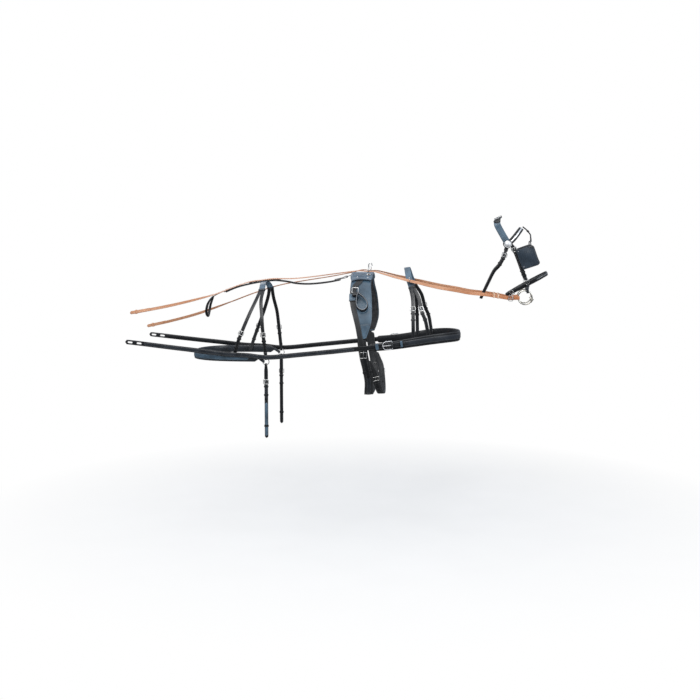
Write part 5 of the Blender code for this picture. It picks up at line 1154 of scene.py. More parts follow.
CHEEK_SHARES = ((0.300, 78.0), (0.36, 78.5), (0.45, 79.0), (0.55, 82.5), (0.640, 88.0))
CHEEK_KEEPERS = ((0.026, 0.0045, 0.009), (0.150, 0.0030, 0.009), (0.172, 0.0030, 0.007))
BIT_RING_SHARES = (0.79124, 0.42239, -0.26502)
BIT_STRAP_SHARES = ((0.598, 85.3), (0.630, 87.3), (0.655, 88.6), (0.676, 89.6), (0.700, 90.5))
BIT_STRAP_TURN = 70.0
BIT_STRAP_SLOPE = 84.0
BIT_STRAP_THICKNESS = 0.003
BIT_LAP = 0.044
RING_STEPS = 24
KEEPER_LOW = -0.0025


def bit_ring_centre(side):
    """The bit hangs at the corner of the mouth: shares down, out from and forward of the head."""
    down, out, forward = BIT_RING_SHARES
    centre = POLL + HEAD_DOWN * down * HEAD_LENGTH + HEAD_FRONT * forward * HEAD_DEPTH
    centre.y = -out * HEAD_WIDTH
    return flip(centre, side)


def ring_seat(centre, radius, along, out, fold_radius, slack):
    """Where a strap's turned end starts, so that its fold holds the ring's wire."""
    return centre - along * radius + along * slack - out * fold_radius


def fold_for(wire, thickness):
    return wire + WIRE_GAP + thickness / 2


def slack_for(radius, width, wire, slant=0.0):
    """How far a straight fold stands off a round ring's wire that crosses it at a slant."""
    bow = radius - math.sqrt(radius**2 - (width / 2) ** 2)
    slant = math.radians(slant)
    crossing = slant + math.asin(width / 2 / radius)
    bow += radius * (1 - math.cos(math.pi / RING_STEPS))
    return bow + width / 2 * math.tan(slant) + wire * (1 / math.cos(crossing) - 1) + WIRE_GAP / 3


def narrowed(left, right, width):
    """A row of a strap at another width."""
    middle = (left + right) / 2
    return [middle + (edge - middle).normalized() * width / 2 for edge in (left, right)]


def tab_rows(frames, width, tab_width, wire, near):
    """Rows of a strap that is narrowed where it turns round a ring's wire."""
    rows = []
    for (left, right), (point, _, _) in zip(rows_of(frames, width), frames):
        grown = clamped(((point - wire).length - near) / width)
        rows.append(narrowed(left, right, tab_width + (width - tab_width) * grown))
    return rows


def open_for(slack, wire):
    """How long a turned end stays open to clear the wire inside it."""
    return 2 * slack + wire + 2 * WIRE_GAP


def add_cheekpieces():
    route = fine(stations_on(on_head, CHEEK_SHARES, LAYER_TWO))
    for tag, side in SIDES:
        frames = for_side(route, side)
        cheek = Skin().frames(frames, CHEEK_WIDTH, STRAP_THICKNESS, tips=(0.006, 0.008))
        cheek.make("cheekpiece_leather_" + tag, BLACK, replaces=["cheekpiece_" + tag])
        trim = Skin().keepers(frames, CHEEK_WIDTH, KEEPER_LOW, CHEEK_KEEPERS)
        trim.make("cheek_keepers_" + tag, EDGE_LEATHER)
        clasp = Skin().buckle_at(frames, 0.010, CHEEK_WIDTH, 0.023, 0.0042)
        clasp.make("cheek_top_buckle_" + tag, NICKEL)


def add_bit_straps():
    """The strap from the cheek buckle round the bit ring; its billet lies on the cheekpiece."""
    fold = fold_for(BIT_WIRE, BIT_STRAP_THICKNESS) + WIRE_GAP
    slope, turn = math.radians(BIT_STRAP_SLOPE), math.radians(BIT_STRAP_TURN)
    along = Vector((math.cos(slope), 0.0, -math.sin(slope)))
    slant = abs(180.0 - BIT_STRAP_SLOPE - BIT_STRAP_TURN)
    slack = slack_for(BIT_RING_RADIUS, BIT_STRAP_WIDTH, BIT_WIRE, slant)
    slack += WIRE_GAP / 2
    over = LAYER_TWO - LAYER_GAP / 2
    top = LAYER_THREE - (STRAP_THICKNESS - BIT_STRAP_THICKNESS) / 2
    near = [on_head(d, a, lift) for (d, a), lift in zip(BIT_STRAP_SHARES, (top, top, top, over, over))]
    for tag, side in SIDES:
        out = outward(side)
        wire = bit_ring_centre(side) + Vector((math.cos(turn), 0.0, math.sin(turn))) * BIT_RING_RADIUS
        seat = wire + along * slack - out * fold
        lead = seat - along * open_for(slack, BIT_WIRE)
        base = fine(sided(near, side) + [(lead, out), (lead.lerp(seat, 0.2), out), (seat, out)], 0.007)
        base[-3:] = [(point, along, out) for point, _, _ in base[-3:]]
        frames = turned_end(base, fold, BIT_LAP, BIT_STRAP_THICKNESS + LAYER_GAP, open_for(slack, BIT_WIRE))
        strap = Skin().frames(frames, BIT_STRAP_WIDTH, BIT_STRAP_THICKNESS, tips=(0.007, 0.005))
        strap.make("bit_strap_leather_" + tag, SHEEN_FAINT, replaces=["bit_strap_" + tag])
        clasp = Skin().buckle_at(base, 0.036, CHEEK_WIDTH, 0.028, 0.0044, 0.001, wire=0.0019,
                                 front_round=True)
        clasp.make("cheek_buckle_" + tag, NICKEL)
        trim = Skin().keepers(base, BIT_STRAP_WIDTH, -0.0018, [(0.062, 0.0060, 0.008)])
        trim.make("bit_strap_keeper_" + tag, EDGE_LEATHER)


NOSEBAND_SHARE = 0.683
NOSEBAND_STEPS = 60


def add_noseband():
    """Wide over the nose with a raised welt, narrow behind the jaw with its buckle."""
    stations = [on_head(NOSEBAND_SHARE, 360.0 * i / NOSEBAND_STEPS, LAYER_ONE) for i in range(NOSEBAND_STEPS)]
    frames = frames_of(stations, closed=True)

    def width(share):
        behind = max(0.0, -math.cos(2 * math.pi * share))
        return NOSEBAND_WIDTH + (CURB_WIDTH - NOSEBAND_WIDTH) * behind

    band = Skin().strap(rows_of(frames, width), STRAP_THICKNESS, closed=True)
    band.make("noseband_leather", BLACK, replaces=["noseband"])
    front = frames[-12:] + frames[:13]
    raised = [(p + o * (STRAP_THICKNESS / 2 + 0.0005), a, o) for p, a, o in front]
    Skin().frames(raised, 0.010, 0.0022, tips=(0.010, 0.010), crown=0.0008).make("noseband_welt", SHEEN_FAINT)
    # A thin pale tube along the top of the welt: a painted highlight.
    line = Skin().tube(lifted(front[1:-1], STRAP_THICKNESS / 2 + 0.0017), 0.0007, sides=6)
    line.make("noseband_painted_highlight", PAINTED_HIGHLIGHT_LINE)
    Skin().buckle_at(frames, 0.271, CURB_WIDTH, 0.022, 0.0040).make("noseband_buckle", NICKEL)
    trim = Skin().lap(frames, 0.262, 0.330, STRAP_THICKNESS + 0.0004, CURB_WIDTH - 0.002, 0.003,
                      tips=(0.0, 0.008), punched=1.0)
    trim.keepers(frames, CURB_WIDTH, KEEPER_LOW, [(0.290, 0.0060, 0.008)])
    trim.make("noseband_billet", BLACK)


THROAT_SHARES = ((0.292, 89.8), (0.322, 92.0), (0.350, 96.5), (0.388, 106.0))
THROAT_FREE_SHARES = (
    (0.478, 0.150, 0.092), (0.457, 0.120, -0.010), (0.439, 0.080, -0.103), (0.432, 0.036, -0.142),
)
THROAT_KEEPERS = ((0.046, 0.0064, 0.008), (0.083, 0.0064, 0.008))
BILLET_RISE = STRAP_THICKNESS / 2 + 0.0022
BILLET_THICKNESS = 0.0034


def add_throatlash():
    """From the near throat billet, under the throat, to the far one."""
    near = stations_on(on_head, THROAT_SHARES, LAYER_TWO)
    for shares in THROAT_FREE_SHARES:
        far_out = shares[1] / THROAT_FREE_SHARES[0][1]
        near.append((side_view(*shares), Vector((-0.25, -far_out, far_out - 1.0)).normalized()))
    frames = fine(near + mirrored(near)[::-1])
    strap = Skin().frames(frames, THROATLASH_WIDTH, STRAP_THICKNESS, tips=(0.006, 0.006))
    strap.make("throatlash_leather", BLACK, replaces=["throatlash"])
    for tag, side in SIDES:
        way = from_side(frames, side)
        clasp = Skin().buckle_at(way, 0.024, THROATLASH_WIDTH, 0.021, 0.0046, 0.001)
        clasp.make("throatlash_buckle_" + tag, NICKEL)
        trim = Skin().lap(way, 0.012, 0.098, BILLET_RISE, THROATLASH_WIDTH - 0.001, BILLET_THICKNESS,
                          tips=(0.0, 0.008), punched=1.0)
        trim.keepers(way, THROATLASH_WIDTH, KEEPER_LOW, THROAT_KEEPERS)
        trim.make("throatlash_billet_" + tag, BLACK)


BLINKER_LENGTH = 0.106
BLINKER_HEIGHT = 0.104
BLINKER_FLARE = math.radians(19.0)
BLINKER_CUP = 0.012
BLINKER_RISE_SHARE = 0.16
BLINKER_THICKNESS = 0.004
BLINKER_SHARES = (0.329, 0.529)
BLINKER_SET_SHARES = (0.45, 0.05)
BLINKER_DEGREES = 80.0
BLINKER_CORNER_SHARE = 0.22
BLINKER_CELLS = 24
BLINKER_RIVETS = ((0.10, 0.10), (0.10, 0.90), (0.80, 0.06))


def blinker_point(across, down, side):
    """A point of the blinker; across runs forward from the cheekpiece, down runs down the head."""
    corner = BLINKER_CORNER_SHARE
    inset = max(0.0, across - (1 - corner)) / corner
    squeeze = 1 - corner * (1 - math.sqrt(max(0.0, 1 - inset**2)))
    down = 0.5 + (down - 0.5) * squeeze
    start, end = BLINKER_SHARES
    point, _ = on_head(start + (end - start) * down, BLINKER_DEGREES,
                       LAYER_TWO + STRAP_THICKNESS / 2 + BLINKER_THICKNESS / 2 + LAYER_GAP)
    forward = HEAD_FRONT * math.cos(BLINKER_FLARE) + Vector((0.0, -math.sin(BLINKER_FLARE), 0.0))
    bulge = Vector((0.0, -1.0, 0.0)) * BLINKER_CUP * math.sin(math.pi * across)
    upper, lower = BLINKER_SET_SHARES
    back = HEAD_FRONT * CHEEK_WIDTH * (upper + (lower - upper) * down)
    point = point + back + forward * across * BLINKER_LENGTH + bulge * math.sin(math.pi * down)
    return flip(point + HEAD_DOWN * BLINKER_RISE_SHARE * BLINKER_HEIGHT * across, side)


def add_blinkers():
    """A stiff cupped blinker with a bound edge, two rows of stitches and rivets."""
    cells = BLINKER_CELLS
    for tag, side in SIDES:
        rows = [[blinker_point(j / cells, i / cells, side) for j in range(cells + 1)]
                for i in range(cells + 1)]
        plate = Skin().grid(rows, BLINKER_THICKNESS)
        plate.make("blinker_leather_" + tag, SHEEN_DARK, replaces=["blinker_" + tag])
        binding = Skin().tube(rim_of(rows), 0.0026, closed=True, sides=10)
        binding.make("blinker_binding_" + tag, EDGE_LEATHER)
        out = outward(side)
        thread, fittings = Skin(), Skin()
        for low in (2, 4):
            high = cells - low
            line = [rows[low][j] for j in range(low, high + 1)]
            line += [rows[i][high] for i in range(low + 1, high + 1)]
            line += [rows[high][j] for j in range(high - 1, low - 1, -1)]
            line = [point + out * (BLINKER_THICKNESS / 2 + 0.0001) for point in line]
            thread.stitches(line, [out] * len(line))
        thread.make("blinker_thread_" + tag, THREAD)
        for across, down in BLINKER_RIVETS:
            fittings.rivet(blinker_point(across, down, side) + out * BLINKER_THICKNESS / 2, out)
        fittings.make("blinker_rivets_" + tag, DARK_METAL)


STAY_RADIUS = 0.0032
STAY_TIP_SHARE = 0.90
STAY_ROOT_SHARES = (0.583, 0.0, 0.478)
STAY_FORK_SHARES = (0.6104, 0.0, 0.412)
STAY_BEND_SHARES = (0.6125, 0.084, 0.358)
STAY_STEP = 0.006


def add_winker_stay():
    """A rounded stay from the browband, forked to the top of each blinker."""
    root, fork, bend = (side_view(*shares)
                        for shares in (STAY_ROOT_SHARES, STAY_FORK_SHARES, STAY_BEND_SHARES))
    tip = blinker_point(STAY_TIP_SHARE, 0.0, 1) - HEAD_DOWN * (STAY_RADIUS + WIRE_GAP / 2)
    near = [(point, HEAD_FRONT) for point in (tip, (tip + bend) / 2 - HEAD_DOWN * 2 * STAY_RADIUS, bend)]
    route = smooth_route(near + [(fork, HEAD_FRONT)] + mirrored(near)[::-1], step=STAY_STEP)
    skin = Skin().tube([point for point, _ in route], STAY_RADIUS)
    middle = (root + fork) / 2 + HEAD_FRONT * STAY_RADIUS
    stem = [(point, HEAD_FRONT) for point in (root, middle, fork + HEAD_DOWN * STAY_RADIUS)]
    stem = [point for point, _ in smooth_route(stem, step=STAY_STEP)]
    skin.tube(stem, 1.2 * STAY_RADIUS)
    skin.make("winker_stay_leather", EDGE_LEATHER, replaces=["winker_stay"])
    tabs = Skin()
    for side in (1, -1):
        base, down = (blinker_point(STAY_TIP_SHARE, share, side) for share in (0.0, 0.10))
        out = outward(side)
        stations = [(flip(tip, side), out), (base + out * 0.0032, out), (down + out * 0.0040, out)]
        tabs.frames(fine(stations, step=0.004), 0.011, 0.0024, tips=(0.002, 0.004))
    wrap = (stem[len(stem) // 2], (fork - root).normalized(), HEAD_FRONT)
    tabs.keeper(wrap, 0.0090, -0.0040, 0.0040, 0.012).make("winker_stay_tabs", BLACK)


MOUTH_TURN = math.radians(-14.0)
MOUTH_DROOP = 0.016
MOUTH_STEPS = 40
EYE_OFFSET = 0.0013
JOINT_RADIUS = 0.0062
JOINT_WIRE = 0.0028


def add_bit():
    """Two loose rings, and a mouthpiece with a ring in its middle and an eye round each of them."""
    for tag, side in SIDES:
        wire = Skin().ring(bit_ring_centre(side), (0, 1, 0), BIT_RING_RADIUS, BIT_WIRE)
        wire.make("bit_ring_wire_" + tag, BRASSY, body="bit_ring_" + tag, replaces=["bit_ring_" + tag])
    wire = bit_ring_centre(1) + Vector((math.cos(MOUTH_TURN), 0.0, math.sin(MOUTH_TURN))) * BIT_RING_RADIUS
    wire.y += EYE_OFFSET
    half = abs(wire.y) - EYE_RADIUS
    points, radii = [], []
    for i in range(MOUTH_STEPS + 1):
        t = 2 * i / MOUTH_STEPS - 1
        points.append(Vector((wire.x, t * half, wire.z - MOUTH_DROOP * (1 - t**2))))
        radii.append(0.72 + 0.42 * abs(t) ** 1.5)
    bar = Skin().tube(points, MOUTHPIECE_RADIUS, radii=radii, sides=16)
    tangent = (-math.sin(MOUTH_TURN), 0.0, math.cos(MOUTH_TURN))
    for side in (1, -1):
        bar.ring(flip(wire, side), tangent, EYE_RADIUS, EYE_WIRE, sides=12, steps=32)
        neck = flip(wire, side) + Vector((0.0, side * (EYE_RADIUS + 0.002), 0.0))
        joint = [neck + Vector((0, side * reach, 0)) for reach in (-0.003, 0.0, 0.004)]
        bar.tube(joint, JOINT_RADIUS, sides=14)
    middle = Vector((wire.x, 0.0, wire.z - MOUTH_DROOP))
    bar.ring(middle, (1, 0, 0), JOINT_RADIUS, JOINT_WIRE, sides=10, steps=24)
    bar.make("mouthpiece_bar", BRASSY, body="mouthpiece", replaces=["mouthpiece"])


# Neck strap and breast collar
NECK_SHARES = ((0.155, 0.0), (0.158, 13.0), (0.166, 30.0), (0.180, 44.0))
NECK_REAR_SHARES = ((0.183, 55.0), (0.186, 70.0), (0.187, 85.0), (0.188, 100.0))
NECK_FRONT_SHARES = ((0.205, 57.0), (0.217, 72.0), (0.232, 88.0), (0.244, 105.0))
NECK_RING_SHARES = (0.169, 35.0)
BILLET_LOW = -STRAP_THICKNESS / 2
BILLET_STACK = STRAP_THICKNESS / 2 + 0.0044


def fork_root(end, share, width, shares):
    return root_of(end, share, width) + stations_on(on_body, shares)


def add_forked_strap(name, trunk, rear, width, branch_width):
    """A band over the spine that splits in two on each side; returns its branches and near routes."""
    near = stations_on(on_body, trunk)
    band = Skin().frames(fine(over_spine(near)), width, STRAP_THICKNESS, tips=(0.010, 0.010))
    band.make(name + "_band", SHEEN, replaces=[name])
    half = fine(near)
    route = fine(fork_root(half[-1], -0.25, width, rear))
    branches = Skin()
    for side in (1, -1):
        branches.frames(for_side(route, side), branch_width, STRAP_THICKNESS, tips=(0.0, 0.010))
    return branches, half, route


def billet(skins, frames, place, tail, width, keepers):
    """A buckle on a strap with the doubled leather below it and its keepers."""
    laps, trim, clasps = skins
    clasps.buckle_at(frames, place, width, 0.024, STRAP_THICKNESS / 2 + 0.0036, 0.0008, wire=0.0018)
    laps.lap(frames, place - 0.006, tail, BILLET_RISE, width - 0.0010, 0.0036, tips=(0.0, 0.009), punched=1.0)
    trim.keepers(frames, width, BILLET_LOW, [(spot, BILLET_STACK, 0.009) for spot in keepers])


def add_neck_strap():
    branches, trunk, rear = add_forked_strap("neck_strap", NECK_SHARES, NECK_REAR_SHARES, NECK_STRAP_WIDTH,
                                             NECK_BRANCH_WIDTH)
    front = fine(fork_root(trunk[-1], 0.25, NECK_STRAP_WIDTH, NECK_FRONT_SHARES))
    for side in (1, -1):
        branches.frames(for_side(front, side), NECK_BRANCH_WIDTH, STRAP_THICKNESS, tips=(0.0, 0.010))
    branches.make("neck_strap_branches", BLACK)
    for tag, side in SIDES:
        laps, trim, clasps = skins = Skin(), Skin(), Skin()
        billet(skins, for_side(rear, side), 0.141, 0.262, NECK_BRANCH_WIDTH, (0.168, 0.206))
        billet(skins, for_side(front, side), 0.157, 0.276, NECK_BRANCH_WIDTH, (0.184, 0.222))
        trim.keepers(for_side(trunk, side), NECK_STRAP_WIDTH, -0.0030, [(-0.010, 0.0030, 0.012)])
        laps.make("neck_billets_" + tag, BLACK)
        trim.make("neck_keepers_" + tag, EDGE_LEATHER)
        clasps.make("neck_buckles_" + tag, NICKEL)


COLLAR_HEIGHT_SHARES = (
    (0.026, -0.557), (0.077, -0.548), (0.139, -0.530), (0.194, -0.509), (0.254, -0.487),
    (0.311, -0.475), (0.360, -0.475),
)
COLLAR_REAR_SHARE = 0.026
COLLAR_SIDE_STEPS = 30
COLLAR_FRONT_STEPS = 44
WELT_STEPS = 120
WELT_SHARE = 0.40
TAB_RADIUS = NECK_RING_WIRE + 0.0018
TAB_HALF_WIDTH = 0.006


def flank(along, height):
    """Half width of the body at a height."""
    top = BODY_DEPTH * share_at(TOP_LINE_SHARES, along)
    bottom = BODY_DEPTH * share_at(BELLY_LINE_SHARES, along)
    power = share_at(TOP_ROUNDNESS, along) if height > (top + bottom) / 2 else LOWER_ROUNDNESS
    off = min(1.0, abs(height - (top + bottom) / 2) / ((top - bottom) / 2))
    return half_width(along) * (1 - off**power) ** (1 / power)


def upper_edge(along):
    """The collar's upper edge, where the body under it is widest."""
    return BODY_DEPTH * share_at(COLLAR_HEIGHT_SHARES, along) + COLLAR_HEIGHT / 2


def facing_out(places, lift, ends):
    """Stations lifted level off a run of places; ends gives the way ahead at a place on the middle line."""
    stations = []
    for i, place in enumerate(places):
        before, after = around(places, i)
        ahead = ends.get(i, after - before)
        out = Vector((ahead.y, -ahead.x, 0.0)).normalized()
        stations.append((place + out * lift, out))
    return stations


def collar_stations(lift):
    """The near half of the breast collar, from its rear end to the middle of the chest."""
    start, nose = CHEST_SHARES
    places = []
    for i in range(COLLAR_SIDE_STEPS):
        along = COLLAR_REAR_SHARE + (start - COLLAR_REAR_SHARE) * i / COLLAR_SIDE_STEPS
        places.append((along, -flank(along, upper_edge(along))))
    for i in range(COLLAR_FRONT_STEPS + 1):
        turn = math.pi / 2 * i / COLLAR_FRONT_STEPS
        along = start + (nose - start) * math.sin(turn) ** (2 / END_ROUNDNESS)
        places.append((along, -flank(start, upper_edge(along)) * math.cos(turn) ** (2 / END_ROUNDNESS)))
    places = [Vector((along * BODY_LENGTH, y, BODY_DEPTH * share_at(COLLAR_HEIGHT_SHARES, along)))
              for along, y in places]
    places[-1].y = 0.0
    return facing_out(places, lift, {len(places) - 1: Vector((0.0, 1.0, 0.0))})


def neck_ring_centre(side):
    point, out = on_body(*NECK_RING_SHARES, LAYER_ONE)
    flat = Vector((0.0, out.y, out.z)).normalized()
    rise = STRAP_THICKNESS / 2 + WIRE_GAP + NECK_RING_WIRE + NECK_RING_RADIUS
    return flip(point + flat * rise, side)


def add_neck_rings():
    """A ring for each rein on a sewn leather tab."""
    forward = Vector((1, 0, 0))
    for tag, side in SIDES:
        centre = neck_ring_centre(side)
        wire = Skin().ring(centre, forward, NECK_RING_RADIUS, NECK_RING_WIRE)
        wire.make("neck_ring_wire_" + tag, NICKEL, replaces=["neck_ring_" + tag])
        low = (flip(on_body(*NECK_RING_SHARES, LAYER_ONE)[0], side) - centre).normalized()
        grip = centre + low * NECK_RING_RADIUS
        across = low.cross(forward).normalized() * TAB_HALF_WIDTH
        rows = []
        for i in range(13):
            angle = math.radians(-20 - 220 * i / 12)
            p = grip - low * TAB_RADIUS * math.sin(-angle) + forward * TAB_RADIUS * math.cos(angle)
            rows.append([p - across, p + across])
        Skin().strap(rows, 0.0022, stitched=0.0).make("neck_ring_tab_" + tag, BLACK)


def add_breast_collar():
    """A thick folded collar with a raised layer sewn along its middle."""
    frames = frames_of(round_to_far(collar_stations(COLLAR_LIFT)))
    rear = COLLAR_END_HEIGHT / COLLAR_HEIGHT
    height = tapered(COLLAR_HEIGHT, rear, rear, 0.30)
    body = Skin().frames(frames, height, COLLAR_THICKNESS - 0.001, tips=(0.016, 0.016), crown=0.0022)
    body.make("breast_collar_body", BLACK, replaces=["breast_collar"])
    whole = length_of(frames)
    raised = piece_of(frames, 0.020, -0.020, COLLAR_THICKNESS / 2 + 0.0006)
    layer = Skin().frames(raised, tapered(0.030, 0.8, 0.8, 0.2), BILLET_THICKNESS, tips=(0.012, 0.012),
                          crown=0.0010)
    layer.make("breast_collar_layer", SHEEN_FAINT)
    welts = Skin()
    for sign in (-1, 1):
        line = []
        for i in range(WELT_STEPS):
            distance = 0.030 + (whole - 0.060) * i / (WELT_STEPS - 1)
            point, along, out = along_frames(frames, distance)
            side = out.cross(along).normalized() * sign * WELT_SHARE * height(distance / whole)
            line.append(point + side + out * (COLLAR_THICKNESS / 2 - 0.0016))
        welts.tube(line, 0.0013, sides=6)
    welts.make("breast_collar_welts", EDGE_LEATHER)
    Skin().edge_thread(raised, 0.030, BILLET_THICKNESS, 0.0042).make("breast_collar_thread", THREAD)


TRACE_SHARES = (
    (0.161, 0.0, -0.519), (0.139, 0.0, -0.527), (0.112, 0.0, -0.533), (0.076, 0.0, -0.542),
    (0.032, 0.492, -0.556), (0.0, 0.508, -0.563), (-0.042, 0.517, -0.573), (-0.113, 0.530, -0.592),
    (-0.224, 0.527, -0.620), (-0.318, 0.521, -0.644), (-0.370, 0.517, -0.646), (-0.423, 0.513, -0.633),
    (-0.507, 0.508, -0.624), (-0.602, 0.496, -0.600), (-0.720, 0.480, -0.572), (-0.834, 0.468, -0.543),
    (-0.890, 0.466, -0.530),
)
TRACE_RISES = (0.0, 0.16, 1.0, 0.18, 0.0)
BUCKLE_BAR_SHARE = 0.112
TRACE_SLOT_LENGTH = 0.030
TRACE_SLOT_HEIGHT = 0.010
TRACE_SLOTS = 2
TRACE_SLOT_PITCH = 0.055
TRACE_HOLES = (0.219, 0.269)
TRACE_HOLE = (
    (0.0024, 0.0), (0.0034, 0.0003), (0.0036, 0.0006), (0.0030, 0.0009), (0.0022, 0.0006), (0.0018, -0.0004),
)
TRACE_KEEPERS = ((0.026, 0.0068, 0.013), (0.170, 0.0050, 0.018))
TRACE_KEEPER_WALL = 0.0026
TONGUE_RADIUS = 0.0018
TONGUE_HOLE_LENGTH = 0.022
TONGUE_HOLE_HEIGHT = 0.008
BAR_RISE = 2 * TONGUE_RADIUS + 2 * WIRE_GAP + BUCKLE_WIRE
KNUCKLE = BUCKLE_WIRE + WIRE_GAP + TONGUE_RADIUS
BAR_STACK = BAR_RISE + KNUCKLE + TONGUE_RADIUS + WIRE_GAP - LAYER_GAP


def collar_face(along):
    """Distance of the breast collar's outer face from the middle plane."""
    return flank(along, upper_edge(along)) + COLLAR_LIFT + COLLAR_THICKNESS / 2


def band_face(height):
    """Distance of the back band's outer face from the middle plane, below the saddle's tip."""
    lift = (band_lift(BAND_SHARES[-1][0]) + UNDER_BAND_LIFT) / 2
    return flank(0.0, height) + lift + STRAP_THICKNESS / 2


def trace_stations():
    places = []
    for i, (along, out, height) in enumerate(TRACE_SHARES):
        point = side_view(along, out, height)
        if i < len(TRACE_RISES):
            point.y = -(collar_face(along) + LAYER_GAP + TRACE_THICKNESS / 2 + BAR_STACK * TRACE_RISES[i])
        if along == 0.0:
            point.y = -(band_face(point.z + TRACE_WIDTH / 2) + LAYER_GAP + TRACE_THICKNESS / 2)
        places.append(point)
    found = []
    for i, point in enumerate(places):
        before, after = around(places, i)
        found.append((point, outward_face(after - before)))
    return found


def buckle_bar(side):
    """The trace buckle's bar: its middle, the way its front end points, and outwards."""
    route = trace_stations()
    along = (route[3][0] - route[1][0]).normalized()
    bar = Vector((BUCKLE_BAR_SHARE * BODY_LENGTH, -(collar_face(BUCKLE_BAR_SHARE) + BAR_RISE), route[2][0].z))
    return [flip(vector, side) for vector in (bar, along, outward_face(along))]


def cut_slot(made, place, length, height, depth):
    """Cut a round-ended slot through a strap."""
    mesh = bpy.data.meshes.new("slot")
    shell = bmesh.new()
    bmesh.ops.create_cube(shell, size=1.0)
    bmesh.ops.scale(shell, vec=(length, height, depth), verts=shell.verts)
    upright = [edge for edge in shell.edges if abs(edge.verts[0].co.z - edge.verts[1].co.z) > depth / 2]
    bmesh.ops.bevel(shell, geom=upright, offset=0.49 * height, segments=6, affect="EDGES", profile=0.5)
    shell.to_mesh(mesh)
    shell.free()
    cutter = placed("slot", mesh)
    cutter.matrix_world = place
    hole = made.modifiers.new("slot", "BOOLEAN")
    hole.operation = "DIFFERENCE"
    hole.solver = "EXACT"
    hole.object = cutter
    bpy.context.view_layer.update()
    graph = bpy.context.evaluated_depsgraph_get()
    mesh = bpy.data.meshes.new_from_object(made.evaluated_get(graph))
    made.modifiers.clear()
    made.data = mesh
    bpy.data.objects.remove(cutter)


def add_traces():
    for tag, side in SIDES:
        frames = fine(sided(trace_stations(), side), 0.016)
        trace = Skin().frames(frames, TRACE_WIDTH, TRACE_THICKNESS, tips=(0.014, 0.012))
        trace = trace.make("trace_leather_" + tag, BLACK, replaces=["trace_" + tag])
        end, along, out = frames[-1]
        for i in range(TRACE_SLOTS):
            middle = end - along * (TRACE_SLOT_LENGTH + TRACE_SLOT_PITCH * i)
            place = to_world(middle, along, out)
            cut_slot(trace, place, TRACE_SLOT_LENGTH, TRACE_SLOT_HEIGHT, 4 * TRACE_THICKNESS)
        bar, tail, face = buckle_bar(side)
        hole = bar + tail * (WIRE_GAP + TONGUE_HOLE_LENGTH / 2 - BUCKLE_WIRE / 2)
        cut_slot(trace, to_world(hole, tail, face), TONGUE_HOLE_LENGTH + BUCKLE_WIRE, TONGUE_HOLE_HEIGHT,
                 10 * TRACE_THICKNESS)
        holes = Skin()
        for distance in TRACE_HOLES:
            point, _, normal = along_frames(frames, distance)
            holes.turned(TRACE_HOLE, point + normal * TRACE_THICKNESS / 2, normal, steps=16)
        holes.make("trace_holes_" + tag, EDGE_LEATHER)
        trim = Skin().keepers(frames, TRACE_WIDTH + 0.001, -0.0026, TRACE_KEEPERS, TRACE_KEEPER_WALL)
        trim.make("trace_keepers_" + tag, SHEEN)
        layer = Skin().lap(frames, 0.300, -0.110, TRACE_THICKNESS / 2 - 0.0001, TRACE_WIDTH - 0.009, 0.0012,
                           step=0.020, crown=0.0003, tips=(0.010, 0.010))
        layer.make("trace_layer_" + tag, SHEEN_FAINT)


def add_trace_buckles():
    """The frame with its bar under the trace, and the tongue through the trace."""
    over = LAYER_GAP + BAR_STACK * TRACE_RISES[3] + TRACE_THICKNESS + 5 * WIRE_GAP + BUCKLE_WIRE - BAR_RISE
    rest = over + BUCKLE_WIRE + 2 * WIRE_GAP + TONGUE_RADIUS
    through = TONGUE_HOLE_LENGTH * 0.95
    points = []
    for i in range(12, -1, -1):
        turn = math.radians(-170 + 21 * i)
        points.append((KNUCKLE * math.cos(turn), -KNUCKLE * math.sin(turn)))
    points += [(TONGUE_HOLE_LENGTH * 0.45, KNUCKLE * 1.9), (through, rest + TONGUE_RADIUS),
               ((through + TRACE_BUCKLE_LENGTH) / 2, rest + TONGUE_RADIUS),
               (TRACE_BUCKLE_LENGTH + BUCKLE_WIRE, rest)]
    for tag, side in SIDES:
        place = to_world(*buckle_bar(side))
        wire = Skin().wire_frame(place, TRACE_BUCKLE_LENGTH, TRACE_BUCKLE_HEIGHT, 2 * BUCKLE_WIRE,
                                 1.25 * BUCKLE_WIRE, front_round=True, rise=over, sides=14)
        wire.make("trace_buckle_frame_" + tag, SILVER, replaces=["trace_buckle_" + tag])
        tongue = Skin().tube([place @ Vector((x, 0.0, z)) for x, z in points], TONGUE_RADIUS, sides=10)
        body = "trace_tongue_" + tag
        tongue.make(body + "_wire", SILVER, body=body, replaces=[body])


# Reins
NEAR_REIN = (
    (0.841, -0.079, -0.092), (0.783, -0.090, -0.082), (0.705, -0.105, -0.070), (0.618, -0.120, -0.061),
    (0.532, -0.134, -0.045), (0.446, -0.140, -0.031), (0.366, -0.138, -0.014), (0.320, -0.132, -0.003),
    (0.267, -0.122, 0.010), (0.212, -0.113, 0.022), (0.176, -0.107, 0.030), (0.109, -0.094, 0.048),
    (0.060, -0.079, 0.060), (0.022, -0.075, 0.066), (-0.028, -0.077, 0.064), (-0.087, -0.079, 0.058),
    (-0.206, -0.078, 0.042), (-0.326, -0.074, 0.026), (-0.431, -0.070, 0.016), (-0.551, -0.066, 0.014),
    (-0.618, -0.064, 0.006), (-0.696, -0.066, -0.006), (-0.798, -0.072, -0.040), (-0.895, -0.082, -0.078),
    (-1.037, -0.100, -0.117), (-1.189, -0.120, -0.152), (-1.346, -0.140, -0.182), (-1.407, -0.145, -0.192),
)
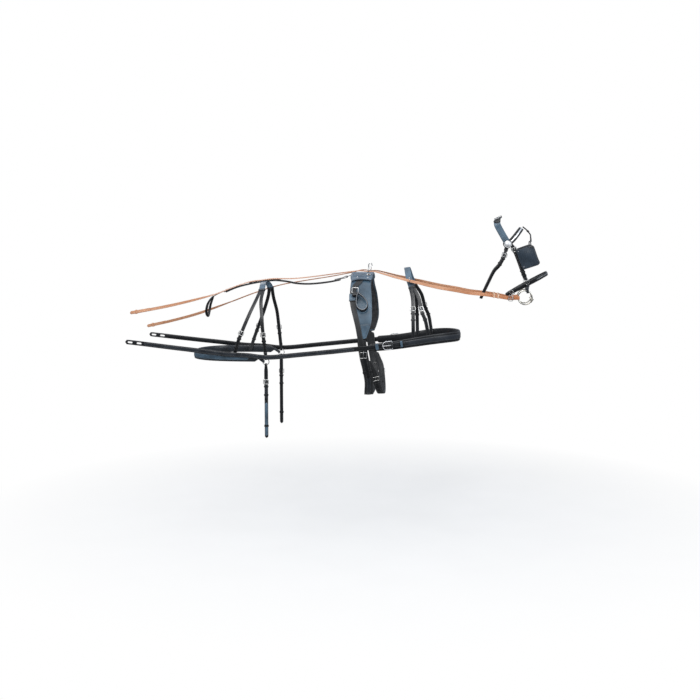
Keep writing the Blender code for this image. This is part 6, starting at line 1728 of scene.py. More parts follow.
FAR_REIN_BACK = (
    (-0.105, 0.084, 0.046), (-0.229, 0.095, 0.022), (-0.386, 0.120, -0.004), (-0.546, 0.150, -0.034),
    (-0.709, 0.180, -0.084), (-0.872, 0.200, -0.145), (-1.077, 0.215, -0.218), (-1.260, 0.210, -0.268),
    (-1.407, 0.203, -0.301),
)
FAR_REIN_SHARED_POINTS = 15
NECK_RING_PLACE = 8
TERRET_PLACE = 13
REIN_FLAT_SHARES = (
    (-0.70, 0.35), (-0.54, 1.0), (0.014, 1.0), (0.076, 0.85), (0.133, 0.62), (0.19, 0.45), (0.266, 0.25),
    (0.35, 0.0),
)
REIN_LAP = 0.054
REIN_LEAD = 1.2 * REIN_WIDTH
REIN_LAYER = REIN_THICKNESS + 0.0003
REIN_KEEPER_LOW = -0.0017
REIN_KEEPERS = ((0.062, 0.0048, 0.010), (0.086, 0.0048, 0.010))
CLASP_OVER = -0.0006


def rein_out(point, side):
    """The rein faces sideways in front, and lies flat from the saddle back over the croup."""
    flat = clamped(share_at(REIN_FLAT_SHARES, point.x / BODY_LENGTH))
    return Vector((0.0, -side * (1.0 - 0.8 * flat), 0.15 + 0.85 * flat)).normalized()


def rein_points(side):
    points = [Vector(point) for point in NEAR_REIN]
    points[NECK_RING_PLACE] = neck_ring_centre(1)
    points[NECK_RING_PLACE].z -= NECK_RING_RADIUS - NECK_RING_WIRE - REIN_WIDTH / 2 - 2 * WIRE_GAP
    points[TERRET_PLACE] = terret_centre(1)
    reach = TERRET_RADIUS - TERRET_WIRE - WIRE_GAP
    points[TERRET_PLACE].z -= math.sqrt(reach**2 - (REIN_WIDTH / 2 + 2 * WIRE_GAP) ** 2) - REIN_THICKNESS / 2
    if side == -1:
        points = [flip(point, -1) for point in points[:FAR_REIN_SHARED_POINTS]]
        points += [Vector(point) for point in FAR_REIN_BACK]
    return points


def add_reins():
    """Each rein is one run; a doubled end goes round the bit ring, up to the buckle."""
    fold = fold_for(BIT_WIRE, REIN_THICKNESS)
    slack = slack_for(BIT_RING_RADIUS, REIN_WIDTH, BIT_WIRE)
    along = Vector((1.0, 0.0, 0.06)).normalized()
    for tag, side in SIDES:
        out = outward(side)
        seat = ring_seat(bit_ring_centre(side), BIT_RING_RADIUS, along, out, fold, slack)
        lead = seat - along * REIN_LEAD
        stations = [(point, rein_out(point, side)) for point in rein_points(side)][::-1] + [(lead, out)]
        frames = fine(stations)
        whole = length_of(frames)
        run = Skin().frames(frames, REIN_WIDTH, REIN_THICKNESS, tips=(0.004, 0.0))
        rein = run.make("rein_strap_" + tag, TAN, replaces=["rein_" + tag])

        lap = fine([(frames[-2][0], out), (lead, out), (seat, out)], 0.005)
        lap[-1] = (seat, along, out)
        turned = turned_end(lap, fold, REIN_LAP, REIN_THICKNESS + LAYER_GAP, open_for(slack, BIT_WIRE))
        doubled = Skin().frames(turned, REIN_WIDTH + 0.0006, REIN_LAYER, tips=(0.0, 0.005))
        pieces = [doubled.make("rein_fold_" + tag, TAN)]

        point, behind = (flip(Vector(place), side) for place in NEAR_REIN[:2])
        tail = ((point - behind).normalized() + (lead - point).normalized()).normalized()
        face = (out - tail * out.dot(tail)).normalized()
        rise = 1.5 * REIN_THICKNESS + LAYER_GAP + BUCKLE_WIRE + 2 * WIRE_GAP
        place = to_world(point + face * rise, tail, face)
        height = REIN_WIDTH + 4 * BUCKLE_WIRE + 2 * WIRE_GAP
        clasp = Skin().buckle(place, REIN_BUCKLE_LENGTH, height, BUCKLE_WIRE, CLASP_OVER)
        pieces.append(clasp.make("rein_buckle_frame_" + tag, NICKEL, replaces=["rein_buckle_" + tag]))

        rear = backwards(frames)
        start = (lead - point).length
        laps = Skin().lap(rear, start - 0.004, start + 0.104, REIN_LAYER, REIN_WIDTH - 0.0008, REIN_THICKNESS,
                          tips=(0.0, 0.010), punched=1.0)
        pieces.append(laps.make("rein_billet_" + tag, TAN))
        loops = [(start + place, stack, length) for place, stack, length in REIN_KEEPERS]
        loops = Skin().keepers(rear, REIN_WIDTH, REIN_KEEPER_LOW, loops)
        pieces.append(loops.make("rein_keepers_" + tag, TAN_PALE))
        grip = Skin().lap(rear, whole - 0.130, whole - 0.002, REIN_LAYER, REIN_WIDTH - 0.0004, REIN_THICKNESS,
                          tips=(0.006, 0.003))
        grip.keepers(rear, REIN_WIDTH, REIN_KEEPER_LOW, [(whole - 0.040, 0.0048, 0.012)])
        pieces.append(grip.make("rein_hand_loop_" + tag, TAN))


# Saddle
TREE_EDGE_SHARES = ((0.0, -0.050, 0.028), (14.0, -0.050, 0.028), (20.0, -0.049, 0.027), (25.0, -0.045, 0.023))
PAD_EDGE_SHARES = (
    (12.0, -0.045, 0.026), (30.0, -0.048, 0.026), (45.0, -0.045, 0.032), (58.0, -0.036, 0.035),
    (70.0, -0.020, 0.035), (80.0, -0.009, 0.026), (87.0, 0.001, 0.016),
)
PAD_INSET_SHARE = 0.003
THICK_PAD_DEGREES = 24.0
TIP_DEGREES = 87.0
TERRET_SHARES = (0.014, 14.0)
TERRET_FOOT = ((1.0, 0.0), (1.0, 0.4), (0.86, 0.85), (0.55, 1.0))
TERRET_STEM_SHAPE = ((1.5, 0.3, 0.0), (1.2, 0.7, 0.0), (1.6, 1.0, 0.5))
HOOK_SHARE = 0.010
HOOK_CURL = HOOK_HEIGHT / 6
HOOK_FOOT = ((1.0, 0.0), (1.0, 0.5), (0.8, 0.9))
HOOK_STEM_SHAPE = ((1.3, 1.3), (1.02, 2.4))
DEE_LENGTH = 0.046
DEE_WIDTH = 0.034
BAND_SHARES = (
    (0.0, -0.011), (12.0, -0.011), (22.0, -0.014), (31.0, -0.032), (38.0, -0.038), (46.0, -0.037),
    (56.0, -0.030), (66.0, -0.020), (76.0, -0.011), (90.0, -0.002),
)
BAND_STEP_DEGREES = 6.25
BAND_END_SHARES = ((0.001, 95.0), (0.003, 98.5), (0.005, 101.5))
GIRTH_SHARES = (
    (-0.001, 87.5), (0.003, 95.0), (0.009, 105.0), (0.017, 116.0), (0.023, 133.0), (0.018, 155.0),
    (0.012, 180.0),
)
BELLY_BAND_SHARES = (
    (0.022, 108.0), (0.034, 116.0), (0.045, 124.0), (0.053, 140.0), (0.059, 160.0), (0.062, 180.0),
)
GIRTH_LIFT = LAYER_TWO
UNDER_BAND_LIFT = GIRTH_LIFT + STRAP_THICKNESS + LAYER_GAP
UNDER_KEEPER_LOW = -0.0026
SADDLE_THREAD = 0.0054


def pad_thickness(degrees):
    full = eased((TIP_DEGREES - abs(degrees)) / (TIP_DEGREES - THICK_PAD_DEGREES))
    return PAD_TIP_THICKNESS + (PAD_TOP_THICKNESS - PAD_TIP_THICKNESS) * full


def flap_lift(degrees):
    return SKIN_GAP + pad_thickness(degrees) + WIRE_GAP / 2 + FLAP_THICKNESS / 2


def band_lift(degrees):
    return flap_lift(degrees) + FLAP_THICKNESS / 2 + 1.6 * LAYER_GAP + STRAP_THICKNESS / 2


def tree_lift(degrees):
    return band_lift(degrees) + STRAP_THICKNESS / 2 + 1.5 * LAYER_GAP + TREE_THICKNESS / 2


def terret_foot(side):
    along, degrees = TERRET_SHARES
    point, out = sided([on_saddle(along, degrees, tree_lift(degrees))], side)[0]
    return point + out * (TREE_THICKNESS / 2 + 2 * WIRE_GAP), out


def terret_centre(side):
    foot, out = terret_foot(side)
    return foot + out * (TERRET_FOOT_HEIGHT + TERRET_STEM + TERRET_RADIUS)


def dee_place():
    """The saddle dee: its front bar lies under the rear edge of the tree."""
    rear = TREE_EDGE_SHARES[0][1]
    bar = on_saddle(rear + PAD_INSET_SHARE, 0.0, tree_lift(0.0) - TREE_THICKNESS / 2)[0]
    bar.z -= WIRE_GAP + BUCKLE_WIRE
    bar.x = rear * BODY_LENGTH + 3 * BUCKLE_WIRE
    return bar, Vector((-0.93, 0.0, -0.37)).normalized(), Vector((-0.37, 0.0, 0.93)).normalized()


PAD_CELLS = (22, 10)
PAD_AIR = 0.0012
PAD_UNEVENNESS = 0.0010


def pad_point(along, degrees, full, outer):
    """A point of the panel's underside or outside; full is how far it is stuffed there."""
    low = on_body(along, degrees, SKIN_GAP + 0.0006 + PAD_AIR * (1 - full))[0]
    if not outer:
        return low
    high = on_saddle(along, degrees, SKIN_GAP + pad_thickness(degrees) * full)[0]
    swell = noise.noise(high * 22.0) * PAD_UNEVENNESS * (1 if full > 0.6 else 0)
    return high - (high - low).normalized() * (PAD_AIR + abs(swell))


def add_saddle_pads():
    """A stuffed panel on each side of the spine, rounded at its edges and a little uneven."""
    first, last = PAD_EDGE_SHARES[0][0] + 1.5, PAD_EDGE_SHARES[-1][0] - 2.0
    down_steps, across_steps = PAD_CELLS
    for tag, side in SIDES:
        mesh = bmesh.new()
        layers = []
        for outer in (False, True):
            grid = []
            for i in range(down_steps + 1):
                t = i / down_steps
                degrees = first + (last - first) * t
                rear = share_at(PAD_EDGE_SHARES, degrees, 1) + PAD_INSET_SHARE
                front = share_at(PAD_EDGE_SHARES, degrees, 2) - PAD_INSET_SHARE
                row = []
                for j in range(across_steps + 1):
                    u = j / across_steps
                    full = 0.18 + 0.80 * ((1 - abs(2 * u - 1) ** 5) * (1 - abs(2 * t - 1) ** 9)) ** 0.5
                    row.append(flip(pad_point(rear + (front - rear) * u, degrees, full, outer), side))
                grid.append([mesh.verts.new(point) for point in row])
            layers.append(grid)
        low, high = layers
        for i in range(down_steps):
            for j in range(across_steps):
                mesh.faces.new((low[i][j], low[i + 1][j], low[i + 1][j + 1], low[i][j + 1]))
                mesh.faces.new((high[i][j], high[i][j + 1], high[i + 1][j + 1], high[i + 1][j]))
            for j in (0, across_steps):
                mesh.faces.new((low[i][j], high[i][j], high[i + 1][j], low[i + 1][j]))
        for j in range(across_steps):
            for i in (0, down_steps):
                mesh.faces.new((low[i][j], low[i][j + 1], high[i][j + 1], high[i][j]))
        bmesh.ops.recalc_face_normals(mesh, faces=mesh.faces)
        bmesh.ops.subdivide_edges(mesh, edges=mesh.edges, cuts=1, use_grid_fill=True, smooth=0.6)
        data = bpy.data.meshes.new("saddle_panel_" + tag)
        mesh.to_mesh(data)
        mesh.free()
        data.shade_smooth()
        data.materials.append(PAD)
        made = placed("saddle_panel_" + tag, data)
        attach(made, "harness")
        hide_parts("saddle_pad_" + tag)


FLAP_CELLS = (40, 12)
FLAP_SPREAD = (PAD_EDGE_SHARES[0][0], PAD_EDGE_SHARES[-1][0])
FLAP_THREADS = (
    (FLAP_THICKNESS / 2, 0.005, (27.0, 84.5)),
    (FLAP_THICKNESS / 2 + 0.0013, 0.0085, (73.0, 84.2)),
)


def flap_rows(side, steps, columns, lift=0.0, inset=0.0, spread=FLAP_SPREAD):
    first, last = spread
    rows = []
    for i in range(steps + 1):
        degrees = first + (last - first) * i / steps
        rear = share_at(PAD_EDGE_SHARES, degrees, 1) + inset
        front = share_at(PAD_EDGE_SHARES, degrees, 2) - inset
        height = flap_lift(degrees) + lift
        places = [rear + (front - rear) * j / columns for j in range(columns + 1)]
        rows.append([flip(on_saddle(along, degrees, height)[0], side) for along in places])
    return rows


def add_saddle_flaps():
    for tag, side in SIDES:
        rows = flap_rows(side, *FLAP_CELLS)
        flap = Skin().grid(rows, FLAP_THICKNESS)
        flap.make("saddle_flap_leather_" + tag, SHEEN, replaces=["saddle_flap_" + tag])
        Skin().tube(rim_of(rows), 0.0019, closed=True, sides=8).make("saddle_flap_edge_" + tag, EDGE_LEATHER)
        rows = flap_rows(side, 10, 8, FLAP_THICKNESS / 2 + 0.0006, 0.006, (72.0, 85.0))
        Skin().grid(rows, 0.0014).make("saddle_flap_patch_" + tag, SHEEN)
        thread = Skin()
        out = Vector((0.0, -0.98 * side, 0.2)).normalized()
        for options in FLAP_THREADS:
            line = rim_of(flap_rows(side, *FLAP_CELLS, *options))
            thread.stitches(line + line[:1], [out] * (len(line) + 1), SADDLE_THREAD)
        thread.make("saddle_flap_thread_" + tag, THREAD)


TREE_CELLS = (36, 12)
TREE_SCREW_SHARES = (-0.026, 0.013)
TREE_SCREW_DEGREES = 20.0


def add_saddle_tree():
    """The arched top with a shaped lower edge, its screws and a rolled rim."""
    steps, columns = TREE_CELLS
    rows = []
    for i in range(steps + 1):
        row = []
        for j in range(columns + 1):
            u = j / columns
            reach = TREE_EDGE_SHARES[-1][0] - 2.2 * math.sin(math.pi * u) ** 0.7 - 1.4 * u
            degrees = reach * (2 * i / steps - 1)
            rear, front = (share_at(TREE_EDGE_SHARES, abs(degrees), column) for column in (1, 2))
            row.append(on_saddle(rear + (front - rear) * u, degrees, tree_lift(degrees))[0])
        rows.append(row)
    # The tree's paler, bluer colour is a painted highlight on its upward face.
    Skin().grid(rows, TREE_THICKNESS).make("saddle_tree_leather", TREE_HIGHLIGHT_LEATHER, replaces=["saddle_tree"])
    Skin().tube(rim_of(rows), 0.0021, closed=True, sides=8).make("saddle_tree_rim", EDGE_LEATHER)
    screws, thread = Skin(), Skin()
    lift = tree_lift(TREE_SCREW_DEGREES) + TREE_THICKNESS / 2 - 0.0003
    for side in (1, -1):
        for along in TREE_SCREW_SHARES:
            screws.rivet(*sided([on_saddle(along, TREE_SCREW_DEGREES, lift)], side)[0])
    screws.make("saddle_tree_screws", SILVER)
    for i in (1, steps - 1):
        line = rows[i][1:columns]
        outs = [Vector((0.0, -0.5 if point.y < 0 else 0.5, 0.86)).normalized() for point in line]
        thread.stitches([p + o * (TREE_THICKNESS / 2) for p, o in zip(line, outs)], outs, SADDLE_THREAD)
    thread.make("saddle_tree_thread", THREAD)


def add_terrets():
    """A ring on a screwed foot, for each rein."""
    profile = [(r * TERRET_FOOT_RADIUS, h * TERRET_FOOT_HEIGHT) for r, h in TERRET_FOOT]
    for radius, height, wires in TERRET_STEM_SHAPE:
        rise = TERRET_FOOT_HEIGHT + height * TERRET_STEM + wires * TERRET_WIRE
        profile.append((radius * TERRET_WIRE, rise))
    for tag, side in SIDES:
        skin = Skin().ring(terret_centre(side), (1, 0, 0), TERRET_RADIUS, TERRET_WIRE)
        skin.turned(profile, *terret_foot(side))
        skin.make("terret_ring_" + tag, NICKEL, replaces=["terret_" + tag])


def add_rein_hook():
    root = on_saddle(HOOK_SHARE, 0.0, tree_lift(0.0) + TREE_THICKNESS / 2)[0] + Vector((0, 0, WIRE_GAP))
    curl, straight = HOOK_CURL, HOOK_HEIGHT - 2 * HOOK_CURL
    points = [root + Vector((0, 0, t * straight / 6 + (HOOK_WIRE if t == 0 else 0))) for t in range(7)]
    for i in range(1, 13):
        turn = math.radians(180 - 16 * i)
        points.append(root + Vector((curl + curl * math.cos(turn), 0.0, straight + curl * math.sin(turn))))
    foot = [(r * TERRET_FOOT_RADIUS, h * TERRET_FOOT_HEIGHT) for r, h in HOOK_FOOT]
    foot += [(r * HOOK_WIRE, h * TERRET_FOOT_HEIGHT) for r, h in HOOK_STEM_SHAPE]
    hook = Skin().tube(points, HOOK_WIRE).turned(foot, root, Vector((0, 0, 1)))
    hook.make("rein_hook_wire", NICKEL, replaces=["rein_hook"])


def add_saddle_dee():
    dee = Skin().wire_frame(to_world(*dee_place()), DEE_LENGTH, DEE_WIDTH, 2.0 * BUCKLE_WIRE, BUCKLE_WIRE)
    dee.make("saddle_dee_wire", DARK_METAL, replaces=["saddle_dee"])


def add_back_band():
    near = []
    degrees = 0.0
    while degrees < BAND_SHARES[-1][0]:
        near.append(across_saddle(share_at(BAND_SHARES, degrees), degrees, band_lift(degrees)))
        degrees += BAND_STEP_DEGREES if degrees else BAND_STEP_DEGREES * 0.96
    near += stations_on(on_body, BAND_END_SHARES, UNDER_BAND_LIFT)
    band = Skin().frames(fine(over_spine(near)), BACK_BAND_WIDTH, STRAP_THICKNESS, tips=(0.010, 0.010))
    band.make("back_band_leather", GIRTH_LEATHER, replaces=["back_band"])


def add_girth():
    frames = fine(round_to_far(stations_on(on_body, GIRTH_SHARES, GIRTH_LIFT)))
    Skin().frames(frames, GIRTH_WIDTH, STRAP_THICKNESS, tips=(0.016, 0.016)).make(
        "girth_leather", GIRTH_LEATHER, replaces=["girth"])
    layer = Skin().lap(frames, 0.100, -0.100, STRAP_THICKNESS / 2 + 0.0003, 0.024, 0.0016, step=0.012,
                       tips=(0.010, 0.010))
    layer.make("girth_layer", SHEEN_FAINT)
    loops, laps = Skin(), Skin()
    for side in (1, -1):
        way = from_side(frames, side)
        loops.keepers(way, GIRTH_WIDTH, UNDER_KEEPER_LOW, [(0.200, 0.0030, 0.012)])
        laps.lap(way, 0.085, 0.240, STRAP_THICKNESS / 2 + 0.0016, BACK_BAND_WIDTH - 0.004, 0.0026,
                 tips=(0.006, 0.010), punched=1.0)
    loops.make("girth_keepers", EDGE_LEATHER)
    laps.make("girth_billets", BLACK)


GIRTH_BUCKLE_SHARES = ((0.0045, 98.5), (0.005, 104.5))


def add_girth_buckles():
    height = BACK_BAND_WIDTH + 4 * BUCKLE_WIRE
    for tag, side in SIDES:
        (point, out), (low, _) = sided(stations_on(on_body, GIRTH_BUCKLE_SHARES, UNDER_BAND_LIFT), side)
        along = (low - point).normalized()
        out = (out - along * out.dot(along)).normalized()
        place = to_world(point + out * (STRAP_THICKNESS / 2 + WIRE_GAP + BUCKLE_WIRE), along, out)
        clasp = Skin().buckle(place, GIRTH_BUCKLE_LENGTH, height, BUCKLE_WIRE, CLASP_OVER)
        clasp.make("girth_buckle_frame_" + tag, NICKEL, replaces=["girth_buckle_" + tag])


BELLY_KEEPERS = ((0.160, 0.0064, 0.010), (0.205, 0.0064, 0.010))


def add_belly_band():
    frames = fine(round_to_far(stations_on(on_body, BELLY_BAND_SHARES)))
    band = Skin().frames(frames, BELLY_BAND_WIDTH, STRAP_THICKNESS, tips=(0.010, 0.010))
    band.make("belly_band_leather", GIRTH_LEATHER, replaces=["belly_band"])
    for tag, side in SIDES:
        way = from_side(frames, side)
        clasp = Skin().buckle_at(way, 0.125, BELLY_BAND_WIDTH - 0.006, 0.026, 0.0048)
        clasp.make("belly_band_buckle_" + tag, NICKEL)
        laps = Skin().lap(way, 0.118, 0.240, BILLET_RISE, BELLY_BAND_WIDTH - 0.012, BILLET_THICKNESS,
                          tips=(0.0, 0.012), punched=1.0)
        laps.make("belly_band_billet_" + tag, BLACK)
        loops = Skin().keepers(way, BELLY_BAND_WIDTH - 0.010, UNDER_KEEPER_LOW, BELLY_KEEPERS)
        loops.make("belly_band_keepers_" + tag, EDGE_LEATHER)


KEEPER_DEGREES = (39.0, 46.5)
KEEPER_THICKNESS = 0.003
KEEPER_BEND = 0.0028
TUG_BUCKLE_DEGREES = 34.0
TUG_BUCKLE_SHARE = -0.029
TUG_APEX_SHARES = (-0.0165, -0.104)
TUG_FOOT_SHARES = (0.0085, -0.246)
TUG_LEAN_DEGREES = (44.0, 48.0, 52.0, 56.0, 60.0)
TUG_LEAN_SHARES = (-0.020, -0.008, 0.004, 0.016, 0.028)
TUG_LOOP_WIDTH = 0.074
TUG_LOOP_STEPS = 56
TUG_TAB_WIDTH = 0.028
TUG_TAB_LENGTH = 0.024
TUG_THICKNESS = 0.004
TUG_LINE_RADIUS = 0.0011
TUG_LINE_PLACE = (TUG_LOOP_THICKNESS / 2 - 0.0010, 0.0002)
TUG_THREAD_PLACE = (0.0010, 0.0004)
TUG_THREAD = 0.0052


def tug_frame(side):
    """The tug buckle: the middle of its top bar, downwards along the band, and outwards."""
    degrees = TUG_BUCKLE_DEGREES
    point, out = on_saddle(TUG_BUCKLE_SHARE, degrees, band_lift(degrees))
    low = on_saddle(TUG_BUCKLE_SHARE, degrees + 10, band_lift(degrees + 10))[0]
    down = (low - point).normalized()
    out = (out - down * out.dot(down)).normalized()
    under = STRAP_THICKNESS / 2 + WIRE_GAP + KEEPER_THICKNESS + 3 * LAYER_GAP
    rise = under + TUG_THICKNESS + WIRE_GAP + TUG_WIRE
    return [flip(vector, side) for vector in (point + out * rise, down, out)]


def tug_hinge(side):
    bar, down, out = tug_frame(1)
    return [flip(vector, side) for vector in (bar + down * TUG_BUCKLE_LENGTH, down, out)]


def tug_loop_line():
    """Top and bottom of the near loop's inner edge, leaning on the saddle flap."""
    hinge, _, out = tug_hinge(1)
    top = hinge - out * (fold_for(TUG_WIRE, TUG_THICKNESS) + TUG_THICKNESS / 2)
    lean = 0.0
    for degrees in TUG_LEAN_DEGREES:
        for along in TUG_LEAN_SHARES:
            point = on_saddle(along, degrees, flap_lift(degrees) + FLAP_THICKNESS / 2 + 2 * LAYER_GAP)[0]
            lean = max(lean, (top.y - point.y) / (top.z - point.z))
    ends = []
    for along, height in (TUG_APEX_SHARES, TUG_FOOT_SHARES):
        height = height * BODY_DEPTH
        ends.append(Vector((along * BODY_LENGTH, top.y - lean * (top.z - height), height)))
    return ends


def add_tug_keepers():
    """The box keeper round each side of the back band, below its tug buckle."""
    reach = BACK_BAND_WIDTH / 2 + 2 * WIRE_GAP + KEEPER_THICKNESS / 2
    rise = STRAP_THICKNESS / 2 + WIRE_GAP + KEEPER_THICKNESS / 2
    bend = KEEPER_BEND
    corner = [(reach - bend * (1 - math.cos(t)), rise - bend * (1 - math.sin(t))) for t in (1.4, 1.0, 0.5)]
    right = [(0.3 * reach, rise), (0.6 * reach, rise)] + corner + [(reach, rise - bend), (reach, -0.2 * rise)]
    outline = [(-x, z) for x, z in right[::-1]] + [(0.0, rise)] + right
    for tag, side in SIDES:
        ends = [across_saddle(share_at(BAND_SHARES, degrees), degrees, band_lift(degrees))
                for degrees in KEEPER_DEGREES]
        (top, out), (low, low_out) = sided(ends, side)
        down = (low - top).normalized()
        out = (out + low_out).normalized()
        out = (out - down * out.dot(down)).normalized()
        across = out.cross(down).normalized()
        rows = [[top + across * x + out * z, low + across * x + out * z] for x, z in outline]
        skin = Skin().strap(rows, KEEPER_THICKNESS)
        skin.make("tug_keeper_leather_" + tag, SHEEN, replaces=["tug_keeper_" + tag])
        edge = Skin().tube([low + across * x + out * (z + 0.0004) for x, z in outline], 0.0020, sides=8)
        edge.make("tug_keeper_edge_" + tag, BLACK)


def add_tug_buckles():
    for tag, side in SIDES:
        place = to_world(*tug_frame(side))
        wire = Skin().wire_frame(place, TUG_BUCKLE_LENGTH, TUG_BUCKLE_WIDTH, 2 * TUG_WIRE, TUG_WIRE)
        wire.make("tug_buckle_frame_" + tag, NICKEL, replaces=["tug_buckle_" + tag])


def add_shaft_tugs():
    """The leather loop for the shaft, sewn to a tab that hangs on the tug buckle."""
    fold = fold_for(TUG_WIRE, TUG_THICKNESS)
    steps = 2 * FOLD_STEPS
    for tag, side in SIDES:
        body = "shaft_tug_" + tag
        name = body + "_"
        hinge, down, out = tug_hinge(side)
        lower = hinge + down * TUG_TAB_LENGTH
        mid = hinge + down * TUG_TAB_LENGTH / 2
        tab = [lower - out * fold, mid - out * fold]
        for i in range(steps + 1):
            turn = math.pi * i / steps
            tab.append(hinge - down * fold * math.sin(turn) - out * fold * math.cos(turn))
        tab += [mid + out * fold, lower + out * fold]
        reach = out.cross(down).normalized() * TUG_TAB_WIDTH / 2
        Skin().strap([[place - reach, place + reach] for place in tab], TUG_THICKNESS).make(
            name + "tab", BLACK, body=body)
        apex, foot = (flip(point, side) for point in tug_loop_line())
        axis = (foot - apex).normalized()
        across = Vector((1.0, 0.0, 0.0))
        across = (across - axis * across.dot(axis)).normalized()
        face = across.cross(axis).normalized()
        if face.dot(out) < 0:
            face.negate()
        length = (foot - apex).length
        middles = []
        for i in range(TUG_LOOP_STEPS):
            turn = 2 * math.pi * i / TUG_LOOP_STEPS
            share = (1 - math.cos(turn)) / 2
            swell = math.sin(turn) * (0.35 + 0.65 * math.sin(math.pi / 2 * share)) * TUG_LOOP_WIDTH / 2
            middles.append(apex + axis * length * share + across * swell)
        rows = [[place, place + face * TUG_LOOP_DEPTH] for place in middles]
        loop = Skin().strap(rows, TUG_LOOP_THICKNESS, closed=True)
        loop.make(name + "loop", BLACK, body=body, replaces=[body])
        centre = sum(middles, Vector()) / len(middles)
        line, outer = [], []
        for i, place in enumerate(middles):
            before, after = around(middles, i, closed=True)
            push = (after - before).cross(face).normalized()
            if push.dot(place - centre) < 0:
                push.negate()
            inward, above = TUG_LINE_PLACE
            line.append(place - push * inward + face * (TUG_LOOP_DEPTH + above))
            outward_by, above = TUG_THREAD_PLACE
            outer.append(place + push * outward_by + face * (TUG_LOOP_DEPTH + above))
        # A pale tube along the loop's front edge: a painted highlight where the edge catches the light.
        Skin().tube(line, TUG_LINE_RADIUS, closed=True, sides=8).make(name + "line", PAINTED_HIGHLIGHT_LINE, body=body)
        thread = Skin().stitches(outer + outer[:1], [face] * (len(outer) + 1), TUG_THREAD)
        thread.make(name + "thread", THREAD, body=body)


# Back strap, crupper and breeching
BACK_STRAP_SHARES = ((-0.137, -0.003), (-0.209, -0.022), (-0.262, -0.019))
BACK_STRAP_ON_SHARES = (-0.300, -0.345, -0.387, -0.440, -0.495, -0.545)
BACK_STRAP_LAP = 0.070
BACK_STRAP_KEEPERS = (
    (0.312, 0.0064, 0.012), (0.262, 0.0064, 0.012), (0.205, 0.0064, 0.012), (0.176, 0.0064, 0.010),
)
CRUPPER_TAB_SHARES = (-0.520, -0.548, -0.570)
DOCK_SHARES = (
    (-0.590, 0.020, -0.150), (-0.598, 0.062, -0.180), (-0.606, 0.080, -0.222), (-0.610, 0.078, -0.268),
    (-0.611, 0.054, -0.304), (-0.610, 0.0, -0.322),
)
HIP_SHARES = ((-0.388, 0.0), (-0.387, 10.0), (-0.384, 22.0), (-0.382, 33.0))
HIP_REAR_SHARES = ((-0.397, 47.0), (-0.419, 66.0), (-0.445, 85.0), (-0.462, 96.0), (-0.480, 113.0))
HIP_FRONT_SHARES = ((-0.378, 50.0), (-0.370, 70.0), (-0.366, 84.0), (-0.361, 97.0))
HIP_LAP = 0.034
SEAT_HEIGHT_SHARE = -0.657
SEAT_FRONT_SHARE = -0.382
SEAT_SIDE_STEPS = 10
SEAT_REAR_STEPS = 22
SEAT_TAB_WIDTH = 0.015
SEAT_SLANT = 7.0
SEAT_LAP = 0.030
RING_SHARES = (-0.3545, 0.0, -0.688)
RING_FOLD_WIDTH = 0.0145
HOLDBACK_LENGTH = 0.436
HOLDBACK_LAP = 0.105
HOLDBACK_KEEPERS = ((0.130, 0.0062, 0.010), (0.180, 0.0062, 0.010), (0.363, 0.0030, 0.012))


def seat_top():
    """The seat's upper edge, where the body under it is widest."""
    return SEAT_HEIGHT_SHARE * BODY_DEPTH + SEAT_HEIGHT / 2


def seat_ring_centre(side):
    """The breeching ring hangs just outside the front end of the seat."""
    centre = side_view(*RING_SHARES)
    centre.y = -(flank(SEAT_FRONT_SHARE, seat_top()) + SEAT_LIFT + fold_for(SEAT_RING_WIRE, SEAT_THICKNESS))
    return flip(centre, side)


def seat_stations(lift):
    """The near half of the breeching seat, from the middle of the rump forwards."""
    start, tail = RUMP_SHARES
    places = []
    for i in range(SEAT_REAR_STEPS + 1):
        turn = math.pi / 2 * i / SEAT_REAR_STEPS
        along = start + (tail - start) * math.cos(turn) ** (2 / END_ROUNDNESS)
        places.append((along, -flank(start, seat_top()) * math.sin(turn) ** (2 / END_ROUNDNESS)))
    for i in range(1, SEAT_SIDE_STEPS + 1):
        along = start + (SEAT_FRONT_SHARE - start) * i / SEAT_SIDE_STEPS
        places.append((along, -flank(along, seat_top())))
    places = [Vector((along * BODY_LENGTH, y, SEAT_HEIGHT_SHARE * BODY_DEPTH)) for along, y in places]
    return facing_out(places, lift, {0: Vector((0.0, -1.0, 0.0))})


def narrow_ends(rows, frames):
    """Narrow the seat's ends to the tabs that hold the rings."""
    front = SEAT_FRONT_SHARE * BODY_LENGTH - SEAT_TAB_WIDTH - SEAT_TAB_WIDTH / 4
    for i, (point, _, _) in enumerate(frames):
        if point.x > front:
            share = min(1.0, (point.x - front) / SEAT_TAB_WIDTH)
            rows[i] = narrowed(*rows[i], SEAT_HEIGHT + (SEAT_TAB_WIDTH - SEAT_HEIGHT) * share)
    return rows


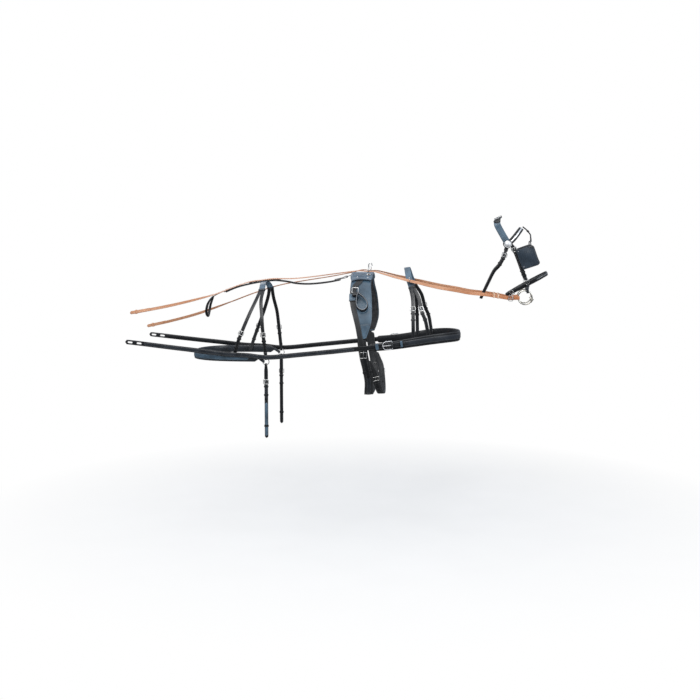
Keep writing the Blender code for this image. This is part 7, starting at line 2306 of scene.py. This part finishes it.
def add_back_strap():
    """From the saddle dee along the spine, over the hip strap, to the crupper."""
    bar, along, _ = dee_place()
    far_bar = bar + along * DEE_LENGTH
    fold = fold_for(BUCKLE_WIRE, STRAP_THICKNESS)
    free = [(side_view(a, 0.0, h), Vector((0, 0, 1))) for a, h in BACK_STRAP_SHARES]
    heading = (far_bar - free[0][0]).normalized()
    face = Vector((-heading.z, 0.0, heading.x))
    if face.z < 0:
        face.negate()
    seat = far_bar - face * fold
    stations = [on_body(a, 0.0, LAYER_TWO) for a in BACK_STRAP_ON_SHARES][::-1] + free[::-1] + [(seat, face)]
    base = fine(stations)
    base[-1] = (seat, heading, face)
    frames = turned_end(base, fold, BACK_STRAP_LAP, STRAP_THICKNESS + LAYER_GAP, 2 * BUCKLE_WIRE)
    strap = Skin().frames(frames, BACK_STRAP_WIDTH, STRAP_THICKNESS, tips=(0.008, 0.006))
    strap.make("back_strap_leather", BLACK, replaces=["back_strap"])
    lining = Skin().lap(base, 0.010, -0.040, -STRAP_THICKNESS / 2 - 0.0032, BACK_STRAP_WIDTH - 0.002, 0.0068,
                        tips=(0.010, 0.006))
    lining.make("back_strap_lining", BLACK)
    laps = Skin().lap(base, 0.165, 0.352, BILLET_RISE, BACK_STRAP_WIDTH - 0.003, BILLET_THICKNESS,
                      tips=(0.010, 0.0), punched=1.0)
    laps.make("back_strap_billet", BLACK)
    clasp = Skin().buckle_at(base, 0.346, BACK_STRAP_WIDTH, 0.026, 0.0048, facing=-1)
    clasp.make("back_strap_buckle", NICKEL)
    trim = Skin().keepers(base, BACK_STRAP_WIDTH, UNDER_KEEPER_LOW, BACK_STRAP_KEEPERS)
    trim.make("back_strap_keepers", SHEEN_FAINT)


DOCK_SLIM = 0.70


def add_crupper():
    """A padded dock loop round the tail, on a strap that laps the back strap."""
    near = [(side_view(*shares), Vector((-1, 0, 0))) for shares in DOCK_SHARES]
    points = [point for point, _ in smooth_route(round_to_far(near), closed=True)]
    top = max(point.z for point in points)
    low = min(point.z for point in points)
    radii = [(1.0 - 0.45 * ((point.z - low) / (top - low)) ** 3) * (0.985 + 0.02 * noise.noise(point * 40.0))
             for point in points]
    dock = Skin().tube(points, DOCK_SLIM * DOCK_RADIUS, closed=True, radii=radii, sides=18)
    dock.make("crupper_dock", BLACK, replaces=["crupper"])
    centre = sum(points, Vector()) / len(points)
    line = [point + (point - centre).normalized() * DOCK_SLIM * DOCK_RADIUS * size * 0.985
            for point, size in zip(points, radii)]
    Skin().tube(line, 0.0008, closed=True, sides=6).make("crupper_seam", EDGE_LEATHER)
    end = side_view(*DOCK_SHARES[0])
    end.y = 0.0
    stations = [on_body(a, 0.0, LAYER_THREE) for a in CRUPPER_TAB_SHARES] + [(end, Vector((-0.5, 0.0, 0.86)))]
    frames = fine(stations)
    tab = Skin().frames(frames, BACK_STRAP_WIDTH, STRAP_THICKNESS, tips=(0.008, 0.004))
    tab.make("crupper_tab", BLACK)
    trim = Skin().keepers(frames, BACK_STRAP_WIDTH, -0.0060, [(0.020, 0.0030, 0.010)])
    trim.make("crupper_keeper", SHEEN_FAINT)


def hip_front(end, side):
    """The front branch, its end turned round the top of the breeching ring."""
    fold = fold_for(SEAT_RING_WIRE, STRAP_THICKNESS)
    slack = slack_for(SEAT_RING_RADIUS, RING_FOLD_WIDTH, SEAT_RING_WIRE)
    centre = seat_ring_centre(side)
    out = outward(side)
    along = Vector((0.0, 0.0, -1.0))
    seat = ring_seat(centre, SEAT_RING_RADIUS, along, out, fold, slack)
    lead = seat - along * open_for(slack, SEAT_RING_WIRE)
    stations = fork_root(end, 0.25, HIP_STRAP_WIDTH, HIP_FRONT_SHARES)
    base = fine(sided(stations, side) + [(lead, out), (seat, out)])
    base[-1] = (seat, along, out)
    frames = turned_end(base, fold, HIP_LAP, STRAP_THICKNESS + LAYER_GAP, open_for(slack, SEAT_RING_WIRE))
    rows = tab_rows(frames, HIP_BRANCH_WIDTH, RING_FOLD_WIDTH, centre - along * SEAT_RING_RADIUS, 2 * fold)
    return rows, base


def add_hip_strap():
    branches, trunk, rear = add_forked_strap("hip_strap", HIP_SHARES, HIP_REAR_SHARES, HIP_STRAP_WIDTH,
                                             HIP_BRANCH_WIDTH)
    for tag, side in SIDES:
        rows, front = hip_front(trunk[-1], side)
        branches.strap(rows, STRAP_THICKNESS)
        laps, trim, clasps = skins = Skin(), Skin(), Skin()
        billet(skins, for_side(rear, side), 0.3075, 0.430, HIP_BRANCH_WIDTH, (0.341, 0.396))
        billet(skins, front, 0.305, 0.360, HIP_BRANCH_WIDTH, (0.343,))
        trim.make("hip_keepers_" + tag, EDGE_LEATHER)
        laps.make("hip_billets_" + tag, BLACK)
        clasps.make("hip_buckles_" + tag, NICKEL)
        loops = Skin().keepers(for_side(trunk, side), HIP_STRAP_WIDTH, -0.0030, [(-0.006, 0.0030, 0.016)])
        loops.make("hip_fork_loop_" + tag, SHEEN_FAINT)
    branches.make("hip_strap_branches", BLACK)


def add_breeching_seat():
    """The band round the quarters in two layers; each front end is turned round its ring."""
    fold = fold_for(SEAT_RING_WIRE, SEAT_THICKNESS)
    slack = slack_for(SEAT_RING_RADIUS, SEAT_TAB_WIDTH, SEAT_RING_WIRE, SEAT_SLANT)
    out = outward(1)
    slope = math.radians(SEAT_SLANT)
    along = Vector((math.cos(slope), 0.0, -math.sin(slope)))
    seat = ring_seat(seat_ring_centre(1), SEAT_RING_RADIUS, along, out, fold, slack)
    base = fine(seat_stations(SEAT_LIFT) + [(seat, out)])
    base[-1] = (seat, along, out)
    near = turned_end(base, fold, SEAT_LAP, SEAT_THICKNESS + LAYER_GAP, open_for(slack, SEAT_RING_WIRE))
    whole = both_halves(near)
    band = Skin().strap(narrow_ends(rows_of(whole, SEAT_HEIGHT), whole), SEAT_THICKNESS, crown=0.0010)
    band.make("breeching_seat_leather", SHEEN_FAINT, replaces=["breeching_seat"])
    layer = piece_of(both_halves(base), 0.090, -0.090, SEAT_THICKNESS / 2 + 0.0002, step=0.012)
    strip = Skin().frames(layer, 0.026, 0.0030, tips=(0.014, 0.014), crown=0.0008)
    strip.make("breeching_seat_layer", SHEEN)
    Skin().edge_thread(layer, 0.026, 0.0030, 0.0035).make("breeching_seat_thread", THREAD)


def add_seat_rings():
    for tag, side in SIDES:
        body = "breeching_ring_" + tag
        wire = Skin().ring(seat_ring_centre(side), (0, 1, 0), SEAT_RING_RADIUS, SEAT_RING_WIRE, sides=16)
        wire.make(body + "_wire", NICKEL, body=body, replaces=[body])


def add_holdbacks():
    """The strap that hangs from each breeching ring, buckled on itself."""
    fold = fold_for(SEAT_RING_WIRE, STRAP_THICKNESS)
    slack = slack_for(SEAT_RING_RADIUS, RING_FOLD_WIDTH, SEAT_RING_WIRE)
    along = Vector((0.0, 0.0, 1.0))
    for tag, side in SIDES:
        body = "holdback_" + tag
        centre = seat_ring_centre(side)
        inward = -outward(side)
        seat = ring_seat(centre, SEAT_RING_RADIUS, along, -inward, fold, slack)
        base = fine([(seat - along * HOLDBACK_LENGTH * i / 8, -inward) for i in range(8, -1, -1)])
        frames = turned_end(base, fold, HOLDBACK_LAP, STRAP_THICKNESS + LAYER_GAP,
                            open_for(slack, SEAT_RING_WIRE))
        rows = tab_rows(frames, HOLDBACK_WIDTH, RING_FOLD_WIDTH, centre - along * SEAT_RING_RADIUS, 2 * fold)
        strap = Skin().strap(rows, STRAP_THICKNESS, tips=(0.012, 0.008))
        strap.make("holdback_leather_" + tag, BLACK, body=body, replaces=["holdback_strap_" + tag])
        down = backwards(base)
        clasp = Skin().buckle_at(down, 0.102, HOLDBACK_WIDTH, 0.026, 0.0086)
        clasp.make("holdback_buckle_frame_" + tag, NICKEL, body=body)
        laps = Skin().lap(down, 0.094, 0.205, STRAP_THICKNESS + 0.0006, HOLDBACK_WIDTH - 0.002,
                          BILLET_THICKNESS, tips=(0.0, 0.010), punched=1.0)
        laps.make("holdback_billet_" + tag, SHEEN_FAINT, body=body)
        trim = Skin().keepers(down, HOLDBACK_WIDTH, -0.0024, HOLDBACK_KEEPERS)
        trim.make("holdback_keepers_" + tag, EDGE_LEATHER, body=body)
        # A thin strip over the lower holdback, in leather with a painted blue-grey sheen.
        layer = Skin().lap(down, 0.225, -0.012, STRAP_THICKNESS / 2 + 0.0006, HOLDBACK_WIDTH - 0.004, 0.0014,
                           crown=0.0004, tips=(0.010, 0.008))
        layer.make("holdback_painted_sheen_layer_" + tag, SHEEN, body=body)


# Floor, light and camera
FLOOR_HEIGHT = -1.385
FLOOR_SIZE = 24.0
FLOOR_FADE_START = 1.3
FLOOR_FADE_LENGTH = 1.5
VIEW_PLACE = Vector((0.6716, -6.77, 0.3142))
VIEW_YAW = math.radians(6.469)
VIEW_PITCH = math.radians(6.108)
VIEW_LENS = 58.63
WHITE = (1.0, 1.0, 1.0)
LAMPS = (
    ("key", (-1.2, -4.6, 4.4), (0.1, 0.0, -0.3), 3.6, 185.0, (1.0, 0.985, 0.96)),
    ("fill", (4.2, -3.4, 2.2), (0.2, 0.0, -0.4), 3.0, 80.0, (0.95, 0.98, 1.0)),
    ("top", (-0.4, 0.6, 4.8), (-0.2, 0.0, 0.0), 3.6, 50.0, (0.96, 0.98, 1.0)),
    ("back", (-2.8, 3.8, 2.6), (-0.2, 0.0, -0.3), 2.6, 40.0, WHITE),
)


def aim(item, place, ahead):
    turn = ahead.to_track_quat("-Z", "Y").to_matrix().to_4x4()
    item.matrix_world = Matrix.Translation(Vector(place)) @ turn
    return item


def add_camera():
    seen = bpy.data.cameras.new("camera")
    seen.lens = VIEW_LENS
    seen.sensor_width = 36.0
    seen.clip_end = 60.0
    ahead = Vector((-math.sin(VIEW_YAW) * math.cos(VIEW_PITCH), math.cos(VIEW_YAW) * math.cos(VIEW_PITCH),
                    -math.sin(VIEW_PITCH)))
    bpy.context.scene.camera = aim(placed("camera", seen), VIEW_PLACE, ahead)


def add_floor():
    """A pale floor that keeps the shadow and fades to the white background."""
    mesh = bpy.data.meshes.new("floor")
    corners = [(x * FLOOR_SIZE, y * FLOOR_SIZE, FLOOR_HEIGHT)
               for x, y in ((-1, -1), (1, -1), (1, 1), (-1, 1))]
    mesh.from_pydata(corners, [], [(0, 1, 2, 3)])
    made, shades = new_material("pale_floor")
    grain = shades.cloud(3.0, 4.0)
    ray = shades.node("LightPath").outputs
    tone = shades.mix(grain, (0.84, 0.84, 0.84), (0.89, 0.89, 0.89))
    tone = shades.mix(ray["Is Glossy Ray"], tone, (0.10, 0.10, 0.10))
    shades.surface(Base_Color=tone, Roughness=shades.step("MULTIPLY_ADD", grain, 0.1, 0.75))
    off = shades.node("VectorMath")
    off.operation = "LENGTH"
    shades.feed(off.inputs[0], shades.place())
    far = shades.step("SUBTRACT", off.outputs["Value"], FLOOR_FADE_START)
    far = shades.step("DIVIDE", far, FLOOR_FADE_LENGTH, clamp=True)
    blend = shades.node("MixShader", Fac=shades.step("MULTIPLY", far, ray["Is Camera Ray"]))
    nodes = made.node_tree.nodes
    shades.feed(blend.inputs[1], nodes["Principled BSDF"].outputs[0])
    shades.feed(blend.inputs[2], shades.node("Emission", Color=WHITE).outputs[0])
    shades.feed(nodes["Material Output"].inputs["Surface"], blend.outputs[0])
    mesh.materials.append(made)
    return placed("floor", mesh)


def add_world():
    """White for the camera, a dim room with a bright top for the metal, and even light for the rest."""
    world = bpy.data.worlds.new("studio")
    world.use_nodes = True
    shades = Shades(world.node_tree)
    ray = shades.node("LightPath").outputs
    seen = shades.step("MAXIMUM", ray["Is Camera Ray"], ray["Is Transmission Ray"])
    height = shades.parts(shades.node("TexCoord").outputs["Generated"])[2]
    rise = shades.step("MULTIPLY_ADD", height, 1.3, 0.35, clamp=True)
    room = shades.mix(rise, (0.05, 0.055, 0.065), (0.55, 0.60, 0.68))
    tone = shades.mix(ray["Is Glossy Ray"], (0.52, 0.54, 0.57), room)
    shades.feed(world.node_tree.nodes["Background"].inputs["Color"], shades.mix(seen, tone, WHITE))
    bpy.context.scene.world = world


def add_lamps():
    made = []
    for name, place, target, size, power, colour in LAMPS:
        lamp = bpy.data.lights.new(name, "AREA")
        lamp.shape = "SQUARE"
        lamp.size = size
        lamp.energy = power
        lamp.color = colour
        made.append(aim(placed(name, lamp), place, Vector(target) - Vector(place)))
    return made


for add in (
    add_camera, add_reins, add_headpiece, add_browband, add_rosettes, add_cheekpieces, add_bit_straps,
    add_noseband, add_throatlash, add_blinkers, add_winker_stay, add_bit, add_neck_strap, add_neck_rings,
    add_breast_collar, add_traces, add_trace_buckles, add_saddle_pads, add_saddle_flaps, add_saddle_tree,
    add_terrets, add_rein_hook, add_saddle_dee, add_back_band, add_girth, add_belly_band, add_girth_buckles,
    add_tug_keepers, add_tug_buckles, add_shaft_tugs, add_back_strap, add_crupper, add_hip_strap,
    add_breeching_seat, add_seat_rings, add_holdbacks,
):
    add()
floor = add_floor()
lamps = add_lamps()
add_world()
bpy.context.scene.view_settings.view_transform = "Standard"
